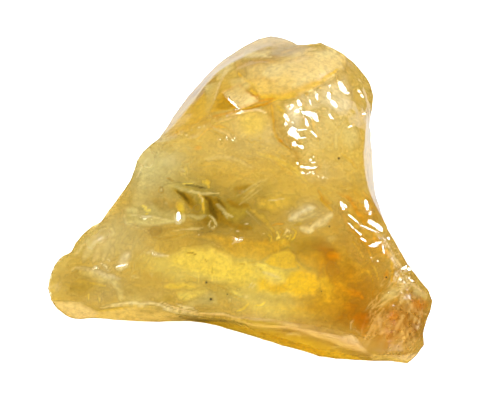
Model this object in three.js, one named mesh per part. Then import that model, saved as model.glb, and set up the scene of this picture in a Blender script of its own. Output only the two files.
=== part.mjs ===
// A rough broken piece of clear yellow corundum, the size of a thumb joint.
// It is one natural solid: a thick wedge that lies on its broad, flat underside.
// The large glassy fracture face slopes up and back from a low front edge to a ridge;
// behind the ridge is a rounded crown, on the right a bulging shoulder runs down to a hackly knob,
// and the left end tapers to a rounded nose. Back wall and flanks are plain fracture facets.
//
// Millimetres, +Z up. The broad face looks towards -Y and up, +X is to the right of it.
// The origin is the middle of the footprint, on the resting plane.

import * as THREE from 'three';

// ---- driving dimensions -------------------------------------------------------------------
const STONE_WIDTH = 27.88;    // X, left nose to right knob
const STONE_DEPTH = 24.23;    // Y, front foot to back wall
const STONE_HEIGHT = 13.72;   // Z, resting face to crown
const PRESS_FLAT = 0.02;     // anything closer than this to the resting plane lies in it
const ROUNDING_PASSES = 2;   // smoothing passes over the control cage

// ---- stone material -----------------------------------------------------------------------
const STONE_COLOUR = 0xd3a74f;
const STONE_ROUGHNESS = 0.18;
const STONE_METALNESS = 0.0;

// ---- control cage -------------------------------------------------------------------------
// Corner points of the fracture faces, before they are scaled to the dimensions above.
const CAGE_POINTS = [
  // outline seen square to the broad face, clockwise from the left tip
  [-14.38, 5.08, 1.68], [-14.62, 5.99, 2.03], [-14.48, 6.6, 2.56], [-14.11, 7.04, 3.25], [-13.66, 7.33, 3.82],
  [-13.07, 7.55, 4.22], [-12.86, 8.01, 4.64], [-12.28, 8.6, 5.09], [-11.54, 8.94, 5.62], [-10.95, 8.87, 6.04],
  [-10.36, 9.32, 6.7], [-9.63, 10.01, 7.46], [-8.97, 10.63, 8.08], [-8.54, 11.27, 8.68], [-8.33, 12.09, 9.13],
  [-7.97, 12.58, 9.47], [-7.32, 13.24, 9.72], [-6.67, 14.01, 9.68], [-6.2, 15.92, 9], [-5.78, 17.63, 8.5],
  [-5.28, 18.88, 8.4], [-4.7, 19.79, 8.6], [-4.03, 20.71, 8.9], [-3.36, 21.39, 9.3], [-2.69, 22.08, 9.6],
  [-1.95, 22.76, 9.9], [-1.12, 23.04, 10.4], [-0.3, 23.26, 10.9], [0.6, 23.42, 11.3], [1.57, 23.47, 11.6],
  [2.61, 22.63, 12], [3.56, 21.03, 12.8], [4.43, 20.31, 13.4], [5.24, 20.42, 13.5], [6.05, 20.08, 13.3],
  [6.94, 19.7, 12.9], [7.76, 19.62, 12.2], [8.44, 19.42, 11.4], [9.01, 19.17, 10.4], [9.24, 18.85, 9.5],
  [9.08, 17.84, 9], [8.94, 17.3, 8], [9.12, 17.55, 6.6], [9.36, 17.34, 5.5], [9.51, 16.44, 4.7],
  [9.56, 15.21, 4.2], [9.64, 13.54, 4.1], [9.81, 11.55, 4.4], [10.06, 7.43, 6.65], [10.55, 6.52, 6.21],
  [11.09, 5.75, 5.64], [11.56, 5.22, 4.99], [12.18, 4.73, 4.41], [12.99, 4.31, 3.51], [13.32, 3.76, 2.83],
  [13.12, 2.91, 2.48], [12.75, 2.29, 2.03], [12.59, 1.61, 1.57], [12.65, 0.78, 1.27], [12.06, -0.03, 0.9],
  [11.34, -0.29, 0.35], [10.2, 0.22, 0.1], [9.05, 0.32, 0], [7.6, 0.43, 0], [6.23, 0.48, 0], [4.93, 0.79, 0],
  [3.77, 1.31, 0], [2.25, 1.89, 0], [0.87, 2.57, 0], [-0.36, 3.09, 0], [-1.75, 3.78, 0], [-2.85, 4.2, 0],
  [-3.95, 4.47, 0], [-5.12, 4.57, 0], [-6.58, 4.31, 0.1], [-8.4, 4.2, 0.2], [-9.86, 4.21, 0.4],
  [-11.1, 4.26, 0.5], [-12.41, 4.1, 0.7], [-13.35, 4.26, 1.1], [-13.96, 4.43, 1.6],
  // lower edge of the broad face, left half
  [-13.38, 4.21, 2.41], [-12.06, 3.92, 2.42], [-10.46, 3.68, 2.45], [-8.42, 3.56, 2.57], [-6.67, 3.28, 2.59],
  [-4.93, 2.89, 2.51], [-3.19, 2.53, 2.45], [-1.45, 2.21, 2.5],
  // lower edge of the broad face, right half
  [0.29, 1.92, 2.63], [2.17, 1.54, 2.64], [4.04, 1.19, 2.62], [5.77, 0.86, 2.59], [7.13, 0.48, 2.46],
  [8.06, -0.07, 2.19], [8.92, -0.59, 1.95],
  // foot of the frosted bevel under that edge
  [0.43, 1.97, 2.23], [2.31, 1.65, 2.04], [3.9, 1.3, 1.77], [5.35, 0.83, 1.52], [6.79, 0.41, 1.43],
  [8, -0.14, 1.41],
  // corner under the right knob
  [10.06, -0.8, 2], [11.29, -0.72, 1.92],
  // rounded nose at the left tip
  [-13.68, 4.9, 2.95], [-13.1, 5.6, 3.69], [-12.05, 4.59, 3.45], [-10.6, 4.32, 3.3], [-12.37, 6.23, 4.4],
  [-11.79, 7.1, 5.08], [-10.63, 7.62, 5.69],
  // broad front face
  [-10.03, 5.54, 4.15], [-8.87, 6.58, 5.26], [-8.86, 4.61, 3.33], [-7.12, 5.43, 4.15], [-6.53, 4.21, 3.2],
  [-4.79, 4.69, 3.65], [-4.35, 3.69, 3], [-2.03, 3.54, 3.14], [-2.03, 4.95, 4.2], [0.87, 3.19, 3.27],
  [0.87, 4.94, 4.61], [3.61, 2.68, 3.35], [3.91, 4.4, 4.72], [-8.88, 8.68, 6.9], [-7.41, 7.66, 6.44],
  [-5.08, 6.46, 5.57], [-2.03, 6.25, 5.76], [0.87, 6.31, 6.3], [4.05, 5.91, 6.28], [-7.28, 9.74, 8.09],
  [-4.79, 8.3, 7.43], [-2.03, 7.85, 7.44], [1.02, 7.98, 7.92], [3.91, 7.59, 7.88], [-7, 11.26, 9.28],
  [-4.8, 10.29, 8.97], [-2.03, 9.76, 9.05], [0.87, 9.78, 9.42], [3.34, 9.28, 9.29], [-4.81, 11.79, 10.17],
  [-2.62, 11.3, 10.21], [-0.29, 10.96, 10.32], [1.89, 10.74, 10.31], [6.07, 2.74, 3.89], [6.22, 4.43, 5.28],
  [6.51, 5.78, 6.59], [6.06, 1.71, 3.08],
  // rim under the left ridge
  [-5.68, 12.48, 10.63], [-4.22, 12.49, 10.91], [-2.62, 12.26, 11.02], [-0.87, 11.96, 11.08],
  // left ridge
  [-6.15, 14.04, 10], [-5.12, 13.9, 10.7], [-3.28, 13.76, 11.5], [-1.89, 13.68, 12],
  // small four-sided facet on the crown
  [-0.8, 13.93, 12.5],
  // middle and right ridge
  [0.87, 14.03, 12.8], [2.33, 14.19, 13], [3.72, 14.58, 13.1], [5.11, 15.48, 13.1], [6.45, 16.67, 12.9],
  [7.5, 17.72, 12.3],
  // facet under the ridge
  [1.53, 13.59, 12.37], [1.97, 12.88, 11.54], [2.62, 12.03, 10.92], [3.42, 11.24, 10.56], [4.06, 10.34, 10.09],
  [-0.29, 12.53, 11.65], [1.02, 11.99, 11.25],
  // right shoulder
  [3.2, 13.21, 12.79], [4.93, 12.94, 13.4], [6.58, 15.12, 12.3], [3.63, 11.86, 12.04], [5.22, 11.65, 12.41],
  [6.96, 12.33, 12.59], [4.93, 10.63, 11.18], [6.67, 10.94, 11.1], [5.51, 9.47, 9.89], [7.11, 9.75, 9.64],
  // right edge of the shoulder and slope
  [8.18, 17.53, 11.4], [8.55, 17.11, 10.5], [8.62, 16.34, 9.8], [8.47, 13.56, 10.94], [8.31, 12.58, 10.35],
  [8.23, 11.47, 9.67], [8.37, 10.3, 8.96], [8.72, 9.31, 8.18], [9.37, 8.31, 7.42],
  // soft fold between broad face and right slope
  [6.08, 8.34, 8.96], [7.02, 7.08, 7.95], [7.95, 5.7, 6.86], [8.95, 4.36, 5.94], [9.8, 2.85, 4.98],
  [9.08, 2.11, 3.99], [8.07, 1.29, 3.08],
  // outer line of the right slope
  [7.69, 8.48, 8.44], [8.69, 7.13, 7.51], [9.62, 5.73, 6.53], [10.54, 4.42, 5.69],
  // knob at the lower right
  [11.09, 2.67, 4.95], [12.04, 2.37, 4.24], [10.64, 1.23, 4.13], [11.8, 0.66, 3.28], [9.78, 0.34, 3.19],
  [11.07, -0.24, 2.75],
  // left edge of the crown
  [-4.85, 15.64, 10.6], [-4.19, 16.53, 11], [-3.61, 17.31, 11.4], [-3.1, 17.98, 11.7], [-2.36, 18.65, 12.1],
  [-1.4, 19.21, 12.4], [-0.3, 19.59, 12.8], [0.89, 20.09, 13.1], [1.99, 20.25, 13.35], [2.88, 20.09, 13.25],
  // recess beside the crown
  [-2.85, 14.7, 11.7],
  // small four-sided facet on the crown
  [-2.12, 16.08, 12.2], [-0.88, 16.34, 12.8], [0.58, 14.24, 13.1],
  // recess beside the crown
  [-3.23, 15.94, 11.6], [-1.76, 17.26, 12.5],
  // crown
  [0.44, 15.86, 13.3], [1.82, 15.18, 13.4], [3.35, 15.07, 13.45], [4.82, 15.69, 13.45], [6.08, 16.88, 13.3],
  [6.91, 18.38, 13], [0.88, 17.43, 13.6], [2.78, 17.02, 13.95], [4.69, 17.47, 13.95],
  // rim of the resting face
  [12.1, 2, 0.15], [12.3, 4.6, 0.1], [11.3, 7.8, 0], [10.2, 11.2, 0], [9.7, 14.2, 0.15], [8.4, 17, 0.35],
  [5.6, 19.2, 0.2], [1.6, 20.4, 0], [-1.9, 20.2, 0.1], [-4.6, 18.2, 0.25], [-6.2, 15.4, 0.15], [-7.4, 12.4, 0],
  [-8.9, 9.9, 0.1], [-10.7, 8, 0.3], [-12.1, 6.4, 0.6],
  // resting face
  [-7, 7.5, 0], [-2.5, 8, 0], [2.5, 7, 0], [7.5, 5.5, 0], [-3.8, 13, 0], [1, 13, 0], [6, 11.5, 0],
  [-0.5, 17.2, 0], [4.6, 15.8, 0],
  // back wall
  [-0.8, 22.4, 5.6], [3.2, 22.2, 7.4], [6.6, 21, 5.6], [8.7, 18.9, 4.6], [-4.2, 20.6, 4.8], [1.2, 22.7, 9.8],
  [5.2, 21.9, 9.8], [-2.6, 21.8, 8.2], [8.3, 20.2, 7.6], [1.4, 21.4, 2.4], [6, 20.3, 2.6], [-0.6, 23, 8.2],
  [3.4, 22.9, 5.2], [-3, 21.7, 4], [7.6, 19.9, 5.9], [-1.2, 21.3, 1.9],
  // left flank
  [-10.8, 9.2, 3.2], [-8.4, 12.4, 4.6], [-6.7, 15.8, 5.2], [-6, 17.6, 3], [-12.9, 6.7, 2.3], [-5.9, 16.6, 5.4],
  [-9.6, 10.6, 4.2], [-7.3, 14.6, 3.4], [-4.9, 18.9, 3], [-11.7, 8, 2.6], [-6.4, 16.2, 2.2],
  // right flank
  [12.6, 4.9, 1.5], [11.5, 7.6, 1.7], [10, 11.4, 1.7], [9.2, 15, 1.3],
];

// Triangles between the cage points, wound outwards.
const CAGE_FACES = [
  [213, 29, 28], [59, 58, 103], [103, 58, 205], [103, 60, 59], [61, 60, 103], [205, 58, 57], [57, 56, 203],
  [203, 205, 57], [141, 136, 137], [132, 128, 133], [133, 137, 132], [121, 120, 123], [96, 69, 68], [110, 8, 7],
  [105, 3, 2], [119, 120, 121], [118, 120, 119], [203, 202, 204], [204, 205, 203], [102, 61, 103],
  [103, 205, 102], [102, 205, 204], [204, 95, 102], [204, 202, 194], [137, 136, 131], [132, 137, 131],
  [190, 146, 191], [129, 128, 121], [129, 121, 123], [133, 128, 134], [134, 128, 129], [134, 146, 190],
  [129, 146, 134], [123, 144, 145], [145, 146, 129], [129, 123, 145], [145, 144, 194], [194, 192, 145],
  [191, 146, 145], [145, 192, 191], [123, 120, 122], [122, 144, 123], [89, 96, 90], [96, 88, 69], [96, 68, 97],
  [90, 91, 122], [89, 90, 120], [122, 120, 90], [147, 91, 92], [147, 144, 122], [122, 91, 147], [92, 91, 99],
  [66, 65, 99], [4, 3, 105], [105, 108, 4], [124, 11, 10], [131, 136, 130], [124, 125, 130], [130, 125, 131],
  [110, 7, 109], [130, 136, 135], [135, 15, 14], [16, 15, 135], [27, 213, 28], [81, 80, 79], [0, 80, 81],
  [117, 118, 119], [121, 128, 127], [119, 121, 127], [127, 128, 132], [127, 132, 131], [62, 61, 102],
  [102, 95, 62], [147, 92, 93], [99, 65, 64], [201, 54, 53], [55, 54, 201], [200, 202, 201], [201, 202, 203],
  [201, 56, 55], [203, 56, 201], [193, 192, 194], [194, 202, 193], [193, 202, 200], [186, 179, 196],
  [197, 190, 191], [196, 190, 197], [109, 7, 6], [110, 124, 9], [9, 124, 10], [9, 8, 110], [12, 11, 124],
  [12, 124, 130], [154, 207, 206], [208, 217, 209], [21, 207, 22], [22, 207, 208], [209, 23, 22],
  [22, 208, 209], [220, 217, 208], [208, 207, 220], [217, 218, 221], [209, 217, 221], [217, 155, 156],
  [156, 218, 217], [185, 179, 186], [177, 179, 185], [44, 43, 185], [185, 186, 44], [178, 179, 177],
  [227, 35, 34], [36, 35, 227], [38, 37, 180], [180, 39, 38], [104, 1, 0], [104, 0, 81], [2, 1, 104],
  [105, 2, 104], [106, 108, 105], [106, 105, 104], [104, 81, 106], [109, 108, 111], [111, 108, 106],
  [106, 107, 111], [111, 110, 109], [107, 113, 111], [88, 71, 70], [88, 120, 118], [89, 120, 88], [96, 89, 88],
  [70, 69, 88], [87, 118, 117], [88, 118, 87], [87, 71, 88], [131, 125, 126], [127, 131, 126], [126, 119, 127],
  [94, 95, 204], [100, 99, 64], [100, 92, 99], [93, 92, 100], [64, 63, 100], [94, 93, 100], [201, 53, 52],
  [201, 52, 51], [193, 200, 199], [199, 192, 193], [44, 186, 45], [187, 186, 196], [187, 46, 45],
  [45, 186, 187], [197, 191, 198], [191, 192, 198], [198, 192, 199], [199, 50, 198], [96, 97, 90], [97, 68, 67],
  [97, 91, 90], [5, 108, 109], [5, 109, 6], [4, 108, 5], [135, 14, 13], [13, 130, 135], [12, 130, 13],
  [84, 76, 75], [115, 113, 84], [20, 207, 21], [206, 207, 20], [20, 19, 206], [149, 141, 150], [150, 154, 149],
  [150, 155, 154], [140, 136, 141], [140, 141, 149], [135, 136, 140], [153, 154, 206], [149, 154, 153],
  [206, 19, 18], [206, 18, 152], [216, 155, 217], [216, 217, 220], [154, 155, 216], [216, 207, 154],
  [220, 207, 216], [210, 209, 221], [24, 23, 210], [210, 23, 209], [210, 25, 24], [26, 25, 211],
  [221, 218, 211], [211, 25, 210], [210, 221, 211], [212, 213, 27], [212, 27, 26], [212, 26, 211],
  [211, 218, 212], [219, 218, 156], [139, 133, 134], [178, 167, 139], [178, 177, 176], [176, 167, 178],
  [176, 177, 174], [166, 167, 176], [176, 173, 166], [174, 173, 176], [189, 190, 196], [134, 190, 189],
  [196, 179, 189], [189, 179, 178], [139, 134, 189], [189, 178, 139], [227, 161, 162], [180, 37, 162],
  [162, 37, 36], [162, 36, 227], [181, 39, 180], [171, 173, 174], [106, 81, 82], [79, 78, 82], [81, 79, 82],
  [82, 78, 77], [82, 107, 106], [112, 110, 111], [112, 125, 124], [112, 124, 110], [111, 113, 112],
  [87, 86, 72], [72, 71, 87], [195, 204, 194], [94, 204, 195], [195, 93, 94], [195, 147, 93], [194, 144, 195],
  [195, 144, 147], [100, 63, 101], [101, 94, 100], [101, 95, 94], [62, 95, 101], [101, 63, 62], [201, 51, 199],
  [201, 199, 200], [51, 50, 199], [188, 196, 197], [187, 196, 188], [188, 48, 47], [47, 46, 188],
  [188, 46, 187], [198, 50, 49], [188, 197, 48], [48, 197, 198], [48, 198, 49], [98, 91, 97], [99, 91, 98],
  [98, 66, 99], [67, 66, 98], [97, 67, 98], [115, 117, 116], [117, 119, 116], [116, 119, 126], [115, 84, 85],
  [75, 74, 85], [85, 84, 75], [150, 141, 151], [151, 155, 150], [148, 135, 140], [148, 17, 16], [16, 135, 148],
  [140, 149, 148], [148, 149, 153], [212, 218, 222], [222, 218, 219], [219, 223, 222], [214, 29, 213],
  [30, 29, 214], [230, 32, 31], [31, 229, 230], [34, 33, 230], [230, 33, 32], [157, 223, 219], [219, 156, 157],
  [181, 180, 172], [162, 161, 172], [172, 180, 162], [229, 223, 224], [230, 229, 224], [82, 77, 83],
  [83, 107, 82], [77, 76, 83], [83, 76, 84], [83, 113, 107], [84, 113, 83], [114, 113, 115], [112, 113, 114],
  [116, 126, 114], [114, 115, 116], [126, 125, 114], [114, 125, 112], [87, 117, 86], [86, 73, 72],
  [86, 117, 115], [86, 115, 85], [86, 74, 73], [85, 74, 86], [168, 163, 157], [157, 156, 168], [156, 155, 168],
  [168, 155, 151], [138, 133, 139], [138, 137, 133], [18, 17, 152], [152, 17, 148], [206, 152, 153],
  [148, 153, 152], [228, 213, 212], [228, 212, 222], [214, 213, 228], [228, 229, 214], [228, 223, 229],
  [222, 223, 228], [214, 229, 215], [215, 229, 31], [215, 30, 214], [31, 30, 215], [184, 42, 183],
  [184, 177, 185], [185, 43, 184], [184, 43, 42], [183, 42, 41], [175, 181, 172], [174, 177, 175],
  [171, 174, 175], [172, 171, 175], [175, 177, 184], [184, 183, 175], [224, 223, 158], [157, 163, 158],
  [158, 223, 157], [225, 230, 224], [169, 163, 168], [168, 151, 169], [40, 39, 181], [170, 173, 171],
  [158, 163, 170], [226, 230, 225], [226, 161, 227], [227, 34, 226], [226, 34, 230], [172, 161, 160],
  [160, 161, 226], [226, 225, 160], [160, 171, 172], [164, 163, 169], [164, 173, 170], [170, 163, 164],
  [138, 139, 143], [143, 167, 166], [139, 167, 143], [169, 151, 142], [142, 137, 138], [142, 138, 143],
  [143, 169, 142], [141, 137, 142], [151, 141, 142], [175, 183, 182], [182, 183, 41], [182, 41, 40],
  [182, 181, 175], [40, 181, 182], [159, 224, 158], [159, 158, 170], [170, 171, 159], [159, 171, 160],
  [225, 224, 159], [160, 225, 159], [164, 169, 165], [165, 169, 143], [143, 166, 165], [166, 173, 165],
  [165, 173, 164], [248, 247, 251], [247, 248, 69], [59, 231, 58], [231, 59, 60], [252, 248, 251],
  [248, 252, 249], [254, 252, 251], [65, 66, 249], [66, 248, 249], [66, 67, 248], [247, 250, 251],
  [240, 250, 241], [55, 282, 54], [55, 56, 232], [282, 55, 232], [231, 57, 58], [56, 57, 232], [57, 231, 232],
  [62, 63, 249], [252, 234, 249], [253, 254, 251], [250, 253, 251], [253, 250, 240], [64, 65, 249],
  [63, 64, 249], [248, 68, 69], [67, 68, 248], [271, 7, 8], [275, 0, 1], [0, 275, 80], [70, 247, 69],
  [246, 250, 247], [261, 32, 33], [34, 261, 33], [261, 31, 32], [261, 34, 35], [261, 257, 265], [36, 261, 35],
  [261, 36, 37], [260, 30, 31], [30, 260, 29], [262, 255, 268], [255, 262, 266], [232, 61, 249], [61, 62, 249],
  [231, 61, 232], [61, 231, 60], [4, 275, 3], [281, 240, 241], [241, 278, 273], [272, 277, 11], [272, 278, 241],
  [277, 10, 11], [9, 271, 8], [9, 277, 271], [9, 10, 277], [2, 275, 1], [275, 2, 3], [71, 72, 247],
  [70, 71, 247], [277, 242, 271], [242, 272, 241], [272, 242, 277], [250, 242, 241], [246, 242, 250],
  [25, 26, 262], [263, 261, 37], [261, 263, 257], [256, 261, 265], [260, 256, 266], [261, 256, 31],
  [256, 260, 31], [256, 255, 266], [255, 256, 267], [260, 28, 29], [26, 27, 266], [27, 260, 266], [27, 28, 260],
  [255, 270, 268], [268, 270, 239], [264, 255, 267], [264, 270, 255], [285, 236, 46], [237, 236, 254],
  [254, 236, 252], [236, 235, 252], [235, 236, 285], [234, 252, 235], [234, 235, 284], [47, 285, 46],
  [47, 235, 285], [6, 7, 271], [274, 279, 240], [281, 274, 240], [13, 272, 12], [272, 13, 14], [12, 272, 11],
  [74, 75, 246], [75, 244, 246], [262, 22, 23], [262, 21, 22], [262, 259, 21], [262, 268, 259], [259, 18, 19],
  [259, 268, 240], [25, 262, 24], [262, 26, 266], [24, 262, 23], [263, 269, 257], [239, 253, 240],
  [240, 268, 239], [259, 240, 279], [234, 233, 249], [283, 233, 234], [233, 232, 249], [233, 282, 232],
  [48, 284, 235], [47, 48, 235], [4, 5, 275], [274, 276, 279], [276, 259, 279], [259, 276, 18], [73, 74, 246],
  [72, 73, 247], [73, 246, 247], [280, 244, 275], [5, 280, 275], [280, 6, 271], [280, 5, 6], [76, 244, 75],
  [243, 242, 246], [244, 243, 246], [242, 243, 271], [243, 280, 271], [280, 243, 244], [20, 259, 19],
  [259, 20, 21], [282, 53, 54], [233, 53, 282], [38, 263, 37], [38, 39, 263], [39, 40, 263], [43, 258, 42],
  [258, 41, 42], [44, 258, 43], [264, 238, 270], [238, 239, 270], [239, 238, 253], [253, 238, 254],
  [238, 237, 254], [48, 49, 284], [49, 50, 234], [284, 49, 234], [276, 17, 18], [273, 276, 274], [273, 14, 15],
  [272, 14, 273], [272, 273, 278], [241, 273, 281], [273, 274, 281], [76, 77, 244], [50, 51, 234],
  [51, 283, 234], [236, 44, 45], [236, 258, 44], [236, 45, 46], [51, 52, 283], [52, 233, 283], [52, 53, 233],
  [40, 41, 258], [269, 263, 40], [40, 258, 269], [258, 265, 269], [269, 265, 257], [236, 237, 258],
  [237, 265, 258], [256, 265, 267], [265, 264, 267], [238, 265, 237], [265, 238, 264], [16, 273, 15],
  [16, 17, 276], [273, 16, 276], [245, 77, 78], [77, 245, 244], [244, 245, 275], [79, 245, 78], [245, 79, 80],
  [275, 245, 80],
];

// Fracture edges, by how many smoothing passes they stay crisp.
const SOFT_EDGES = [
  [14, 272], [167, 178], [178, 189], [189, 190], [190, 191], [191, 192], [192, 193], [212, 228], [218, 222],
  [222, 223], [223, 224], [224, 225], [225, 226], [226, 227], [256, 260], [256, 265],
];
const FIRM_EDGES = [
  [0, 1], [0, 80], [1, 2], [2, 3], [3, 4], [4, 5], [5, 6], [5, 275], [6, 7], [7, 8], [8, 9], [9, 10], [9, 271],
  [10, 11], [11, 12], [12, 13], [13, 14], [14, 15], [15, 16], [16, 17], [16, 148], [17, 18], [17, 276],
  [18, 19], [18, 276], [19, 20], [20, 21], [21, 22], [22, 23], [23, 24], [24, 25], [25, 26], [25, 262],
  [26, 27], [26, 262], [27, 28], [28, 29], [29, 30], [29, 260], [30, 31], [31, 32], [31, 256], [31, 260],
  [31, 261], [32, 33], [32, 261], [33, 34], [33, 261], [34, 35], [35, 36], [36, 37], [37, 38], [38, 39],
  [39, 40], [39, 263], [40, 258], [40, 269], [41, 42], [41, 258], [46, 285], [48, 49], [49, 50], [50, 51],
  [51, 52], [52, 53], [52, 233], [52, 283], [53, 54], [53, 233], [54, 55], [54, 282], [55, 56], [56, 57],
  [57, 58], [57, 205], [58, 59], [58, 231], [59, 60], [60, 61], [60, 103], [60, 231], [61, 62], [62, 63],
  [62, 101], [63, 64], [64, 65], [65, 66], [66, 67], [67, 68], [68, 69], [69, 70], [70, 71], [71, 72], [72, 73],
  [73, 74], [74, 75], [75, 76], [76, 77], [77, 78], [78, 79], [79, 80], [80, 81], [80, 245], [80, 275],
  [81, 104], [88, 96], [95, 101], [95, 102], [96, 97], [97, 98], [98, 99], [99, 100], [100, 101], [102, 103],
  [103, 205], [104, 105], [108, 109], [109, 110], [148, 149], [156, 219], [163, 164], [164, 165], [165, 166],
  [166, 167], [188, 197], [197, 198], [198, 199], [199, 200], [199, 201], [201, 203], [202, 204], [203, 205],
  [208, 220], [216, 220], [231, 232], [232, 233], [233, 234], [234, 235], [235, 236], [236, 237], [236, 258],
  [237, 238], [237, 265], [238, 239], [239, 240], [240, 241], [240, 259], [241, 242], [241, 273], [241, 281],
  [242, 243], [243, 244], [243, 271], [244, 245], [255, 256], [255, 266], [255, 267], [256, 261], [256, 267],
  [257, 261], [257, 263], [257, 265], [259, 262], [261, 265], [263, 269], [265, 267], [273, 274], [273, 276],
  [274, 279],
];
const SHARP_EDGES = [
  [17, 152], [48, 188], [81, 82], [82, 83], [83, 84], [84, 85], [85, 86], [86, 87], [87, 88], [88, 89],
  [89, 90], [90, 91], [91, 92], [92, 93], [93, 94], [94, 95], [152, 153], [152, 206], [153, 154], [154, 155],
  [155, 156], [156, 157], [156, 217], [157, 158], [158, 159], [159, 160], [160, 161], [161, 162], [162, 180],
  [180, 181], [181, 182], [182, 183], [183, 184], [184, 185], [185, 186], [186, 187], [187, 188], [206, 207],
  [207, 208], [208, 209], [209, 210], [210, 211], [211, 212], [212, 213], [213, 214], [216, 217], [217, 218],
  [218, 219],
];

// ---- smoothing ----------------------------------------------------------------------------
const edgeKey = (a, b) => (a < b ? a * 1000000 + b : b * 1000000 + a);

function creaseMap() {
  const map = new Map();
  for (const [a, b] of SOFT_EDGES) map.set(edgeKey(a, b), 1);
  for (const [a, b] of FIRM_EDGES) map.set(edgeKey(a, b), 2);
  for (const [a, b] of SHARP_EDGES) map.set(edgeKey(a, b), 3);
  return map;
}

// One pass of Loop subdivision. Crisp edges keep their line, and a point where three or more meet stays put.
function smoothOnce(points, faces, crease) {
  const edges = new Map();
  const neighbours = points.map(() => []);
  const crisp = points.map(() => []);
  for (const [a, b, c] of faces) {
    for (const [i, j, k] of [[a, b, c], [b, c, a], [c, a, b]]) {
      const key = edgeKey(i, j);
      const edge = edges.get(key);
      if (edge) {
        edge.across.push(k);
      } else {
        edges.set(key, { ends: [Math.min(i, j), Math.max(i, j)], across: [k], at: 0 });
      }
    }
  }
  const mix = (list) => {
    const p = [0, 0, 0];
    for (const [w, i] of list) for (let d = 0; d < 3; d++) p[d] += w * points[i][d];
    return p;
  };
  const next = points.map(() => null);
  for (const [key, edge] of edges) {
    const [i, j] = edge.ends;
    neighbours[i].push(j);
    neighbours[j].push(i);
    const isCrisp = (crease.get(key) || 0) > 0;
    if (isCrisp) {
      crisp[i].push(j);
      crisp[j].push(i);
    }
    edge.at = next.length;
    next.push(isCrisp
      ? mix([[0.5, i], [0.5, j]])
      : mix([[0.375, i], [0.375, j], [0.125, edge.across[0]], [0.125, edge.across[1]]]));
  }
  for (let i = 0; i < points.length; i++) {
    const around = neighbours[i];
    if (crisp[i].length >= 3) {
      next[i] = points[i].slice();
    } else if (crisp[i].length === 2) {
      next[i] = mix([[0.75, i], [0.125, crisp[i][0]], [0.125, crisp[i][1]]]);
    } else {
      const beta = around.length === 3 ? 3 / 16 : 3 / (8 * around.length);
      next[i] = mix([[1 - around.length * beta, i], ...around.map((n) => [beta, n])]);
    }
  }
  const nextFaces = [];
  for (const [a, b, c] of faces) {
    const ab = edges.get(edgeKey(a, b)).at;
    const bc = edges.get(edgeKey(b, c)).at;
    const ca = edges.get(edgeKey(c, a)).at;
    nextFaces.push([a, ab, ca], [b, bc, ab], [c, ca, bc], [ab, bc, ca]);
  }
  const nextCrease = new Map();
  for (const [key, edge] of edges) {
    const left = (crease.get(key) || 0) - 1;
    if (left > 0) for (const end of edge.ends) nextCrease.set(edgeKey(end, edge.at), left);
  }
  return [next, nextFaces, nextCrease];
}

function stoneGeometry() {
  let points = CAGE_POINTS;
  let faces = CAGE_FACES;
  let crease = creaseMap();
  for (let pass = 0; pass < ROUNDING_PASSES; pass++) {
    [points, faces, crease] = smoothOnce(points, faces, crease);
  }
  points = points.map(([x, y, z]) => [x, y, z < PRESS_FLAT ? 0 : z]);

  const low = [Infinity, Infinity, Infinity];
  const high = [-Infinity, -Infinity, -Infinity];
  for (const p of points) {
    for (let d = 0; d < 3; d++) {
      low[d] = Math.min(low[d], p[d]);
      high[d] = Math.max(high[d], p[d]);
    }
  }
  const middle = [(low[0] + high[0]) / 2, (low[1] + high[1]) / 2, low[2]];
  const size = [STONE_WIDTH, STONE_DEPTH, STONE_HEIGHT];
  const positions = new Float32Array(points.length * 3);
  points.forEach((p, i) => {
    for (let d = 0; d < 3; d++) {
      positions[i * 3 + d] = (p[d] - middle[d]) * (size[d] / (high[d] - low[d]));
    }
  });

  const geometry = new THREE.BufferGeometry();
  geometry.setAttribute('position', new THREE.BufferAttribute(positions, 3));
  geometry.setIndex(faces.flat());
  geometry.computeVertexNormals();
  return geometry;
}

// ---- the part -----------------------------------------------------------------------------
const stone = new THREE.Mesh(
  stoneGeometry(),
  new THREE.MeshStandardMaterial({
    color: STONE_COLOUR,
    roughness: STONE_ROUGHNESS,
    metalness: STONE_METALNESS,
  }),
);
stone.name = 'stone';

const part = new THREE.Group();
part.add(stone);

export default part;
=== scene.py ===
import bpy, bmesh, math
import numpy as np
from mathutils import Vector, Matrix


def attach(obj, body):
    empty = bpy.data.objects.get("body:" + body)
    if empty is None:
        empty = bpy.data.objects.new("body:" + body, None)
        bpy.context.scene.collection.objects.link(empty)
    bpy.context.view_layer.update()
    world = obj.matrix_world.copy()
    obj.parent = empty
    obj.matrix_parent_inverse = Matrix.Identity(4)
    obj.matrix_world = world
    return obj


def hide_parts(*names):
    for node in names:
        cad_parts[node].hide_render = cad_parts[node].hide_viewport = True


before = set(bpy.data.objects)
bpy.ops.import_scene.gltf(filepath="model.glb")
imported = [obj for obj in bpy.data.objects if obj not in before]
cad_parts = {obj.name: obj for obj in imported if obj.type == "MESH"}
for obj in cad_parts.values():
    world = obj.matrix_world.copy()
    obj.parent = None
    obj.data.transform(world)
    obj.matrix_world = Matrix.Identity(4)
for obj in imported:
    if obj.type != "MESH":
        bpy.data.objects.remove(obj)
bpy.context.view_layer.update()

MM = 0.001

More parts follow.
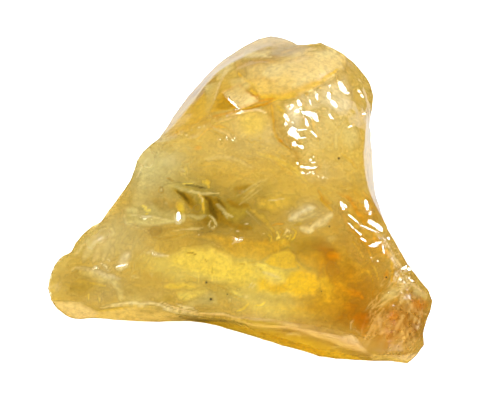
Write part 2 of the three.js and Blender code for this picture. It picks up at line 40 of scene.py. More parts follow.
# ============================================================================================
# 1. The stone's control cage (millimetres): the same fracture-face corners as the CAD solid.
#    Each row is x, y, z and then frost, hackle (mm), ripple (mm).
# ============================================================================================
SIZE = (27.88, 24.23, 13.72)           # finished width, depth, height, mm
CAGE = np.array([
    (-14.38, 5.08, 1.68, 0.1, 0.02, 0.03), (-14.62, 5.99, 2.03, 0.1, 0.02, 0.03),
    (-14.48, 6.6, 2.56, 0.1, 0.02, 0.03), (-14.11, 7.04, 3.25, 0.1, 0.02, 0.03),
    (-13.66, 7.33, 3.82, 0.1, 0.02, 0.03), (-13.07, 7.55, 4.22, 0.1, 0.02, 0.03),
    (-12.86, 8.01, 4.64, 0.1, 0.02, 0.03), (-12.28, 8.6, 5.09, 0.1, 0.02, 0.03),
    (-11.54, 8.94, 5.62, 0.1, 0.02, 0.03), (-10.95, 8.87, 6.04, 0.1, 0.02, 0.03),
    (-10.36, 9.32, 6.7, 0.1, 0.02, 0.03), (-9.63, 10.01, 7.46, 0.1, 0.02, 0.03),
    (-8.97, 10.63, 8.08, 0.1, 0.02, 0.03), (-8.54, 11.27, 8.68, 0.1, 0.02, 0.03),
    (-8.33, 12.09, 9.13, 0.1, 0.02, 0.03), (-7.97, 12.58, 9.47, 0.1, 0.02, 0.03),
    (-7.32, 13.24, 9.72, 0.1, 0.02, 0.03), (-6.67, 14.01, 9.68, 0.1, 0.02, 0.03), (-6.2, 15.92, 9, 0.12, 0.03, 0.03),
    (-5.78, 17.63, 8.5, 0.12, 0.03, 0.03), (-5.28, 18.88, 8.4, 0.12, 0.03, 0.03),
    (-4.7, 19.79, 8.6, 0.12, 0.03, 0.03), (-4.03, 20.71, 8.9, 0.12, 0.03, 0.03),
    (-3.36, 21.39, 9.3, 0.12, 0.03, 0.03), (-2.69, 22.08, 9.6, 0.12, 0.03, 0.03),
    (-1.95, 22.76, 9.9, 0.12, 0.03, 0.03), (-1.12, 23.04, 10.4, 0.12, 0.03, 0.03),
    (-0.3, 23.26, 10.9, 0.12, 0.03, 0.03), (0.6, 23.42, 11.3, 0.12, 0.03, 0.03),
    (1.57, 23.47, 11.6, 0.12, 0.03, 0.03), (2.61, 22.63, 12, 0.12, 0.03, 0.03), (3.56, 21.03, 12.8, 0.1, 0.04, 0.03),
    (4.43, 20.31, 13.4, 0.1, 0.04, 0.03), (5.24, 20.42, 13.5, 0.1, 0.04, 0.03), (6.05, 20.08, 13.3, 0.1, 0.04, 0.03),
    (6.94, 19.7, 12.9, 0.1, 0.04, 0.03), (7.76, 19.62, 12.2, 0.1, 0.04, 0.03), (8.44, 19.42, 11.4, 0.1, 0.04, 0.03),
    (9.01, 19.17, 10.4, 0.1, 0.04, 0.03), (9.24, 18.85, 9.5, 0.1, 0.04, 0.03), (9.08, 17.84, 9, 0.1, 0.04, 0.03),
    (8.94, 17.3, 8, 0.15, 0.03, 0.03), (9.12, 17.55, 6.6, 0.15, 0.03, 0.03), (9.36, 17.34, 5.5, 0.15, 0.03, 0.03),
    (9.51, 16.44, 4.7, 0.15, 0.03, 0.03), (9.56, 15.21, 4.2, 0.15, 0.03, 0.03), (9.64, 13.54, 4.1, 0.15, 0.03, 0.03),
    (9.81, 11.55, 4.4, 0.15, 0.03, 0.03), (10.06, 7.43, 6.65, 0.1, 0.06, 0.03), (10.55, 6.52, 6.21, 0.1, 0.06, 0.03),
    (11.09, 5.75, 5.64, 0.1, 0.06, 0.03), (11.56, 5.22, 4.99, 0.1, 0.06, 0.03), (12.18, 4.73, 4.41, 0.1, 0.06, 0.03),
    (12.99, 4.31, 3.51, 0.2, 0.1, 0.03), (13.32, 3.76, 2.83, 0.2, 0.1, 0.03), (13.12, 2.91, 2.48, 0.2, 0.1, 0.03),
    (12.75, 2.29, 2.03, 0.2, 0.1, 0.03), (12.59, 1.61, 1.57, 0.2, 0.1, 0.03), (12.65, 0.78, 1.27, 0.2, 0.1, 0.03),
    (12.06, -0.03, 0.9, 0.2, 0.1, 0.03), (11.34, -0.29, 0.35, 0.15, 0.03, 0.02), (10.2, 0.22, 0.1, 0.15, 0.03, 0.02),
    (9.05, 0.32, 0, 0.15, 0.03, 0.02), (7.6, 0.43, 0, 0.15, 0.03, 0.02), (6.23, 0.48, 0, 0.15, 0.03, 0.02),
    (4.93, 0.79, 0, 0.15, 0.03, 0.02), (3.77, 1.31, 0, 0.15, 0.03, 0.02), (2.25, 1.89, 0, 0.15, 0.03, 0.02),
    (0.87, 2.57, 0, 0.15, 0.03, 0.02), (-0.36, 3.09, 0, 0.15, 0.03, 0.02), (-1.75, 3.78, 0, 0.12, 0.02, 0.02),
    (-2.85, 4.2, 0, 0.12, 0.02, 0.02), (-3.95, 4.47, 0, 0.12, 0.02, 0.02), (-5.12, 4.57, 0, 0.12, 0.02, 0.02),
    (-6.58, 4.31, 0.1, 0.12, 0.02, 0.02), (-8.4, 4.2, 0.2, 0.12, 0.02, 0.02), (-9.86, 4.21, 0.4, 0.12, 0.02, 0.02),
    (-11.1, 4.26, 0.5, 0.12, 0.02, 0.02), (-12.41, 4.1, 0.7, 0.12, 0.02, 0.02),
    (-13.35, 4.26, 1.1, 0.12, 0.02, 0.02), (-13.96, 4.43, 1.6, 0.12, 0.02, 0.02),
    (-13.38, 4.21, 2.41, 0.5, 0.02, 0.01), (-12.06, 3.92, 2.42, 0.5, 0.02, 0.01),
    (-10.46, 3.68, 2.45, 0.5, 0.02, 0.01), (-8.42, 3.56, 2.57, 0.5, 0.02, 0.01),
    (-6.67, 3.28, 2.59, 0.5, 0.02, 0.01), (-4.93, 2.89, 2.51, 0.5, 0.02, 0.01), (-3.19, 2.53, 2.45, 0.5, 0.02, 0.01),
    (-1.45, 2.21, 2.5, 0.5, 0.02, 0.01), (0.29, 1.92, 2.63, 0.7, 0.03, 0.01), (2.17, 1.54, 2.64, 0.7, 0.03, 0.01),
    (4.04, 1.19, 2.62, 0.7, 0.03, 0.01), (5.77, 0.86, 2.59, 0.7, 0.03, 0.01), (7.13, 0.48, 2.46, 0.7, 0.03, 0.01),
    (8.06, -0.07, 2.19, 0.7, 0.03, 0.01), (8.92, -0.59, 1.95, 0.7, 0.03, 0.01), (0.43, 1.97, 2.23, 0.9, 0.06, 0.02),
    (2.31, 1.65, 2.04, 0.9, 0.06, 0.02), (3.9, 1.3, 1.77, 0.9, 0.06, 0.02), (5.35, 0.83, 1.52, 0.9, 0.06, 0.02),
    (6.79, 0.41, 1.43, 0.9, 0.06, 0.02), (8, -0.14, 1.41, 0.9, 0.06, 0.02), (10.06, -0.8, 2, 0.18, 0.26, 0.03),
    (11.29, -0.72, 1.92, 0.18, 0.26, 0.03), (-13.68, 4.9, 2.95, 0, 0.02, 0.03), (-13.1, 5.6, 3.69, 0, 0.02, 0.03),
    (-12.05, 4.59, 3.45, 0, 0.02, 0.03), (-10.6, 4.32, 3.3, 0, 0.02, 0.03), (-12.37, 6.23, 4.4, 0, 0.02, 0.03),
    (-11.79, 7.1, 5.08, 0, 0.02, 0.03), (-10.63, 7.62, 5.69, 0, 0.02, 0.03), (-10.03, 5.54, 4.15, 0, 0, 0.018),
    (-8.87, 6.58, 5.26, 0, 0, 0.018), (-8.86, 4.61, 3.33, 0, 0, 0.018), (-7.12, 5.43, 4.15, 0, 0, 0.018),
    (-6.53, 4.21, 3.2, 0, 0, 0.018), (-4.79, 4.69, 3.65, 0, 0, 0.018), (-4.35, 3.69, 3, 0, 0, 0.018),
    (-2.03, 3.54, 3.14, 0, 0, 0.018), (-2.03, 4.95, 4.2, 0, 0, 0.018), (0.87, 3.19, 3.27, 0, 0, 0.018),
    (0.87, 4.94, 4.61, 0, 0, 0.018), (3.61, 2.68, 3.35, 0, 0, 0.018), (3.91, 4.4, 4.72, 0, 0, 0.018),
    (-8.88, 8.68, 6.9, 0, 0, 0.018), (-7.41, 7.66, 6.44, 0, 0, 0.018), (-5.08, 6.46, 5.57, 0, 0, 0.018),
    (-2.03, 6.25, 5.76, 0, 0, 0.018), (0.87, 6.31, 6.3, 0, 0, 0.018), (4.05, 5.91, 6.28, 0, 0, 0.018),
    (-7.28, 9.74, 8.09, 0, 0, 0.018), (-4.79, 8.3, 7.43, 0, 0, 0.018), (-2.03, 7.85, 7.44, 0, 0, 0.018),
    (1.02, 7.98, 7.92, 0, 0, 0.018), (3.91, 7.59, 7.88, 0, 0, 0.018), (-7, 11.26, 9.28, 0, 0, 0.018),
    (-4.8, 10.29, 8.97, 0, 0, 0.018), (-2.03, 9.76, 9.05, 0, 0, 0.018), (0.87, 9.78, 9.42, 0, 0, 0.018),
    (3.34, 9.28, 9.29, 0, 0, 0.018), (-4.81, 11.79, 10.17, 0, 0, 0.018), (-2.62, 11.3, 10.21, 0, 0, 0.018),
    (-0.29, 10.96, 10.32, 0, 0, 0.018), (1.89, 10.74, 10.31, 0, 0, 0.018), (6.07, 2.74, 3.89, 0, 0, 0.018),
    (6.22, 4.43, 5.28, 0, 0, 0.018), (6.51, 5.78, 6.59, 0, 0, 0.018), (6.06, 1.71, 3.08, 0, 0, 0.018),
    (-5.68, 12.48, 10.63, 0, 0.12, 0.02), (-4.22, 12.49, 10.91, 0, 0.12, 0.02), (-2.62, 12.26, 11.02, 0, 0.12, 0.02),
    (-0.87, 11.96, 11.08, 0, 0.12, 0.02), (-6.15, 14.04, 10, 0.05, 0.05, 0.02),
    (-5.12, 13.9, 10.7, 0.05, 0.05, 0.02), (-3.28, 13.76, 11.5, 0.05, 0.05, 0.02),
    (-1.89, 13.68, 12, 0.05, 0.05, 0.02), (-0.8, 13.93, 12.5, 0.1, 0.01, 0.01),
    (0.87, 14.03, 12.8, 0.05, 0.04, 0.02), (2.33, 14.19, 13, 0.05, 0.04, 0.02),
    (3.72, 14.58, 13.1, 0.05, 0.04, 0.02), (5.11, 15.48, 13.1, 0.05, 0.04, 0.02),
    (6.45, 16.67, 12.9, 0.05, 0.04, 0.02), (7.5, 17.72, 12.3, 0.05, 0.04, 0.02), (1.53, 13.59, 12.37, 0, 0, 0.03),
    (1.97, 12.88, 11.54, 0, 0, 0.03), (2.62, 12.03, 10.92, 0, 0, 0.03), (3.42, 11.24, 10.56, 0, 0, 0.03),
    (4.06, 10.34, 10.09, 0, 0, 0.03), (-0.29, 12.53, 11.65, 0, 0, 0.03), (1.02, 11.99, 11.25, 0, 0, 0.03),
    (3.2, 13.21, 12.79, 0.02, 0.14, 0.05), (4.93, 12.94, 13.4, 0.02, 0.14, 0.05),
    (6.58, 15.12, 12.3, 0.02, 0.14, 0.05), (3.63, 11.86, 12.04, 0.02, 0.14, 0.05),
    (5.22, 11.65, 12.41, 0.02, 0.14, 0.05), (6.96, 12.33, 12.59, 0.02, 0.14, 0.05),
    (4.93, 10.63, 11.18, 0.02, 0.14, 0.05), (6.67, 10.94, 11.1, 0.02, 0.14, 0.05),
    (5.51, 9.47, 9.89, 0.02, 0.14, 0.05), (7.11, 9.75, 9.64, 0.02, 0.14, 0.05), (8.18, 17.53, 11.4, 0.05, 0.1, 0.03),
    (8.55, 17.11, 10.5, 0.05, 0.1, 0.03), (8.62, 16.34, 9.8, 0.05, 0.1, 0.03), (8.47, 13.56, 10.94, 0.05, 0.1, 0.03),
    (8.31, 12.58, 10.35, 0.05, 0.1, 0.03), (8.23, 11.47, 9.67, 0.05, 0.1, 0.03), (8.37, 10.3, 8.96, 0.05, 0.1, 0.03),
    (8.72, 9.31, 8.18, 0.05, 0.1, 0.03), (9.37, 8.31, 7.42, 0.05, 0.1, 0.03), (6.08, 8.34, 8.96, 0, 0.06, 0.03),
    (7.02, 7.08, 7.95, 0, 0.06, 0.03), (7.95, 5.7, 6.86, 0, 0.06, 0.03), (8.95, 4.36, 5.94, 0, 0.06, 0.03),
    (9.8, 2.85, 4.98, 0, 0.06, 0.03), (9.08, 2.11, 3.99, 0, 0.06, 0.03), (8.07, 1.29, 3.08, 0, 0.06, 0.03),
    (7.69, 8.48, 8.44, 0.03, 0.2, 0.03), (8.69, 7.13, 7.51, 0.03, 0.2, 0.03), (9.62, 5.73, 6.53, 0.03, 0.2, 0.03),
    (10.54, 4.42, 5.69, 0.03, 0.2, 0.03), (11.09, 2.67, 4.95, 0.18, 0.26, 0.03),
    (12.04, 2.37, 4.24, 0.18, 0.26, 0.03), (10.64, 1.23, 4.13, 0.18, 0.26, 0.03),
    (11.8, 0.66, 3.28, 0.18, 0.26, 0.03), (9.78, 0.34, 3.19, 0.18, 0.26, 0.03),
    (11.07, -0.24, 2.75, 0.18, 0.26, 0.03), (-4.85, 15.64, 10.6, 0.1, 0.02, 0.03),
    (-4.19, 16.53, 11, 0.1, 0.02, 0.03), (-3.61, 17.31, 11.4, 0.1, 0.02, 0.03), (-3.1, 17.98, 11.7, 0.1, 0.02, 0.03),
    (-2.36, 18.65, 12.1, 0.1, 0.02, 0.03), (-1.4, 19.21, 12.4, 0.1, 0.02, 0.03),
    (-0.3, 19.59, 12.8, 0.1, 0.02, 0.03), (0.89, 20.09, 13.1, 0.1, 0.02, 0.03),
    (1.99, 20.25, 13.35, 0.1, 0.02, 0.03), (2.88, 20.09, 13.25, 0.1, 0.02, 0.03),
    (-2.85, 14.7, 11.7, 0.1, 0.01, 0.01), (-2.12, 16.08, 12.2, 0.1, 0.01, 0.01),
    (-0.88, 16.34, 12.8, 0.1, 0.01, 0.01), (0.58, 14.24, 13.1, 0.1, 0.01, 0.01),
    (-3.23, 15.94, 11.6, 0.1, 0.01, 0.01), (-1.76, 17.26, 12.5, 0.1, 0.01, 0.01),
    (0.44, 15.86, 13.3, 0.22, 0.02, 0.06), (1.82, 15.18, 13.4, 0.22, 0.02, 0.06),
    (3.35, 15.07, 13.45, 0.22, 0.02, 0.06), (4.82, 15.69, 13.45, 0.22, 0.02, 0.06),
    (6.08, 16.88, 13.3, 0.22, 0.02, 0.06), (6.91, 18.38, 13, 0.22, 0.02, 0.06),
    (0.88, 17.43, 13.6, 0.22, 0.02, 0.06), (2.78, 17.02, 13.95, 0.22, 0.02, 0.06),
    (4.69, 17.47, 13.95, 0.22, 0.02, 0.06), (12.1, 2, 0.15, 0.45, 0.05, 0.03), (12.3, 4.6, 0.1, 0.45, 0.05, 0.03),
    (11.3, 7.8, 0, 0.45, 0.05, 0.03), (10.2, 11.2, 0, 0.45, 0.05, 0.03), (9.7, 14.2, 0.15, 0.45, 0.05, 0.03),
    (8.4, 17, 0.35, 0.45, 0.05, 0.03), (5.6, 19.2, 0.2, 0.45, 0.05, 0.03), (1.6, 20.4, 0, 0.45, 0.05, 0.03),
    (-1.9, 20.2, 0.1, 0.45, 0.05, 0.03), (-4.6, 18.2, 0.25, 0.45, 0.05, 0.03), (-6.2, 15.4, 0.15, 0.45, 0.05, 0.03),
    (-7.4, 12.4, 0, 0.45, 0.05, 0.03), (-8.9, 9.9, 0.1, 0.45, 0.05, 0.03), (-10.7, 8, 0.3, 0.45, 0.05, 0.03),
    (-12.1, 6.4, 0.6, 0.45, 0.05, 0.03), (-7, 7.5, 0, 0.5, 0, 0), (-2.5, 8, 0, 0.5, 0, 0), (2.5, 7, 0, 0.5, 0, 0),
    (7.5, 5.5, 0, 0.5, 0, 0), (-3.8, 13, 0, 0.5, 0, 0), (1, 13, 0, 0.5, 0, 0), (6, 11.5, 0, 0.5, 0, 0),
    (-0.5, 17.2, 0, 0.5, 0, 0), (4.6, 15.8, 0, 0.5, 0, 0), (-0.8, 22.4, 5.6, 0.45, 0.08, 0.12),
    (3.2, 22.2, 7.4, 0.45, 0.08, 0.12), (6.6, 21, 5.6, 0.45, 0.08, 0.12), (8.7, 18.9, 4.6, 0.45, 0.08, 0.12),
    (-4.2, 20.6, 4.8, 0.45, 0.08, 0.12), (1.2, 22.7, 9.8, 0.45, 0.08, 0.12), (5.2, 21.9, 9.8, 0.45, 0.08, 0.12),
    (-2.6, 21.8, 8.2, 0.45, 0.08, 0.12), (8.3, 20.2, 7.6, 0.45, 0.08, 0.12), (1.4, 21.4, 2.4, 0.45, 0.08, 0.12),
    (6, 20.3, 2.6, 0.45, 0.08, 0.12), (-0.6, 23, 8.2, 0.45, 0.08, 0.12), (3.4, 22.9, 5.2, 0.45, 0.08, 0.12),
    (-3, 21.7, 4, 0.45, 0.08, 0.12), (7.6, 19.9, 5.9, 0.45, 0.08, 0.12), (-1.2, 21.3, 1.9, 0.45, 0.08, 0.12),
    (-10.8, 9.2, 3.2, 0.45, 0.07, 0.1), (-8.4, 12.4, 4.6, 0.45, 0.07, 0.1), (-6.7, 15.8, 5.2, 0.45, 0.07, 0.1),
    (-6, 17.6, 3, 0.45, 0.07, 0.1), (-12.9, 6.7, 2.3, 0.45, 0.07, 0.1), (-5.9, 16.6, 5.4, 0.45, 0.07, 0.1),
    (-9.6, 10.6, 4.2, 0.45, 0.07, 0.1), (-7.3, 14.6, 3.4, 0.45, 0.07, 0.1), (-4.9, 18.9, 3, 0.45, 0.07, 0.1),
    (-11.7, 8, 2.6, 0.45, 0.07, 0.1), (-6.4, 16.2, 2.2, 0.45, 0.07, 0.1), (12.6, 4.9, 1.5, 0.4, 0.06, 0.1),
    (11.5, 7.6, 1.7, 0.4, 0.06, 0.1), (10, 11.4, 1.7, 0.4, 0.06, 0.1), (9.2, 15, 1.3, 0.4, 0.06, 0.1),
])
FACES = np.array([
    (213, 29, 28), (59, 58, 103), (103, 58, 205), (103, 60, 59), (61, 60, 103), (205, 58, 57), (57, 56, 203),
    (203, 205, 57), (141, 136, 137), (132, 128, 133), (133, 137, 132), (121, 120, 123), (96, 69, 68), (110, 8, 7),
    (105, 3, 2), (119, 120, 121), (118, 120, 119), (203, 202, 204), (204, 205, 203), (102, 61, 103), (103, 205, 102),
    (102, 205, 204), (204, 95, 102), (204, 202, 194), (137, 136, 131), (132, 137, 131), (190, 146, 191),
    (129, 128, 121), (129, 121, 123), (133, 128, 134), (134, 128, 129), (134, 146, 190), (129, 146, 134),
    (123, 144, 145), (145, 146, 129), (129, 123, 145), (145, 144, 194), (194, 192, 145), (191, 146, 145),
    (145, 192, 191), (123, 120, 122), (122, 144, 123), (89, 96, 90), (96, 88, 69), (96, 68, 97), (90, 91, 122),
    (89, 90, 120), (122, 120, 90), (147, 91, 92), (147, 144, 122), (122, 91, 147), (92, 91, 99), (66, 65, 99),
    (4, 3, 105), (105, 108, 4), (124, 11, 10), (131, 136, 130), (124, 125, 130), (130, 125, 131), (110, 7, 109),
    (130, 136, 135), (135, 15, 14), (16, 15, 135), (27, 213, 28), (81, 80, 79), (0, 80, 81), (117, 118, 119),
    (121, 128, 127), (119, 121, 127), (127, 128, 132), (127, 132, 131), (62, 61, 102), (102, 95, 62), (147, 92, 93),
    (99, 65, 64), (201, 54, 53), (55, 54, 201), (200, 202, 201), (201, 202, 203), (201, 56, 55), (203, 56, 201),
    (193, 192, 194), (194, 202, 193), (193, 202, 200), (186, 179, 196), (197, 190, 191), (196, 190, 197),
    (109, 7, 6), (110, 124, 9), (9, 124, 10), (9, 8, 110), (12, 11, 124), (12, 124, 130), (154, 207, 206),
    (208, 217, 209), (21, 207, 22), (22, 207, 208), (209, 23, 22), (22, 208, 209), (220, 217, 208), (208, 207, 220),
    (217, 218, 221), (209, 217, 221), (217, 155, 156), (156, 218, 217), (185, 179, 186), (177, 179, 185),
    (44, 43, 185), (185, 186, 44), (178, 179, 177), (227, 35, 34), (36, 35, 227), (38, 37, 180), (180, 39, 38),
    (104, 1, 0), (104, 0, 81), (2, 1, 104), (105, 2, 104), (106, 108, 105), (106, 105, 104), (104, 81, 106),
    (109, 108, 111), (111, 108, 106), (106, 107, 111), (111, 110, 109), (107, 113, 111), (88, 71, 70),
    (88, 120, 118), (89, 120, 88), (96, 89, 88), (70, 69, 88), (87, 118, 117), (88, 118, 87), (87, 71, 88),
    (131, 125, 126), (127, 131, 126), (126, 119, 127), (94, 95, 204), (100, 99, 64), (100, 92, 99), (93, 92, 100),
    (64, 63, 100), (94, 93, 100), (201, 53, 52), (201, 52, 51), (193, 200, 199), (199, 192, 193), (44, 186, 45),
    (187, 186, 196), (187, 46, 45), (45, 186, 187), (197, 191, 198), (191, 192, 198), (198, 192, 199),
    (199, 50, 198), (96, 97, 90), (97, 68, 67), (97, 91, 90), (5, 108, 109), (5, 109, 6), (4, 108, 5), (135, 14, 13),
    (13, 130, 135), (12, 130, 13), (84, 76, 75), (115, 113, 84), (20, 207, 21), (206, 207, 20), (20, 19, 206),
    (149, 141, 150), (150, 154, 149), (150, 155, 154), (140, 136, 141), (140, 141, 149), (135, 136, 140),
    (153, 154, 206), (149, 154, 153), (206, 19, 18), (206, 18, 152), (216, 155, 217), (216, 217, 220),
    (154, 155, 216), (216, 207, 154), (220, 207, 216), (210, 209, 221), (24, 23, 210), (210, 23, 209), (210, 25, 24),
    (26, 25, 211), (221, 218, 211), (211, 25, 210), (210, 221, 211), (212, 213, 27), (212, 27, 26), (212, 26, 211),
    (211, 218, 212), (219, 218, 156), (139, 133, 134), (178, 167, 139), (178, 177, 176), (176, 167, 178),
    (176, 177, 174), (166, 167, 176), (176, 173, 166), (174, 173, 176), (189, 190, 196), (134, 190, 189),
    (196, 179, 189), (189, 179, 178), (139, 134, 189), (189, 178, 139), (227, 161, 162), (180, 37, 162),
    (162, 37, 36), (162, 36, 227), (181, 39, 180), (171, 173, 174), (106, 81, 82), (79, 78, 82), (81, 79, 82),
    (82, 78, 77), (82, 107, 106), (112, 110, 111), (112, 125, 124), (112, 124, 110), (111, 113, 112), (87, 86, 72),
    (72, 71, 87), (195, 204, 194), (94, 204, 195), (195, 93, 94), (195, 147, 93), (194, 144, 195), (195, 144, 147),
    (100, 63, 101), (101, 94, 100), (101, 95, 94), (62, 95, 101), (101, 63, 62), (201, 51, 199), (201, 199, 200),
    (51, 50, 199), (188, 196, 197), (187, 196, 188), (188, 48, 47), (47, 46, 188), (188, 46, 187), (198, 50, 49),
    (188, 197, 48), (48, 197, 198), (48, 198, 49), (98, 91, 97), (99, 91, 98), (98, 66, 99), (67, 66, 98),
    (97, 67, 98), (115, 117, 116), (117, 119, 116), (116, 119, 126), (115, 84, 85), (75, 74, 85), (85, 84, 75),
    (150, 141, 151), (151, 155, 150), (148, 135, 140), (148, 17, 16), (16, 135, 148), (140, 149, 148),
    (148, 149, 153), (212, 218, 222), (222, 218, 219), (219, 223, 222), (214, 29, 213), (30, 29, 214), (230, 32, 31),
    (31, 229, 230), (34, 33, 230), (230, 33, 32), (157, 223, 219), (219, 156, 157), (181, 180, 172), (162, 161, 172),
    (172, 180, 162), (229, 223, 224), (230, 229, 224), (82, 77, 83), (83, 107, 82), (77, 76, 83), (83, 76, 84),
    (83, 113, 107), (84, 113, 83), (114, 113, 115), (112, 113, 114), (116, 126, 114), (114, 115, 116),
    (126, 125, 114), (114, 125, 112), (87, 117, 86), (86, 73, 72), (86, 117, 115), (86, 115, 85), (86, 74, 73),
    (85, 74, 86), (168, 163, 157), (157, 156, 168), (156, 155, 168), (168, 155, 151), (138, 133, 139),
    (138, 137, 133), (18, 17, 152), (152, 17, 148), (206, 152, 153), (148, 153, 152), (228, 213, 212),
    (228, 212, 222), (214, 213, 228), (228, 229, 214), (228, 223, 229), (222, 223, 228), (214, 229, 215),
    (215, 229, 31), (215, 30, 214), (31, 30, 215), (184, 42, 183), (184, 177, 185), (185, 43, 184), (184, 43, 42),
    (183, 42, 41), (175, 181, 172), (174, 177, 175), (171, 174, 175), (172, 171, 175), (175, 177, 184),
    (184, 183, 175), (224, 223, 158), (157, 163, 158), (158, 223, 157), (225, 230, 224), (169, 163, 168),
    (168, 151, 169), (40, 39, 181), (170, 173, 171), (158, 163, 170), (226, 230, 225), (226, 161, 227),
    (227, 34, 226), (226, 34, 230), (172, 161, 160), (160, 161, 226), (226, 225, 160), (160, 171, 172),
    (164, 163, 169), (164, 173, 170), (170, 163, 164), (138, 139, 143), (143, 167, 166), (139, 167, 143),
    (169, 151, 142), (142, 137, 138), (142, 138, 143), (143, 169, 142), (141, 137, 142), (151, 141, 142),
    (175, 183, 182), (182, 183, 41), (182, 41, 40), (182, 181, 175), (40, 181, 182), (159, 224, 158),
    (159, 158, 170), (170, 171, 159), (159, 171, 160), (225, 224, 159), (160, 225, 159), (164, 169, 165),
    (165, 169, 143), (143, 166, 165), (166, 173, 165), (165, 173, 164), (248, 247, 251), (247, 248, 69),
    (59, 231, 58), (231, 59, 60), (252, 248, 251), (248, 252, 249), (254, 252, 251), (65, 66, 249), (66, 248, 249),
    (66, 67, 248), (247, 250, 251), (240, 250, 241), (55, 282, 54), (55, 56, 232), (282, 55, 232), (231, 57, 58),
    (56, 57, 232), (57, 231, 232), (62, 63, 249), (252, 234, 249), (253, 254, 251), (250, 253, 251), (253, 250, 240),
    (64, 65, 249), (63, 64, 249), (248, 68, 69), (67, 68, 248), (271, 7, 8), (275, 0, 1), (0, 275, 80),
    (70, 247, 69), (246, 250, 247), (261, 32, 33), (34, 261, 33), (261, 31, 32), (261, 34, 35), (261, 257, 265),
    (36, 261, 35), (261, 36, 37), (260, 30, 31), (30, 260, 29), (262, 255, 268), (255, 262, 266), (232, 61, 249),
    (61, 62, 249), (231, 61, 232), (61, 231, 60), (4, 275, 3), (281, 240, 241), (241, 278, 273), (272, 277, 11),
    (272, 278, 241), (277, 10, 11), (9, 271, 8), (9, 277, 271), (9, 10, 277), (2, 275, 1), (275, 2, 3),
    (71, 72, 247), (70, 71, 247), (277, 242, 271), (242, 272, 241), (272, 242, 277), (250, 242, 241),
    (246, 242, 250), (25, 26, 262), (263, 261, 37), (261, 263, 257), (256, 261, 265), (260, 256, 266),
    (261, 256, 31), (256, 260, 31), (256, 255, 266), (255, 256, 267), (260, 28, 29), (26, 27, 266), (27, 260, 266),
    (27, 28, 260), (255, 270, 268), (268, 270, 239), (264, 255, 267), (264, 270, 255), (285, 236, 46),
    (237, 236, 254), (254, 236, 252), (236, 235, 252), (235, 236, 285), (234, 252, 235), (234, 235, 284),
    (47, 285, 46), (47, 235, 285), (6, 7, 271), (274, 279, 240), (281, 274, 240), (13, 272, 12), (272, 13, 14),
    (12, 272, 11), (74, 75, 246), (75, 244, 246), (262, 22, 23), (262, 21, 22), (262, 259, 21), (262, 268, 259),
    (259, 18, 19), (259, 268, 240), (25, 262, 24), (262, 26, 266), (24, 262, 23), (263, 269, 257), (239, 253, 240),
    (240, 268, 239), (259, 240, 279), (234, 233, 249), (283, 233, 234), (233, 232, 249), (233, 282, 232),
    (48, 284, 235), (47, 48, 235), (4, 5, 275), (274, 276, 279), (276, 259, 279), (259, 276, 18), (73, 74, 246),
    (72, 73, 247), (73, 246, 247), (280, 244, 275), (5, 280, 275), (280, 6, 271), (280, 5, 6), (76, 244, 75),
    (243, 242, 246), (244, 243, 246), (242, 243, 271), (243, 280, 271), (280, 243, 244), (20, 259, 19),
    (259, 20, 21), (282, 53, 54), (233, 53, 282), (38, 263, 37), (38, 39, 263), (39, 40, 263), (43, 258, 42),
    (258, 41, 42), (44, 258, 43), (264, 238, 270), (238, 239, 270), (239, 238, 253), (253, 238, 254),
    (238, 237, 254), (48, 49, 284), (49, 50, 234), (284, 49, 234), (276, 17, 18), (273, 276, 274), (273, 14, 15),
    (272, 14, 273), (272, 273, 278), (241, 273, 281), (273, 274, 281), (76, 77, 244), (50, 51, 234), (51, 283, 234),
    (236, 44, 45), (236, 258, 44), (236, 45, 46), (51, 52, 283), (52, 233, 283), (52, 53, 233), (40, 41, 258),
    (269, 263, 40), (40, 258, 269), (258, 265, 269), (269, 265, 257), (236, 237, 258), (237, 265, 258),
    (256, 265, 267), (265, 264, 267), (238, 265, 237), (265, 238, 264), (16, 273, 15), (16, 17, 276), (273, 16, 276),
    (245, 77, 78), (77, 245, 244), (244, 245, 275), (79, 245, 78), (245, 79, 80), (275, 245, 80),
])
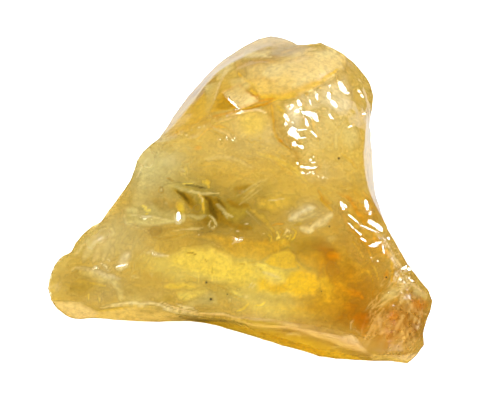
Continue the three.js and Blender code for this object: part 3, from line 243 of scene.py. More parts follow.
EDGES = np.array([            # fracture edges: the two ends, and how many passes they stay crisp
    (0, 1, 2), (0, 80, 2), (1, 2, 2), (2, 3, 2), (3, 4, 2), (4, 5, 2), (5, 6, 2), (5, 275, 2), (6, 7, 2), (7, 8, 2),
    (8, 9, 2), (9, 10, 2), (9, 271, 2), (10, 11, 2), (11, 12, 2), (12, 13, 2), (13, 14, 2), (14, 15, 2),
    (14, 272, 1), (15, 16, 2), (16, 17, 2), (16, 148, 2), (17, 18, 2), (17, 152, 3), (17, 276, 2), (18, 19, 2),
    (18, 276, 2), (19, 20, 2), (20, 21, 2), (21, 22, 2), (22, 23, 2), (23, 24, 2), (24, 25, 2), (25, 26, 2),
    (25, 262, 2), (26, 27, 2), (26, 262, 2), (27, 28, 2), (28, 29, 2), (29, 30, 2), (29, 260, 2), (30, 31, 2),
    (31, 32, 2), (31, 256, 2), (31, 260, 2), (31, 261, 2), (32, 33, 2), (32, 261, 2), (33, 34, 2), (33, 261, 2),
    (34, 35, 2), (35, 36, 2), (36, 37, 2), (37, 38, 2), (38, 39, 2), (39, 40, 2), (39, 263, 2), (40, 258, 2),
    (40, 269, 2), (41, 42, 2), (41, 258, 2), (46, 285, 2), (48, 49, 2), (48, 188, 3), (49, 50, 2), (50, 51, 2),
    (51, 52, 2), (52, 53, 2), (52, 233, 2), (52, 283, 2), (53, 54, 2), (53, 233, 2), (54, 55, 2), (54, 282, 2),
    (55, 56, 2), (56, 57, 2), (57, 58, 2), (57, 205, 2), (58, 59, 2), (58, 231, 2), (59, 60, 2), (60, 61, 2),
    (60, 103, 2), (60, 231, 2), (61, 62, 2), (62, 63, 2), (62, 101, 2), (63, 64, 2), (64, 65, 2), (65, 66, 2),
    (66, 67, 2), (67, 68, 2), (68, 69, 2), (69, 70, 2), (70, 71, 2), (71, 72, 2), (72, 73, 2), (73, 74, 2),
    (74, 75, 2), (75, 76, 2), (76, 77, 2), (77, 78, 2), (78, 79, 2), (79, 80, 2), (80, 81, 2), (80, 245, 2),
    (80, 275, 2), (81, 82, 3), (81, 104, 2), (82, 83, 3), (83, 84, 3), (84, 85, 3), (85, 86, 3), (86, 87, 3),
    (87, 88, 3), (88, 89, 3), (88, 96, 2), (89, 90, 3), (90, 91, 3), (91, 92, 3), (92, 93, 3), (93, 94, 3),
    (94, 95, 3), (95, 101, 2), (95, 102, 2), (96, 97, 2), (97, 98, 2), (98, 99, 2), (99, 100, 2), (100, 101, 2),
    (102, 103, 2), (103, 205, 2), (104, 105, 2), (108, 109, 2), (109, 110, 2), (148, 149, 2), (152, 153, 3),
    (152, 206, 3), (153, 154, 3), (154, 155, 3), (155, 156, 3), (156, 157, 3), (156, 217, 3), (156, 219, 2),
    (157, 158, 3), (158, 159, 3), (159, 160, 3), (160, 161, 3), (161, 162, 3), (162, 180, 3), (163, 164, 2),
    (164, 165, 2), (165, 166, 2), (166, 167, 2), (167, 178, 1), (178, 189, 1), (180, 181, 3), (181, 182, 3),
    (182, 183, 3), (183, 184, 3), (184, 185, 3), (185, 186, 3), (186, 187, 3), (187, 188, 3), (188, 197, 2),
    (189, 190, 1), (190, 191, 1), (191, 192, 1), (192, 193, 1), (197, 198, 2), (198, 199, 2), (199, 200, 2),
    (199, 201, 2), (201, 203, 2), (202, 204, 2), (203, 205, 2), (206, 207, 3), (207, 208, 3), (208, 209, 3),
    (208, 220, 2), (209, 210, 3), (210, 211, 3), (211, 212, 3), (212, 213, 3), (212, 228, 1), (213, 214, 3),
    (216, 217, 3), (216, 220, 2), (217, 218, 3), (218, 219, 3), (218, 222, 1), (222, 223, 1), (223, 224, 1),
    (224, 225, 1), (225, 226, 1), (226, 227, 1), (231, 232, 2), (232, 233, 2), (233, 234, 2), (234, 235, 2),
    (235, 236, 2), (236, 237, 2), (236, 258, 2), (237, 238, 2), (237, 265, 2), (238, 239, 2), (239, 240, 2),
    (240, 241, 2), (240, 259, 2), (241, 242, 2), (241, 273, 2), (241, 281, 2), (242, 243, 2), (243, 244, 2),
    (243, 271, 2), (244, 245, 2), (255, 256, 2), (255, 266, 2), (255, 267, 2), (256, 260, 1), (256, 261, 2),
    (256, 265, 1), (256, 267, 2), (257, 261, 2), (257, 263, 2), (257, 265, 2), (259, 262, 2), (261, 265, 2),
    (263, 269, 2), (265, 267, 2), (273, 274, 2), (273, 276, 2), (274, 279, 2),
])


def refine(P, T, E):
    """One pass of Loop subdivision with crisp edges, over every column of P."""
    n = len(P)
    he = np.vstack([T[:, [0, 1]], T[:, [1, 2]], T[:, [2, 0]]])
    opp = np.concatenate([T[:, 2], T[:, 0], T[:, 1]])
    key = np.sort(he, axis=1)
    code = key[:, 0].astype(np.int64) * 10_000_000 + key[:, 1]
    uniq, first, inv = np.unique(code, return_index=True, return_inverse=True)
    ends = key[first]
    sharp = np.zeros(len(uniq), int)
    if len(E):
        ecode = np.minimum(E[:, 0], E[:, 1]).astype(np.int64) * 10_000_000 + np.maximum(E[:, 0], E[:, 1])
        at = np.searchsorted(uniq, ecode)
        sharp[at] = E[:, 2]
    across = np.zeros((len(uniq), P.shape[1]))
    np.add.at(across, inv, P[opp])
    mid = 0.5 * (P[ends[:, 0]] + P[ends[:, 1]])
    new_e = np.where((sharp > 0)[:, None], mid, 0.75 * mid + 0.125 * across)
    valence = np.bincount(ends.ravel(), minlength=n).astype(float)
    around = np.zeros_like(P)
    np.add.at(around, ends[:, 0], P[ends[:, 1]])
    np.add.at(around, ends[:, 1], P[ends[:, 0]])
    c = sharp > 0
    ce = ends[c]
    ncr = np.bincount(ce.ravel(), minlength=n)
    csum = np.zeros_like(P)
    np.add.at(csum, ce[:, 0], P[ce[:, 1]])
    np.add.at(csum, ce[:, 1], P[ce[:, 0]])
    beta = np.where(valence == 3, 3 / 16, 3 / (8 * valence))[:, None]
    new_v = (1 - valence[:, None] * beta) * P + beta * around
    two = ncr == 2
    new_v[two] = 0.75 * P[two] + 0.125 * csum[two]
    many = ncr >= 3
    new_v[many] = P[many]
    at = inv + n
    m = len(T)
    ab, bc, ca = at[:m], at[m : 2 * m], at[2 * m :]
    a, b, d = T.T
    newT = np.stack([np.stack([a, ab, ca], 1), np.stack([b, bc, ab], 1), np.stack([d, ca, bc], 1), np.stack([ab, bc, ca], 1)], 1).reshape(-1, 3)
    keep = np.nonzero(sharp > 1)[0]
    newE = np.vstack([np.stack([ends[keep, 0], keep + n, sharp[keep] - 1], 1), np.stack([ends[keep, 1], keep + n, sharp[keep] - 1], 1)]) if len(keep) else np.zeros((0, 3), int)
    return np.vstack([new_v, new_e]), newT, newE


def normals_of(P, T):
    f = np.cross(P[T[:, 1]] - P[T[:, 0]], P[T[:, 2]] - P[T[:, 0]])
    n = np.zeros_like(P[:, :3])
    for k in range(3):
        np.add.at(n, T[:, k], f)
    return n / np.maximum(np.linalg.norm(n, axis=1, keepdims=True), 1e-12)


# ---- small deterministic noises, in millimetres ---------------------------------------------
def _hash(ix, iy, iz, seed):
    h = (ix.astype(np.int64) * 73856093) ^ (iy.astype(np.int64) * 19349663) ^ (iz.astype(np.int64) * 83492791) ^ (seed * 2654435761)
    h = (h ^ (h >> 13)) * 1274126177
    h = (h ^ (h >> 16)) & 0xFFFFFF
    return h / float(0xFFFFFF)


def vnoise(p, seed=0):
    """Smooth noise from -1 to 1."""
    i = np.floor(p).astype(np.int64)
    f = p - i
    u = f * f * f * (f * (f * 6 - 15) + 10)
    out = 0.0
    for dx in (0, 1):
        for dy in (0, 1):
            for dz in (0, 1):
                w = (u[:, 0] if dx else 1 - u[:, 0]) * (u[:, 1] if dy else 1 - u[:, 1]) * (u[:, 2] if dz else 1 - u[:, 2])
                gx = _hash(i[:, 0] + dx, i[:, 1] + dy, i[:, 2] + dz, seed) * 2 - 1
                gy = _hash(i[:, 0] + dx, i[:, 1] + dy, i[:, 2] + dz, seed + 11) * 2 - 1
                gz = _hash(i[:, 0] + dx, i[:, 1] + dy, i[:, 2] + dz, seed + 23) * 2 - 1
                out = out + w * (gx * (f[:, 0] - dx) + gy * (f[:, 1] - dy) + gz * (f[:, 2] - dz))
    return out * 1.2


def scallop(p, seed=0):
    """Bowl-shaped chips with sharp rims between them: 0 in a bowl's middle, about 1 on a rim."""
    i = np.floor(p).astype(np.int64)
    best = np.full(len(p), 9.0)
    for dx in (-1, 0, 1):
        for dy in (-1, 0, 1):
            for dz in (-1, 0, 1):
                c = [i[:, k] + d for k, d in enumerate((dx, dy, dz))]
                q = np.stack([c[k] + _hash(c[0], c[1], c[2], seed + 31 * k) for k in range(3)], 1)
                best = np.minimum(best, ((p - q) ** 2).sum(1))
    return np.minimum(best, 1.2)


# ---- the fine stone ---------------------------------------------------------------------------
def fine_stone(levels=4):
    P, T, E = CAGE.copy(), FACES.copy(), EDGES.copy()
    for _ in range(2):
        P, T, E = refine(P, T, E)
    q = P[:, :3].copy()
    q[q[:, 2] < 0.02, 2] = 0
    low, high = q.min(0), q.max(0)
    for _ in range(levels - 2):
        P, T, E = refine(P, T, E)
    P[P[:, 2] < 0.02, 2] = 0
    mid = np.array([(low[0] + high[0]) / 2, (low[1] + high[1]) / 2, low[2]])
    P[:, :3] = (P[:, :3] - mid) * (np.array(SIZE) / (high - low))
    return P, T


def split_where(P, T, mark):
    """Cuts the marked triangles in four, and their neighbours to fit. New points follow the surface's curve."""
    n = normals_of(P[:, :3], T)
    m = len(T)
    he = np.vstack([T[:, [0, 1]], T[:, [1, 2]], T[:, [2, 0]]])
    key = np.sort(he, axis=1)
    code = key[:, 0].astype(np.int64) * 10_000_000 + key[:, 1]
    uniq, first, inv = np.unique(code, return_index=True, return_inverse=True)
    hot = np.zeros(len(uniq), bool)
    hot[inv.reshape(3, m)[:, mark].ravel()] = True
    ends = key[first][hot]
    number = -np.ones(len(uniq), int)
    number[hot] = len(P) + np.arange(hot.sum())
    a, b = ends.T
    mid = 0.5 * (P[a] + P[b])
    bow = ((n[b] - n[a]) * (P[b, :3] - P[a, :3])).sum(1) / 8
    up = n[a] + n[b]
    up /= np.maximum(np.linalg.norm(up, axis=1, keepdims=True), 1e-9)
    mid[:, :3] += up * np.clip(bow, -0.02, 0.02)[:, None]
    E = number[inv].reshape(3, m).T
    count = (E >= 0).sum(1)
    out = [T[count == 0]]
    for k in range(3):
        r = [k, (k + 1) % 3, (k + 2) % 3]
        one = (count == 1) & (E[:, k] >= 0)
        p, q, s = T[one][:, r].T
        e = E[one][:, k]
        out += [np.stack([p, e, s], 1), np.stack([e, q, s], 1)]
        two = (count == 2) & (E[:, k] < 0)
        p, q, s = T[two][:, r].T
        eq, es = E[two][:, r[1]], E[two][:, r[2]]
        out += [np.stack([s, es, eq], 1), np.stack([p, q, eq], 1), np.stack([p, eq, es], 1)]
    full = count == 3
    p, q, s = T[full].T
    ab, bc, ca = E[full].T
    out += [np.stack([p, ab, ca], 1), np.stack([q, bc, ab], 1), np.stack([s, ca, bc], 1), np.stack([ab, bc, ca], 1)]
    return np.vstack([P, mid]), np.vstack(out)



P, T = fine_stone(3)
# the broad face, the rims and the knob get a finer skin than the back
lean = normals_of(P[:, :3], T) @ np.array([0.0, -math.cos(math.radians(42)), math.sin(math.radians(42))])
P, T = split_where(P, T, lean[T].max(1) > -0.25)
# flat little chips that mirror a lamp: x, y, z, the way the chip faces, half-length, half-width, turn, how deep (mm)
CHIPS = [
    (3.49, 1.31, 12.05, -0.203, -0.310, 0.929, 0.519, 0.323, -65, 0.04),
    (3.78, 0.75, 11.68, -0.204, -0.309, 0.929, 0.639, 0.352, -63, 0.04),
    (3.85, 0.31, 11.10, -0.204, -0.307, 0.930, 0.437, 0.169, -77, 0.03),
    (4.21, 0.16, 11.13, -0.204, -0.307, 0.930, 0.438, 0.139, -47, 0.03),
    (3.27, 1.73, 12.37, -0.203, -0.311, 0.929, 0.377, 0.169, -59, 0.03),
    (4.43, 0.70, 12.10, -0.205, -0.309, 0.929, 0.433, 0.088, 8, 0.02),
    (4.50, 0.32, 11.67, -0.205, -0.308, 0.929, 0.529, 0.073, 11, 0.02),
    (4.22, 2.54, 13.01, -0.205, -0.312, 0.928, 0.398, 0.154, -75, 0.03),
    (4.43, 1.75, 12.83, -0.205, -0.311, 0.928, 0.477, 0.132, -66, 0.03),
    (4.87, 1.61, 12.86, -0.206, -0.311, 0.928, 0.525, 0.220, -14, 0.03),
    (5.37, 1.19, 12.83, -0.206, -0.311, 0.928, 0.374, 0.176, -59, 0.03),
    (4.72, 1.01, 12.51, -0.205, -0.310, 0.928, 0.499, 0.132, -72, 0.03),
    (5.22, 0.30, 12.07, -0.206, -0.308, 0.929, 0.560, 0.088, -46, 0.02),
    (4.45, 3.23, 13.10, -0.205, -0.313, 0.927, 0.335, 0.066, 22, 0.01),
    (4.95, 2.77, 13.10, -0.206, -0.312, 0.927, 0.488, 0.059, -59, 0.01),
    (5.47, 3.53, 13.03, -0.208, -0.313, 0.927, 0.475, 0.117, -66, 0.02),
    (5.69, 3.82, 13.17, -0.208, -0.313, 0.927, 0.119, 0.073, 30, 0.01),
    (6.35, 3.56, 12.91, 0.371, -0.235, 0.899, 0.295, 0.132, -77, 0.02),
    (6.78, 3.03, 12.59, 0.371, -0.235, 0.899, 0.386, 0.132, -43, 0.02),
    (7.40, 5.25, 12.43, 0.369, -0.236, 0.899, 0.548, 0.198, -66, 0.03),
    (7.77, 4.70, 12.13, 0.369, -0.236, 0.899, 0.220, 0.081, -36, 0.015),
    (7.93, 1.45, 11.75, 0.367, -0.232, 0.901, 0.192, 0.073, 9, 0.01),
    (-1.82, 2.37, 11.72, -0.193, -0.311, 0.931, 0.515, 0.066, 11, 0.015),
    (-2.26, 2.61, 11.70, -0.193, -0.311, 0.931, 0.166, 0.059, 23, 0.01),
    (-2.84, 1.92, 11.24, -0.191, -0.310, 0.931, 0.180, 0.059, 12, 0.01),
    (-2.55, 1.84, 11.31, -0.192, -0.310, 0.931, 0.143, 0.066, -16, 0.01),
    (-4.53, 1.91, 10.67, -0.188, -0.310, 0.932, 0.187, 0.059, 9, 0.01),
    (-4.01, 1.61, 10.84, -0.189, -0.309, 0.932, 0.134, 0.066, -42, 0.01),
    (-1.74, 0.88, 10.99, -0.193, -0.309, 0.931, 0.133, 0.066, -77, 0.015),
    (-1.53, 0.92, 11.05, -0.193, -0.309, 0.931, 0.103, 0.059, -90, 0.015),
    (-1.09, 0.93, 11.14, -0.194, -0.309, 0.931, 0.187, 0.066, -90, 0.015),
    (-0.51, 0.81, 11.15, -0.195, -0.309, 0.931, 0.123, 0.053, -109, 0.015),
    (-0.58, 0.69, 11.05, -0.195, -0.308, 0.931, 0.123, 0.053, -109, 0.015),
    (-0.65, 0.70, 11.05, -0.195, -0.308, 0.931, 0.098, 0.059, -32, 0.015),
    (-0.66, 3.38, 12.39, -0.195, -0.313, 0.929, 0.616, 0.088, -41, 0.02),
    (8.68, 5.85, 11.34, 0.367, -0.236, 0.900, 0.201, 0.082, -60, 0.015),
    (8.83, 5.72, 11.06, 0.366, -0.236, 0.900, 0.201, 0.082, -60, 0.015),
    (9.04, 4.50, 10.37, 0.365, -0.233, 0.901, 0.087, 0.081, -34, 0.01),
    (4.14, -0.84, 10.17, -0.204, -0.305, 0.930, 0.266, 0.106, -46, 0.02),
    (4.43, -1.05, 10.08, -0.204, -0.305, 0.930, 0.266, 0.132, -27, 0.02),
    (4.79, -1.16, 10.07, -0.205, -0.305, 0.930, 0.265, 0.132, -9, 0.02),
    (5.23, -1.25, 10.15, -0.206, -0.304, 0.930, 0.266, 0.106, 10, 0.02),
    (5.01, -0.77, 10.60, -0.206, -0.306, 0.930, 0.175, 0.088, 46, 0.015),
    (5.15, -0.73, 10.75, -0.206, -0.306, 0.930, 0.180, 0.088, 17, 0.015),
    (5.23, -1.01, 10.43, -0.206, -0.305, 0.930, 0.169, 0.081, 7, 0.01),
    (4.43, -1.44, 9.83, -0.204, -0.304, 0.931, 0.219, 0.066, -33, 0.01),
    (4.79, -1.53, 9.82, -0.205, -0.304, 0.930, 0.172, 0.059, 20, 0.01),
    (5.01, -1.50, 9.89, -0.205, -0.304, 0.930, 0.163, 0.073, -1, 0.01),
    (5.22, -1.59, 9.87, -0.206, -0.304, 0.930, 0.172, 0.059, -22, 0.01),
    (5.59, -1.81, 9.78, -0.206, -0.303, 0.930, 0.259, 0.047, -23, 0.01),
    (5.95, -1.91, 9.77, -0.207, -0.303, 0.930, 0.259, 0.047, -13, 0.01),
    (5.01, -0.82, 10.54, -0.206, -0.305, 0.930, 0.166, 0.103, 55, 0.02),
    (9.39, -6.56, 6.17, 0.360, -0.215, 0.908, 0.128, 0.053, -79, 0.01),
    (9.46, -6.75, 6.05, 0.360, -0.215, 0.908, 0.128, 0.053, -79, 0.01),
    (9.83, -6.73, 6.03, 0.359, -0.215, 0.908, 0.126, 0.059, -51, 0.01),
    (10.66, -4.86, 6.48, 0.358, -0.218, 0.908, 0.158, 0.073, -60, 0.01),
    (11.80, -6.64, 5.26, 0.355, -0.214, 0.910, 0.272, 0.117, 17, 0.015),
    (12.10, -6.50, 5.03, 0.355, -0.214, 0.910, 0.181, 0.095, -56, 0.015),
    (12.22, -7.31, 4.80, 0.354, -0.213, 0.911, 0.164, 0.076, -45, 0.015),
    (12.37, -7.38, 4.66, 0.354, -0.213, 0.911, 0.164, 0.076, -48, 0.015),
    (11.77, -7.99, 5.04, 0.355, -0.212, 0.910, 0.159, 0.066, -65, 0.01),
    (11.19, -7.63, 5.39, 0.356, -0.213, 0.910, 0.128, 0.066, -51, 0.01),
    (11.47, -7.90, 5.25, 0.355, -0.213, 0.910, 0.139, 0.066, -45, 0.01),
    (10.60, -8.76, 4.78, 0.357, -0.211, 0.910, 0.071, 0.066, -31, 0.01),
    (11.53, -8.79, 4.80, 0.355, -0.211, 0.911, 0.096, 0.073, -36, 0.01),
    (12.54, -10.31, 3.07, 0.470, -0.262, 0.843, 0.182, 0.123, 7, 0.02),
    (12.78, -9.99, 2.76, 0.463, -0.252, 0.850, 0.182, 0.123, -3, 0.02),
    (12.62, -10.30, 2.76, 0.490, -0.276, 0.827, 0.170, 0.103, -43, 0.015),
    (12.32, -10.75, 2.98, 0.515, -0.310, 0.799, 0.203, 0.059, -54, 0.01),
    (10.95, -9.59, 4.27, -0.215, -0.287, 0.933, 0.093, 0.066, -45, 0.01),
    (-10.69, -5.60, 4.20, -0.174, -0.294, 0.940, 0.155, 0.059, -4, 0.01),
    (-10.47, -5.62, 4.21, -0.175, -0.294, 0.940, 0.155, 0.059, -4, 0.01),
    (7.32, -3.51, 8.47, 0.365, -0.222, 0.904, 0.401, 0.191, -76, 0.03),
    (7.54, -3.43, 8.41, 0.365, -0.222, 0.904, 0.189, 0.110, -80, 0.02),
    (9.08, -2.89, 8.02, 0.362, -0.222, 0.905, 0.447, 0.161, -83, 0.03),
    (8.11, -4.20, 7.83, 0.364, -0.220, 0.905, 0.577, 0.081, -43, 0.02),
    (9.27, -4.63, 7.24, 0.361, -0.219, 0.906, 0.866, 0.073, -20, 0.02),
    (9.50, -4.10, 7.35, 0.361, -0.219, 0.907, 0.438, 0.205, -43, 0.03),
    (9.93, -4.38, 7.11, 0.361, -0.219, 0.907, 0.421, 0.176, -47, 0.03),
    (7.82, -4.53, 7.64, 0.363, -0.219, 0.906, 0.176, 0.073, -22, 0.01),
    (8.47, -5.07, 7.25, 0.363, -0.219, 0.906, 0.362, 0.110, -50, 0.02),
    (8.03, -4.71, 7.51, 0.363, -0.219, 0.906, 0.191, 0.081, -40, 0.02),
    (8.82, -5.45, 6.92, 0.362, -0.217, 0.907, 0.249, 0.147, -35, 0.02),
    (9.55, -5.82, 6.66, 0.359, -0.217, 0.908, 0.399, 0.161, 12, 0.03),
    (9.91, -5.43, 6.61, 0.359, -0.217, 0.908, 0.357, 0.139, 17, 0.02),
    (10.27, -5.91, 6.36, 0.359, -0.217, 0.908, 0.453, 0.095, -88, 0.02),
    (-4.57, -3.22, 7.14, -0.186, -0.300, 0.936, 0.441, 0.191, -81, 0.02),
    (-6.91, -3.11, 6.84, -0.182, -0.300, 0.936, 0.542, 0.051, -9, 0.008),
    (-0.43, -4.66, 6.29, -0.194, -0.297, 0.935, 0.306, 0.081, -35, 0.01),
    (0.00, -4.81, 6.33, -0.194, -0.297, 0.935, 0.290, 0.059, 31, 0.01),
    (-0.21, -4.31, 6.76, -0.195, -0.298, 0.935, 0.072, 0.066, 0, 0.01),
    (-8.72, -5.54, 4.44, -0.178, -0.294, 0.939, 0.449, 0.088, 11, 0.01),
    (-6.46, -5.01, 5.14, -0.182, -0.296, 0.938, 0.308, 0.059, -31, 0.01),
]
for reach, brim in ((1.45, 0.08), (1.38, 0.02)):     # finer triangles on the chips and round them
    C3 = P[T, :3].mean(1)
    mark = np.zeros(len(T), bool)
    for cx, cy, cz, nx, ny, nz, rx, ry, turn, sink in CHIPS:
        near = np.flatnonzero(((C3 - np.array([cx, cy, cz])) ** 2).sum(1) < (reach * rx + 0.1) ** 2)
        q = C3[near] - np.array([cx, cy, cz])
        q = np.stack([q[:, 0], q[:, 1] * math.sin(math.radians(42)) + q[:, 2] * math.cos(math.radians(42))], 1)
        a, b = math.cos(math.radians(turn)), math.sin(math.radians(turn))
        r = np.hypot((q[:, 0] * a + q[:, 1] * b) / (reach * rx + brim), (-q[:, 0] * b + q[:, 1] * a) / (reach * ry + brim))
        mark[near[r < 1]] = True
    P, T = split_where(P, T, mark)
N = normals_of(P[:, :3], T)
frost, hackle, ripple = P[:, 3], P[:, 4], P[:, 5]
X = P[:, :3]
lift = np.clip((X[:, 2] - 0.05) / 0.5, 0, 1)      # nothing moves where it rests on the table
d = np.zeros(len(X))
d += ripple * (0.7 * vnoise(X / 2.6, 3) + 0.4 * vnoise(X / 1.1, 5))
warp = np.stack([vnoise(X / 1.4, s) for s in (41, 43, 47)], 1)
patch = np.clip(0.65 + 0.9 * vnoise(X / 2.4, 17), 0.15, 1.4)          # hackly and quieter patches
d += hackle * patch * (1.15 * scallop(X / 1.55 + 0.45 * warp, 7) - 0.35)
d += hackle * patch * 0.5 * (scallop(X / 0.62 + 0.5 * warp, 9) - 0.4)
d += 0.003 * vnoise(X / 0.45, 13)

# hairline grooves between the fracture facets: half-width, depth (mm), edge colour, strength, path in the slope frame;
# the dark edge colours are painted shade, the deeper colour that refraction shows along each edge, and the pale ones a
# clearer tint
SEAMS = [
    (0.2, 0.07, (0.8, 0.52, 0.14), 0.4, ((-5.05, 9.22), (-4.09, 9.58), (-3.21, 10.01), (-2.26, 10.22), (-1.38, 10.59), (-0.44, 10.80), (0.37, 10.94), (1.24, 11.23), (2.11, 11.45))),
    (0.34, 0.05, (0.87, 0.66, 0.25), 0.3, ((1.24, 11.75), (2.11, 11.97), (3.06, 12.19), (4.08, 12.33), (5.03, 12.63), (5.77, 13.09), (6.52, 13.70), (7.13, 14.31))),
    (0.11, 0.05, (0.86, 0.54, 0.11), 0.44, ((-1.47, 12.23), (-0.88, 12.52), (-0.22, 12.81), (0.51, 12.27), (1.31, 11.60), (0.58, 11.23), (-0.22, 10.94), (-0.80, 11.55), (-1.47, 12.23))),
    (0.28, 0.07, (0.76, 0.47, 0.12), 0.36, ((1.89, 11.38), (2.19, 10.57), (2.55, 9.77), (3.06, 9.12), (3.56, 8.46), (4.00, 7.87))),
    (0.2, 0.05, (0.99, 0.93, 0.84), 0.8, ((-3.61, 11.60), (-3.17, 12.28), (-2.67, 13.04), (-1.94, 13.96), (-0.98, 14.72), (-0.08, 15.15))),
    (0.16, 0.05, (0.95, 0.85, 0.58), 0.8, ((7.36, 14.63), (7.79, 13.66), (8.23, 12.40), (8.58, 10.92), (8.75, 9.42), (8.74, 7.96), (8.73, 6.64), (8.95, 5.48))),
    (0.14, 0.08, (0.87, 0.56, 0.11), 0.33, ((4.00, 7.51), (4.21, 7.00), (4.65, 6.56), (5.23, 6.49), (5.59, 6.78))),
    (0.22, 0.03, (0.97, 0.9, 0.7), 0.6, ((-2.56, 10.45), (-2.34, 11.27), (-2.06, 12.24), (-1.70, 13.30), (-1.11, 14.20))),
    (0.1, 0.04, (0.8, 0.47, 0.09), 0.33, ((-0.22, 12.81), (0.66, 13.10), (1.53, 13.24), (2.56, 13.08))),
    (0.15, 0.04, (0.85, 0.62, 0.25), 0.6, ((-0.37, 14.19), (0.66, 14.63), (1.69, 14.60), (2.86, 14.44), (4.04, 14.75), (5.22, 15.05))),
    (0.33, 0, (0.82, 0.6, 0.38), 0.55, ((3.11, -4.94), (4.27, -5.00), (5.42, -5.21), (6.57, -5.57), (7.58, -5.93), (8.44, -6.35), (9.02, -6.72))),
]
# the lip: the broad face's lower edge, in the slope frame
LIP = np.array([(-13.80, -2.40), (-12.06, -2.81), (-10.24, -2.95), (-8.05, -3.16), (-5.51, -3.44), (-2.97, -3.58), (-0.79, -3.79), (1.38, -4.14), (4.27, -4.56), (6.42, -5.28), (8.58, -6.13), (11.61, -7.00)])


def away(p, path):
    """Distance of each point from a path of straight pieces."""
    best = np.full(len(p), 1e9)
    path = np.array(path)
    for a, b in zip(path[:-1], path[1:]):
        e = b - a
        t = np.clip(((p - a) @ e) / (e @ e), 0, 1)
        best = np.minimum(best, np.hypot(*(p - a - t[:, None] * e).T))
    return best


slope = np.stack([X[:, 0], X[:, 1] * math.sin(math.radians(42)) + X[:, 2] * math.cos(math.radians(42))], 1)
facing = N @ np.array([0.0, -math.cos(math.radians(42)), math.sin(math.radians(42))])
jitter = np.stack([vnoise(X / 0.9, 53), vnoise(X / 0.9, 59)], 1) * 0.16
for half, deep, edge_tint_and_shade, strength, path in SEAMS:
    near = away(slope + jitter, path)
    d -= deep * np.exp(-((near / half) ** 2)) * np.clip(facing * 4, 0, 1)
# broken crests: half-width, how rough (mm), frost, path
CRESTS = [
    (0.62, 0.022, 0.4, [(-6.94, 7.75), (-5.91, 8.33), (-5.03, 8.77), (-4.01, 9.28), (-2.99, 9.79), (-2.11, 10.08)]),
    (0.36, 0.022, 0.4, [(-1.97, 10.15), (-0.65, 10.58), (0.66, 10.87), (1.97, 11.30)]),
    (0.85, 0.012, 0.15, [(4.74, 12.34), (5.92, 13.16), (6.74, 13.70), (7.28, 14.32)]),
    (0.6, 0.015, 0.2, [(0.80, 11.31), (1.53, 11.74), (2.11, 12.19), (2.55, 12.78)]),
    (0.6, 0.02, 1.3, [(-7.67, 7.97), (-7.30, 7.53), (-6.93, 7.24)]),
    (0.5, 0.02, 1.2, [(-11.00, 1.18), (-10.49, 1.55), (-9.98, 1.91)]),
]
for half, amount, matt, path in CRESTS:
    near = np.exp(-((away(slope + jitter, path) / half) ** 2))
    d += near * amount * (vnoise(X / 0.34, 301) + 0.7 * vnoise(X / 0.17, 303))
    frost = frost + matt * near * (0.8 + 0.5 * vnoise(X / 0.30, 307))
frost = np.clip(frost, 0, 1)
# the low left corner is a little fuller than the cage
d += 0.26 * np.exp(-((away(slope, [
    (-13.22, -0.21), (-13.97, -1.53), (-14.02, -2.69), (-13.34, -3.70), (-12.47, -4.07)
]) / 0.9) ** 2))
# bruised edges that have lost their polish: half-width, path
DULL = [
    (1.1, [(-7.38, 7.90), (-6.21, 8.26), (-5.03, 8.69), (-4.01, 9.13), (-2.99, 9.42), (-2.11, 9.85)]),
    (0.5, [(0.66, 10.94), (1.53, 11.30), (2.40, 11.67)]),
    (0.9, [(1.53, 11.82), (2.12, 12.56), (3.14, 12.78)]),
    (1.1, [(4.45, 12.85), (6.15, 13.84), (7.67, 14.87)]),
]
dull = np.zeros(len(X))
for half, path in DULL:
    dull = np.maximum(dull, np.exp(-((away(slope + jitter, path) / half) ** 2)) * np.clip(facing * 4, 0, 1))
rough_edge = 0.22 * vnoise(X / 0.55, 23) + 0.16 * vnoise(X / 0.22, 29) + 0.10 * vnoise(X / 0.10, 37)
fine_grain = 0.0035 * vnoise(X / 0.16, 31)
for cx, cy, cz, nx, ny, nz, rx, ry, turn, sink in CHIPS:
    c, n = np.array([cx, cy, cz]), np.array([nx, ny, nz])
    q = slope - np.array([cx, cy * math.sin(math.radians(42)) + cz * math.cos(math.radians(42))])
    near = (np.abs(q).max(1) < 1.5 * rx) & (N @ n > 0.3)
    near[near] = np.linalg.norm(X[near] - c, axis=1) < 3.0
    if not near.any():
        continue
    q = q[near]
    a, b = math.cos(math.radians(turn)), math.sin(math.radians(turn))
    r = np.hypot((q[:, 0] * a + q[:, 1] * b) / rx, (-q[:, 0] * b + q[:, 1] * a) / ry) + rough_edge[near]
    t = np.clip((1.30 - r) / 0.38, 0, 1)
    win = t * t * (3 - 2 * t)
    h = ((c - X[near]) @ n) / (N[near] @ n) - sink
    d[near] = d[near] * (1 - win) + win * (np.clip(h, -0.28, 0.14) + 0.06 * d[near] + fine_grain[near])

X = X + N * (d * lift)[:, None]
X[:, 2] = np.maximum(X[:, 2], 0)

mesh = bpy.data.meshes.new("sapphire")
mesh.from_pydata((X * MM).tolist(), [], T.tolist())
mesh.update()
mesh.polygons.foreach_set("use_smooth", np.ones(len(T), bool))
att = mesh.attributes.new("frost", "FLOAT", "POINT")
att.data.foreach_set("value", frost.astype(np.float32))
att = mesh.attributes.new("hackle", "FLOAT", "POINT")
att.data.foreach_set("value", (hackle / 0.15).astype(np.float32))
sapphire = bpy.data.objects.new("sapphire", mesh)
bpy.context.scene.collection.objects.link(sapphire)
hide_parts("stone")
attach(sapphire, "root")

# ============================================================================================
# 2. Colour zones of the crystal, with painted glow and painted shade among them
# ============================================================================================
# The broad face's own frame: right, up the slope, out of it (a fixed turn about X).
TILT = math.radians(42.0)
RIGHT = np.array([1.0, 0.0, 0.0])
UP = np.array([0.0, math.sin(TILT), math.cos(TILT)])
OUT = np.array([0.0, -math.cos(TILT), math.sin(TILT)])


def smooth(x, lo, hi):
    t = np.clip((x - lo) / (hi - lo), 0, 1)
    return t * t * (3 - 2 * t)


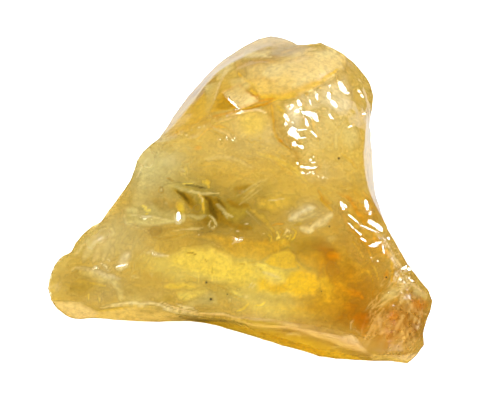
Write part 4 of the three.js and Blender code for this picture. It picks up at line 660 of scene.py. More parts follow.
def slope_xy(P):
    return np.stack([P @ RIGHT, P @ UP], 1)


def wander(p, seed=0, big=0.55, fine=0.22):
    """Shifts points about, so that the soft zones get natural, cloudy borders."""
    q = np.column_stack([p, np.full(len(p), 1.3 * seed)])
    dx = big * vnoise(q / 3.1, 61 + seed) + fine * vnoise(q / 0.9, 67 + seed)
    dy = big * vnoise(q / 3.1, 71 + seed) + fine * vnoise(q / 0.9, 77 + seed)
    return p + np.stack([dx, dy], 1) * 2


def blob_at(p, x, y, rx, ry, turn, soft=0.85):
    c, s = math.cos(math.radians(turn)), math.sin(math.radians(turn))
    q = p - np.array([x, y])
    a = (q[:, 0] * c + q[:, 1] * s) / rx
    b = (-q[:, 0] * s + q[:, 1] * c) / ry
    return 1 - smooth(np.hypot(a, b), 1 - soft, 1.0)


def lay(p, zones, base):
    """Soft clouds of colour (or of one number) laid over each other."""
    out = np.tile(np.atleast_1d(np.array(base, float)), (len(p), 1))
    for x, y, rx, ry, turn, value, strength in zones:
        f = (blob_at(p, x, y, rx, ry, turn) * strength)[:, None]
        out = out * (1 - f) + f * np.atleast_1d(np.array(value, float))
    return out


# x, y (slope frame, mm), half-widths (mm), turn (degrees), colour as seen, strength
ZONES = [
    # the pale grey-green upper left: partly a milky veil inside, partly painted sheen of the broad face
    (-5.90, 6.36, 3.67, 3.08, -0, (0.533, 0.508, 0.271), 0.9),
    (-8.80, 1.41, 3.37, 2.79, -0, (0.525, 0.492, 0.257), 0.7),
    (-6.62, 3.22, 2.93, 1.61, -0, (0.36, 0.318, 0.184), 0.7),
    # the dark olive middle: the next four zones are partly the crystal's own olive colour and partly painted shade
    # where little light reaches the thick middle
    (-0.94, 3.44, 5.86, 2.93, -8, (0.234, 0.181, 0.0426), 0.95),
    (-3.34, 4.90, 3.23, 1.47, -10, (0.349, 0.305, 0.11), 0.7),
    (-1.88, 3.01, 1.61, 1.91, -0, (0.088, 0.0569, 0.00772), 0.85),
    (4.28, 0.84, 4.54, 1.91, -10, (0.329, 0.215, 0.0242), 0.8),
    # painted glow: the next three bright zones stand for light from below shining up through the thin lower middle
    (1.53, -1.19, 8.06, 1.91, -9, (1, 0.904, 0.242), 1),
    (-4.43, -0.62, 4.40, 1.47, -4, (1, 0.88, 0.212), 0.8),
    (1.38, -3.14, 5.13, 1.17, -8, (1, 0.923, 0.258), 0.7),
    (7.52, -2.19, 4.54, 4.54, -0, (0.365, 0.197, 0.0236), 0.95),
    (6.59, 0.26, 1.76, 1.32, -0, (0.346, 0.123, 0.00149), 0.8),
    (8.44, -4.48, 2.20, 1.61, -0, (0.317, 0.138, 0.00452), 0.8),
    (11.44, -4.32, 3.30, 2.93, -0, (0.193, 0.082, 0.0062), 0.8),
    (1.09, 8.68, 3.81, 2.49, -0, (0.561, 0.466, 0.21), 0.8),
    (-2.11, 7.95, 2.20, 1.17, -0, (0.617, 0.49, 0.193), 0.5),
    (5.01, 9.75, 3.08, 3.67, -0, (0.581, 0.489, 0.233), 0.85),
    (3.59, 13.98, 5.13, 2.49, -0, (0.274, 0.242, 0.206), 0.9),
    (-2.28, 12.02, 2.49, 1.91, -0, (0.176, 0.0953, 0.0125), 0.8),
    (-10.60, -1.86, 3.67, 1.76, -0, (0.378, 0.329, 0.174), 0.7),
    (5.00, 3.23, 2.64, 1.17, -0, (0.346, 0.334, 0.224), 0.7),
    (5.73, 6.13, 2.20, 1.47, -0, (0.554, 0.452, 0.222), 0.6),
    (2.11, 4.89, 2.05, 0.88, 10, (0.279, 0.251, 0.0782), 0.6),
    (7.76, 5.18, 1.03, 1.61, 10, (0.333, 0.271, 0.0888), 0.6),
    (8.77, 3.23, 2.05, 4.10, -25, (0.36, 0.2, 0.03), 0.8),
    (6.09, 14.45, 1.91, 1.61, -0, (0.2, 0.172, 0.13), 0.7),
]
# the same for how much the cloud inside hides
HAZE = [
    (1.53, -1.34, 5.86, 1.61, -9, 0.72, 0.9),
]
# and for the stain of the skin
STAIN = [
    (-5.90, 6.36, 4.40, 3.67, -0, (0.97, 0.95, 0.76), 0.9),
    (7.52, -2.19, 5.13, 4.84, -0, (0.97, 0.72, 0.25), 0.9),
    (11.08, -4.68, 4.03, 3.67, -0, (0.96, 0.62, 0.2), 0.9),
    (1.53, -1.19, 6.96, 1.61, -9, (1, 0.95, 0.62), 0.85),
    (-12.06, -1.86, 3.08, 2.49, -0, (0.84, 0.68, 0.25), 0.9),
    (-2.69, 14.77, 4.40, 1.03, 40, (0.98, 0.93, 0.85), 1),
    (8.75, 11.67, 1.03, 5.13, -0, (0.98, 0.93, 0.8), 1),
]


def buried(colour):
    """The paint that looks like `colour` when it sits inside a crystal, where light is turned back many times."""
    c = np.clip(np.array(colour, float), 0, 1)
    return c / (0.39 + 0.61 * c)


def colour_attribute(me, name, rgb):
    a = me.attributes.new(name, "FLOAT_COLOR", "POINT")
    a.data.foreach_set("color", np.column_stack([rgb, np.ones(len(rgb))]).astype(np.float32).ravel())


def number_attribute(me, name, v):
    a = me.attributes.new(name, "FLOAT", "POINT")
    a.data.foreach_set("value", np.asarray(v, np.float32).ravel())


skin_p = wander(slope_xy(X), 3)
skin_tint = lay(skin_p, STAIN, (0.97, 0.91, 0.70))
# below the lip the crystal is clear and golden; along it runs a frosted, pinkish band
over = slope[:, 1] - np.interp(slope[:, 0], LIP[:, 0], LIP[:, 1]) + 0.10 * vnoise(X / 0.8, 83)
under = smooth(-over, 0.05, 0.35) * smooth(facing, -0.2, 0.1)
west = smooth(-slope[:, 0], 1.5, 6.0)[:, None]
skin_tint = skin_tint * (1 - under[:, None]) + under[:, None] * ((1 - west) * np.array((0.90, 0.72, 0.22)) + west * np.array((0.94, 0.82, 0.46)))
rim = smooth(-facing, -0.55, 0.0) * smooth(facing, -0.75, -0.30)
low_left = np.clip(smooth(-slope[:, 0], 2.0, 6.0) * smooth(-slope[:, 1], -6.5, -4.0) + smooth(-slope[:, 1], -3.0, -1.0), 0, 1)
f = (0.75 * rim * low_left)[:, None]
skin_tint = skin_tint * (1 - f) + f * np.array((0.84, 0.66, 0.30))
# painted shade: the dark seam colours darken the skin along the fracture edges, where refraction shows a deeper colour;
# the pale ones tint it clearer
for half, deep, edge_tint_and_shade, strength, path in SEAMS:
    f = (strength * np.exp(-((away(slope + jitter, path) / (1.3 * half)) ** 2)) * np.clip(facing * 4, 0, 1))[:, None]
    skin_tint = skin_tint * (1 - f) + f * np.array(edge_tint_and_shade)
colour_attribute(mesh, "tint", skin_tint)
number_attribute(mesh, "dull", dull)


# ============================================================================================
# 3. Materials
# ============================================================================================
def material(name):
    m = bpy.data.materials.new(name)
    m.use_nodes = True
    m.node_tree.nodes.clear()
    return m


class Net:
    """A small helper that adds nodes and wires them."""

    def __init__(self, m):
        self.t = m.node_tree
        self.out = self.node("ShaderNodeOutputMaterial")
        self.pos = self.node("ShaderNodeTexCoord").outputs["Object"]

    def node(self, kind, **props):
        n = self.t.nodes.new(kind)
        for k, v in props.items():
            setattr(n, k, v)
        return n

    def put(self, socket, value):
        if isinstance(value, bpy.types.NodeSocket):
            self.t.links.new(value, socket)
        elif isinstance(value, (tuple, list)) and len(value) == 3 and socket.type == "RGBA":
            socket.default_value = (*value, 1)
        else:
            socket.default_value = value

    def math(self, op, a, b=0.0, c=None, clamp=False):
        n = self.node("ShaderNodeMath", operation=op, use_clamp=clamp)
        self.put(n.inputs[0], a)
        self.put(n.inputs[1], b)
        if c is not None:
            self.put(n.inputs[2], c)
        return n.outputs[0]

    def vmath(self, op, a, b):
        n = self.node("ShaderNodeVectorMath", operation=op)
        self.put(n.inputs[0], a)
        self.put(n.inputs[1], b)
        return n.outputs["Value"] if op in ("LENGTH", "DISTANCE", "DOT_PRODUCT") else n.outputs["Vector"]

    def ramp(self, x, lo, hi, a=0.0, b=1.0):
        n = self.node("ShaderNodeMapRange", interpolation_type="SMOOTHSTEP")
        for s, v in zip(("Value", "From Min", "From Max", "To Min", "To Max"), (x, lo, hi, a, b)):
            self.put(n.inputs[s], v)
        return n.outputs["Result"]

    def blob(self, centre_mm, radii_mm, soft=1.0, wobble=None, turn=0.0):
        """1 in the middle of an ellipsoid, falling softly to 0 at its surface."""
        p = self.pos if wobble is None else wobble
        p = self.vmath("SUBTRACT", p, tuple(v * MM for v in centre_mm))
        if turn:
            r = self.node("ShaderNodeVectorRotate", rotation_type="AXIS_ANGLE")
            r.inputs["Axis"].default_value = (-0.109, -0.642, 0.759)
            r.inputs["Angle"].default_value = turn
            self.put(r.inputs["Vector"], p)
            p = r.outputs["Vector"]
        p = self.vmath("DIVIDE", p, tuple(v * MM for v in radii_mm))
        n = self.node("ShaderNodeVectorMath", operation="LENGTH")
        self.put(n.inputs[0], p)
        return self.ramp(n.outputs["Value"], 1.0 - soft, 1.0, 1.0, 0.0)

    def noise(self, scale, detail=3.0, rough=0.55, vector=None, dims="3D"):
        n = self.node("ShaderNodeTexNoise")
        self.put(n.inputs["Vector"], vector or self.pos)
        n.inputs["Scale"].default_value = scale
        n.inputs["Detail"].default_value = detail
        n.inputs["Roughness"].default_value = rough
        return n

    def mix(self, f, a, b, blend="MIX"):
        n = self.node("ShaderNodeMix", data_type="RGBA", blend_type=blend)
        self.put(n.inputs["Factor"], f)
        self.put(n.inputs[6], a)
        self.put(n.inputs[7], b)
        return n.outputs[2]


def sapphire_material():
    m = material("yellow_sapphire")
    w = Net(m)
    frost = w.node("ShaderNodeAttribute", attribute_name="frost").outputs["Fac"]
    hackle_a = w.node("ShaderNodeAttribute", attribute_name="hackle").outputs["Fac"]
    # body tint, zoned through the crystal
    col = w.node("ShaderNodeAttribute", attribute_name="tint").outputs["Color"]
    bsdf = w.node("ShaderNodeBsdfPrincipled")
    w.put(bsdf.inputs["Base Color"], col)
    fine = w.noise(2200.0, 4.0, 0.6).outputs["Fac"]
    rough = w.math("MULTIPLY_ADD", frost, 0.42, 0.015)
    rough = w.math("MULTIPLY_ADD", w.math("MULTIPLY", hackle_a, fine), 0.25, rough, clamp=True)
    w.put(bsdf.inputs["Roughness"], rough)
    # a bruised edge gives back no lamp
    polish = w.ramp(w.node("ShaderNodeAttribute", attribute_name="dull").outputs["Fac"], 0.12, 0.45, 1.0, 0.0)
    dim = w.node("ShaderNodeCombineColor")
    for k in range(3):
        w.put(dim.inputs[k], polish)
    w.put(bsdf.inputs["Specular Tint"], dim.outputs["Color"])
    bsdf.inputs["IOR"].default_value = 1.60
    bsdf.inputs["Transmission Weight"].default_value = 1.0
    # fine surface relief
    b1 = w.node("ShaderNodeBump")
    b1.inputs["Strength"].default_value = 0.25
    b1.inputs["Distance"].default_value = 0.00003
    w.put(b1.inputs["Height"], w.noise(1500.0, 5.0, 0.6).outputs["Fac"])
    w.put(bsdf.inputs["Normal"], b1.outputs["Normal"])
    vol = w.node("ShaderNodeVolumeAbsorption")
    vol.inputs["Color"].default_value = (0.96, 0.83, 0.20, 1)
    vol.inputs["Density"].default_value = 70.0
    w.t.links.new(bsdf.outputs["BSDF"], w.out.inputs["Surface"])
    w.t.links.new(vol.outputs["Volume"], w.out.inputs["Volume"])
    return m


mesh.materials.append(sapphire_material())


# ============================================================================================
# 4. What is sealed in the crystal
# ============================================================================================
from mathutils.bvhtree import BVHTree

skin = BVHTree.FromPolygons([Vector(v) for v in X], T.tolist())


def march(x, y):
    """A straight line into the stone, square to the slope frame: how far out it enters and leaves, or None."""
    o = Vector(RIGHT * x + UP * y + OUT * 60.0)
    way = Vector(-OUT)
    hit = skin.ray_cast(o, way, 200.0)
    if hit[0] is None:
        return None
    first = last = hit[3]
    p = hit[0] + way * 1e-3
    for _ in range(8):
        h = skin.ray_cast(p, way, 200.0)
        if h[0] is None:
            break
        last = (o - h[0]).length
        if h[1].dot(way) > 0:
            break
        p = h[0] + way * 1e-3
    return 60.0 - first, 60.0 - last


STEP = 0.10
GX = np.arange(-14.4, 14.4, STEP)
GY = np.arange(-8.4, 17.6, STEP)
FRONT = np.full((len(GY), len(GX)), np.nan)
BACK = FRONT.copy()
for j, y in enumerate(GY):
    for i, x in enumerate(GX):
        h = march(x, y)
        if h:
            FRONT[j, i], BACK[j, i] = h


def blurred(a, n):
    m = ~np.isnan(a)
    v = np.where(m, a, 0.0)
    w = m.astype(float)
    for _ in range(n):
        for ax in (0, 1):
            v = (np.roll(v, 1, ax) + v + np.roll(v, -1, ax)) / 3
            w = (np.roll(w, 1, ax) + w + np.roll(w, -1, ax)) / 3
    return np.where(m, v / np.maximum(w, 1e-6), np.nan)


SOFT = blurred(FRONT, 44)
INSIDE = ~np.isnan(FRONT)


def spread(a, n):
    v = a.astype(float)
    for _ in range(n):
        for ax in (0, 1):
            v = (np.roll(v, 1, ax) + v + np.roll(v, -1, ax)) / 3
    return v


EDGE = spread(INSIDE, 8)                     # 1 well inside the outline, 0.5 on it


def link(obj):
    bpy.context.scene.collection.objects.link(obj)
    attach(obj, "root")
    return obj


def sheet_mesh(name, deep, share, seed=0, wave=0.35, every=1):
    """A cloud that hangs roughly parallel to the broad face, `deep` mm (or `share` of the thickness) under it."""
    gx, gy = np.meshgrid(GX[::every], GY[::every])
    front, back, soft, edge = (a[::every, ::every] for a in (FRONT, BACK, SOFT, EDGE))
    flat = np.stack([gx.ravel() / 4.0, gy.ravel() / 4.0, np.full(gx.size, seed * 3.7)], 1)
    und = (vnoise(flat, seed) + 0.5 * vnoise(flat * 2.7, seed + 5)).reshape(gx.shape)
    thick = front - back
    if callable(deep):
        z = front - deep(gx, gy) * (1 + wave * und)
    else:
        z = blurred(np.maximum(soft - deep * (1 + wave * und), front - share * thick), 2)
    z = np.clip(z, front - 0.75 * thick, front - np.minimum(0.22, 0.3 * thick))
    ok = ~np.isnan(front) & (thick > 0.25) & (edge > 0.52)
    idx = -np.ones(gx.shape, int)
    idx[ok] = np.arange(ok.sum())
    pts = RIGHT[None] * gx[ok][:, None] + UP[None] * gy[ok][:, None] + OUT[None] * z[ok][:, None]
    corner = np.stack([idx[:-1, :-1], idx[:-1, 1:], idx[1:, 1:], idx[1:, :-1]], -1).reshape(-1, 4)
    zz = np.stack([z[:-1, :-1], z[:-1, 1:], z[1:, 1:], z[1:, :-1]], -1).reshape(-1, 4)
    with np.errstate(invalid="ignore"):
        quads = corner[(corner.min(1) >= 0) & (zz.max(1) - zz.min(1) < (0.7 if every == 1 else 1.5))]
    used, flatq = np.unique(quads, return_inverse=True)
    me = bpy.data.meshes.new(name)
    me.from_pydata((pts[used] * MM).tolist(), [], flatq.reshape(-1, 4).tolist())
    me.update()
    me.polygons.foreach_set("use_smooth", np.ones(len(quads), bool))
    fade = smooth(edge[ok][used], 0.50, 0.66) * smooth(thick[ok][used], 0.2, 0.6)
    return me, pts[used], fade


def veil_material(name, scale, stretch, seed, lo, hi, translucent=0.5):
    """Cloudy sheet: clear where it is thin, milky where it is thick, in the colours of its zone."""
    m = material(name)
    w = Net(m)
    tone = w.node("ShaderNodeAttribute", attribute_name="tone").outputs["Color"]
    veil = w.node("ShaderNodeAttribute", attribute_name="veil").outputs["Fac"]
    turn = w.node("ShaderNodeVectorRotate", rotation_type="AXIS_ANGLE")
    turn.inputs["Axis"].default_value = tuple(OUT)
    turn.inputs["Angle"].default_value = math.radians(-14.0 + 11 * seed)
    w.put(turn.inputs["Vector"], w.pos)
    sv = w.vmath("MULTIPLY", turn.outputs["Vector"], (scale, scale * stretch, scale * stretch))
    n = w.node("ShaderNodeTexNoise")
    w.put(n.inputs["Vector"], w.vmath("ADD", sv, (seed * 7.3, seed * 3.1, seed * 1.7)))
    n.inputs["Scale"].default_value = 1.0
    n.inputs["Detail"].default_value = 6.0
    n.inputs["Roughness"].default_value = 0.6
    n.inputs["Distortion"].default_value = 0.8
    a = w.ramp(n.outputs["Fac"], lo, hi, 0.0, 1.0)
    # thick parts of the veil stay closed, thin parts open with the noise
    alpha = w.math("MULTIPLY", w.math("ADD", w.math("MULTIPLY", veil, 2.0), w.math("SUBTRACT", a, 1.0), clamp=True), 1.0)
    dif = w.node("ShaderNodeBsdfDiffuse")
    w.put(dif.inputs["Color"], tone)
    tra = w.node("ShaderNodeBsdfTranslucent")
    w.put(tra.inputs["Color"], tone)
    mx = w.node("ShaderNodeMixShader")
    mx.inputs[0].default_value = translucent
    w.t.links.new(dif.outputs[0], mx.inputs[1])
    w.t.links.new(tra.outputs[0], mx.inputs[2])
    clear = w.node("ShaderNodeBsdfTransparent")
    top = w.node("ShaderNodeMixShader")
    w.put(top.inputs[0], alpha)
    w.t.links.new(clear.outputs[0], top.inputs[1])
    w.t.links.new(mx.outputs[0], top.inputs[2])
    w.t.links.new(top.outputs[0], w.out.inputs["Surface"])
    return m


def mottles(p, seed):
    """Cloudy structure from coarse to fine, drawn out along the growth bands."""
    out = np.zeros(len(p))
    for k, (size, amount) in enumerate(((2.6, 0.5), (1.1, 0.8), (0.5, 0.8), (0.26, 0.55))):
        q = np.column_stack([p[:, 0] / size * 0.75, p[:, 1] / size * 1.3, np.full(len(p), seed * 2.1 + k)])
        out += amount * vnoise(q, seed + 90 + 6 * k)
    return out


# ---- colours of what is inside, and of the painted glow and glints, as the eye sees them (sRGB) ---
def seen(r, g, b):
    c = np.array([r, g, b], float)
    return np.where(c <= 0.04045, c / 12.92, ((c + 0.055) / 1.055) ** 2.4)


SAND = seen(0.91, 0.78, 0.48)
WHITE, CREAM, PALE, PINK, CHIP = seen(1, 1, 0.93), seen(0.93, 0.87, 0.64), seen(0.80, 0.76, 0.50), seen(0.91, 0.79, 0.58), seen(0.93, 0.83, 0.58)
LEMON, YELLOW, GOLD, AMBER = seen(1.0, 0.90, 0.38), seen(0.96, 0.80, 0.24), seen(0.86, 0.69, 0.22), seen(0.80, 0.59, 0.14)
ORANGE, RUST, BROWN, OLIVE = seen(0.84, 0.49, 0.05), seen(0.68, 0.40, 0.05), seen(0.50, 0.38, 0.08), seen(0.58, 0.50, 0.17)
HONEY, STRAW, RESIN = seen(0.85, 0.70, 0.36), seen(0.91, 0.80, 0.55), seen(0.78, 0.62, 0.25)
# painted glow: the two brightest golds stand for light from below shining up through the thin lower part
PAINTED_GLOW_PALE, PAINTED_GLOW_GOLD = seen(1.0, 0.86, 0.34), seen(1.0, 0.77, 0.20)
GREY, SLATE, DARK, INK = seen(0.66, 0.62, 0.38), seen(0.45, 0.41, 0.23), seen(0.30, 0.24, 0.05), seen(0.20, 0.16, 0.05)

# feathers, healed cracks, growth planes and small facets inside, with painted glints, painted shadows and a painted
# glow among them, laid one over the other:
# S tapered line, T even line, P patch, B blot; colour, strength, half-width (mm), softness, points in the slope frame (mm)
MARKS = [
    ("P", SAND, 0.715, 0.220, 0.5, ((0.36, 14.17), (1.54, 14.45), (3.01, 14.90), (4.79, 15.53), (6.71, 15.83), (7.67, 15.25), (7.72, 14.18), (6.51, 13.10), (5.18, 12.49), (3.72, 12.04), (2.11, 11.89), (1.09, 11.75), (0.51, 12.65))),
    ("P", CREAM, 0.65, 0.147, 0.5, ((1.46, 13.54), (2.12, 14.29), (3.60, 14.83), (5.15, 15.21), (6.78, 15.46), (7.36, 14.78), (7.34, 14.02), (6.07, 13.39), (5.26, 13.01), (4.23, 12.63), (3.06, 12.56), (2.12, 12.86))),
    ("P", PALE, 0.65, 0.220, 0.8, ((-0.23, 15.16), (0.81, 15.42), (2.28, 15.38), (1.98, 14.91), (0.66, 14.63), (0.07, 14.49))),
    ("P", AMBER, 0.585, 0.220, 0.8, ((0.66, 14.78), (1.98, 14.75), (3.16, 15.14), (4.35, 15.70), (5.68, 16.06), (6.56, 15.98), (5.23, 15.52), (3.60, 15.06), (2.12, 14.44), (1.10, 14.31))),
    ("S", AMBER, 0.91, 0.257, 0.8, ((-0.22, 13.73), (0.36, 12.80), (1.09, 12.04), (2.11, 11.74), (3.28, 11.96), (4.45, 12.26), (5.62, 12.79), (6.81, 13.55))),
    ("S", GOLD, 0.91, 0.220, 0.8, ((0.66, 12.35), (1.82, 11.82), (3.13, 11.82), (4.59, 12.19), (5.92, 12.87), (6.97, 13.78))),
    ("S", RUST, 0.715, 0.103, 0.8, ((-0.07, 11.02), (0.95, 11.38), (1.82, 11.67), (2.55, 11.74))),
    ("S", BROWN, 0.455, 0.088, 0.8, ((-0.22, 13.57), (0.36, 12.95), (1.09, 12.19), (1.53, 11.74))),
    ("S", YELLOW, 0.65, 0.110, 0.8, ((0.22, 13.26), (0.95, 12.64), (1.68, 12.11))),
    ("S", CREAM, 0.78, 0.088, 0.8, ((1.39, 14.76), (1.83, 14.91), (2.27, 14.83))),
    ("S", BROWN, 0.39, 0.073, 0.8, ((0.66, 14.17), (1.54, 14.30), (2.27, 14.44))),
    ("P", AMBER, 0.975, 0.110, 0.4, ((-1.91, 11.79), (-1.47, 12.23), (-0.22, 10.98), (-2.19, 10.67))),
    ("P", BROWN, 0.455, 0.110, 0.6, ((-1.91, 11.71), (-1.47, 12.08), (-0.36, 11.02), (-2.12, 10.71))),
    ("P", BROWN, 0.715, 0.132, 0.7, ((-3.74, 10.77), (-3.02, 11.96), (-2.65, 12.48), (-2.50, 11.95), (-2.71, 11.20), (-3.15, 10.46), (-3.73, 10.02))),
    ("P", GOLD, 0.78, 0.147, 0.6, ((-4.17, 9.88), (-3.45, 11.07), (-2.72, 12.26), (-2.27, 11.34), (-2.56, 10.45), (-3.28, 9.86))),
    ("P", PALE, 0.845, 0.147, 0.5, ((-2.73, 12.71), (-2.14, 13.00), (-1.55, 12.91), (-1.83, 11.86), (-2.34, 10.75), (-2.63, 10.68), (-2.57, 11.65))),
    ("S", PINK, 1, 0.059, 0.7, ((-5.35, 9.37), (-4.62, 10.07), (-3.90, 10.96), (-3.31, 11.82), (-2.58, 12.86), (-1.56, 13.99))),
    ("S", CREAM, 0.78, 0.073, 0.7, ((-2.41, 10.67), (-2.05, 11.34), (-1.84, 12.09), (-1.62, 12.99))),
    ("P", PALE, 0.65, 0.147, 0.7, ((-1.72, 14.29), (-0.38, 14.65), (-0.37, 14.04), (-1.25, 13.29), (-1.99, 12.85))),
    ("P", CHIP, 1, 0.066, 0.3, ((-1.49, 12.22), (-0.29, 12.83), (1.39, 11.55), (-0.12, 10.92))),
    ("S", RUST, 0.78, 0.066, 0.6, ((-0.22, 12.81), (0.36, 12.35), (0.88, 11.90), (1.39, 11.52))),
    ("S", BROWN, 0.65, 0.088, 0.6, ((0.66, 12.80), (1.09, 12.34), (1.31, 11.75))),
    ("B", RUST, 0.78, 0.00, 0.8, ((1.24, 11.89), (0.147, 0.220, -0))),
    ("B", BROWN, 0.91, 0.00, 0.8, ((-0.04, 11.80), (0.081, 0.095, -0))),
    ("S", GOLD, 1, 0.103, 0.6, ((-0.29, 10.87), (0.80, 11.09), (1.82, 11.38), (2.70, 11.67))),
    ("S", RUST, 0.78, 0.073, 0.8, ((-0.14, 10.80), (0.80, 11.01), (1.53, 11.30), (2.26, 11.60))),
    ("S", ORANGE, 0.585, 0.117, 0.8, ((-2.12, 10.37), (-1.24, 10.58), (-0.22, 10.87))),
    ("S", PINK, 0.78, 0.088, 0.6, ((-0.14, 10.65), (0.44, 10.79), (1.02, 10.87), (1.53, 10.87), (1.82, 10.72))),
    ("S", PINK, 0.65, 0.073, 0.8, ((-1.67, 10.07), (-1.09, 10.22), (-0.36, 10.43))),
    ("P", SAND, 0.562, 0.220, 0.7, ((-0.87, 10.07), (0.07, 10.58), (1.53, 10.79), (2.04, 10.35), (2.18, 9.55), (2.40, 8.68), (1.97, 8.24), (0.95, 8.53), (-0.07, 8.82), (-0.80, 9.34))),
    ("P", YELLOW, 0.275, 0.367, 0.9, ((-0.22, 10.28), (1.09, 10.57), (1.68, 9.99), (1.53, 9.11), (0.37, 9.11))),
    ("S", AMBER, 0.75, 0.191, 0.9, ((2.19, 11.30), (2.19, 10.43), (2.26, 9.63), (2.55, 8.90), (3.13, 8.39), (3.71, 7.88))),
    ("S", BROWN, 0.625, 0.103, 0.8, ((2.55, 9.26), (2.84, 8.68), (3.27, 8.24), (3.71, 7.95))),
    ("S", BROWN, 0.562, 0.059, 0.8, ((3.42, 8.17), (3.71, 7.88), (4.00, 7.58))),
    ("B", ORANGE, 0.688, 0.00, 0.8, ((2.91, 8.61), (0.293, 0.183, -20))),
    ("B", OLIVE, 0.75, 0.00, 0.8, ((1.38, 8.86), (0.161, 0.147, -0))),
    ("S", OLIVE, 0.875, 0.059, 0.6, ((0.44, 8.82), (0.73, 8.57), (1.09, 8.68))),
    ("S", PINK, 0.625, 0.059, 0.6, ((2.04, 9.55), (2.33, 9.12))),
    ("B", ORANGE, 0.688, 0.00, 0.9, ((-3.13, 8.17), (0.440, 0.293, -0))),
    ("S", AMBER, 0.625, 0.117, 0.8, ((-3.28, 8.69), (-2.55, 9.42), (-1.67, 9.71), (-0.94, 9.56))),
    ("S", RUST, 0.562, 0.073, 0.8, ((-2.41, 9.86), (-1.67, 9.56), (-1.09, 9.26), (-0.65, 8.82))),
    ("S", RUST, 0.438, 0.073, 0.8, ((-1.82, 9.93), (-1.09, 9.63), (-0.51, 9.19))),
    ("S", CREAM, 0.438, 0.220, 0.9, ((-2.69, 7.37), (-1.38, 7.51), (-0.07, 7.22), (0.80, 6.78))),
    ("S", YELLOW, 0.5, 0.220, 0.9, ((1.09, 7.95), (2.55, 7.36), (3.99, 6.35), (5.15, 5.33))),
    ("S", OLIVE, 0.5, 0.059, 0.6, ((-1.96, 7.30), (-1.09, 7.15), (-0.36, 6.86), (0.08, 6.64))),
    ("S", OLIVE, 0.438, 0.051, 0.6, ((-1.09, 7.73), (0.22, 7.44), (1.53, 7.22), (2.25, 6.64))),
    ("S", AMBER, 0.5, 0.059, 0.6, ((1.53, 7.80), (2.25, 7.22), (3.12, 6.49))),
    ("S", AMBER, 0.5, 0.059, 0.6, ((1.24, 8.24), (1.96, 7.66), (2.69, 6.93), (3.27, 6.35))),
    # the pale clouds of the upper left: partly a milky veil, partly painted sheen of the broad face
    ("B", PALE, 0.625, 0.00, 1, ((-6.63, 6.36), (2.492, 1.173, 38))),
    ("B", PALE, 0.562, 0.00, 1, ((-7.35, 4.61), (1.906, 1.026, 60))),
    ("B", CREAM, 0.438, 0.00, 1, ((-5.02, 7.23), (1.319, 0.733, 20))),
    ("B", BROWN, 0.5, 0.00, 0.9, ((-7.08, 6.87), (0.293, 0.147, 50))),
    ("B", YELLOW, 0.625, 0.00, 0.9, ((-4.00, 6.50), (0.293, 0.586, -0))),
    ("B", OLIVE, 0.375, 0.00, 1, ((-1.96, 6.50), (0.367, 0.586, -0))),
    ("B", OLIVE, 0.375, 0.00, 1, ((-4.73, 6.64), (0.440, 0.733, -20))),
    ("S", CREAM, 0.625, 0.088, 0.7, ((-7.58, 5.92), (-7.15, 6.80), (-6.64, 7.53))),
    ("S", CREAM, 0.625, 0.110, 0.8, ((-4.44, 6.64), (-4.00, 6.35))),
    ("S", BROWN, 0.438, 0.059, 0.7, ((-8.38, 4.61), (-7.80, 5.92), (-7.22, 6.94))),
    ("P", OLIVE, 0.88, 0.367, 0.9, ((-5.02, 5.19), (-4.14, 4.90), (-3.27, 4.61), (-2.25, 4.75), (-1.38, 4.46), (-0.07, 4.60), (0.80, 4.02), (0.66, 3.30), (-0.21, 2.72), (-1.37, 2.43), (-2.54, 2.57), (-3.56, 3.30), (-4.28, 4.02))),
    ("P", OLIVE, 0.72, 0.440, 0.9, ((-5.75, 5.48), (-4.73, 5.77), (-3.27, 5.48), (-1.96, 5.04), (-2.54, 4.31), (-3.99, 4.46), (-5.16, 4.61))),
    ("P", BROWN, 0.96, 0.220, 0.8, ((-4.72, 4.90), (-4.14, 4.97), (-3.41, 4.61), (-2.97, 4.02), (-2.97, 3.44), (-3.56, 3.73), (-4.14, 4.31))),
    ("P", BROWN, 0.96, 0.220, 0.8, ((-2.68, 4.61), (-1.96, 4.46), (-1.09, 4.17), (-1.08, 3.44), (-1.52, 2.72), (-2.10, 2.72), (-2.25, 3.59))),
    ("P", DARK, 0.64, 0.220, 0.8, ((-2.32, 4.17), (-1.81, 4.02), (-1.67, 3.30), (-1.96, 2.86), (-2.17, 3.44))),
    ("P", DARK, 0.56, 0.220, 0.8, ((-4.43, 4.82), (-3.85, 4.68), (-3.41, 4.17), (-3.70, 4.02), (-4.14, 4.39))),
    ("P", BROWN, 0.64, 0.367, 0.9, ((-3.26, 3.15), (-1.81, 3.15), (-0.94, 2.72), (-1.08, 1.99), (-2.54, 1.99), (-3.55, 2.43))),
    ("P", OLIVE, 0.64, 0.513, 0.9, ((-0.65, 5.33), (0.37, 5.77), (1.24, 5.62), (1.09, 4.89), (0.22, 4.31), (-0.50, 4.46))),
    ("S", BROWN, 1, 0.264, 0.8, ((-4.87, 5.04), (-4.21, 4.75), (-3.78, 4.24), (-3.63, 3.73))),
    ("S", DARK, 0.88, 0.176, 0.8, ((-4.80, 5.04), (-4.14, 4.68), (-3.70, 4.10))),
    ("S", BROWN, 1, 0.403, 0.8, ((-2.98, 4.75), (-2.25, 4.39), (-2.03, 3.59), (-1.59, 2.79))),
    ("S", DARK, 1, 0.249, 0.8, ((-2.68, 4.61), (-2.18, 4.17), (-2.03, 3.44), (-1.74, 2.86))),
    ("S", BROWN, 1, 0.308, 0.8, ((-1.74, 4.53), (-1.38, 3.88), (-1.52, 3.15), (-0.94, 2.50))),
    ("S", DARK, 0.8, 0.161, 0.8, ((-1.59, 4.39), (-1.30, 3.81), (-1.45, 3.15))),
    ("S", BROWN, 0.96, 0.293, 0.8, ((-0.94, 4.39), (-0.21, 4.02), (0.58, 4.10))),
    ("S", BROWN, 0.8, 0.220, 0.8, ((-0.50, 5.04), (0.37, 5.33), (0.95, 5.62))),
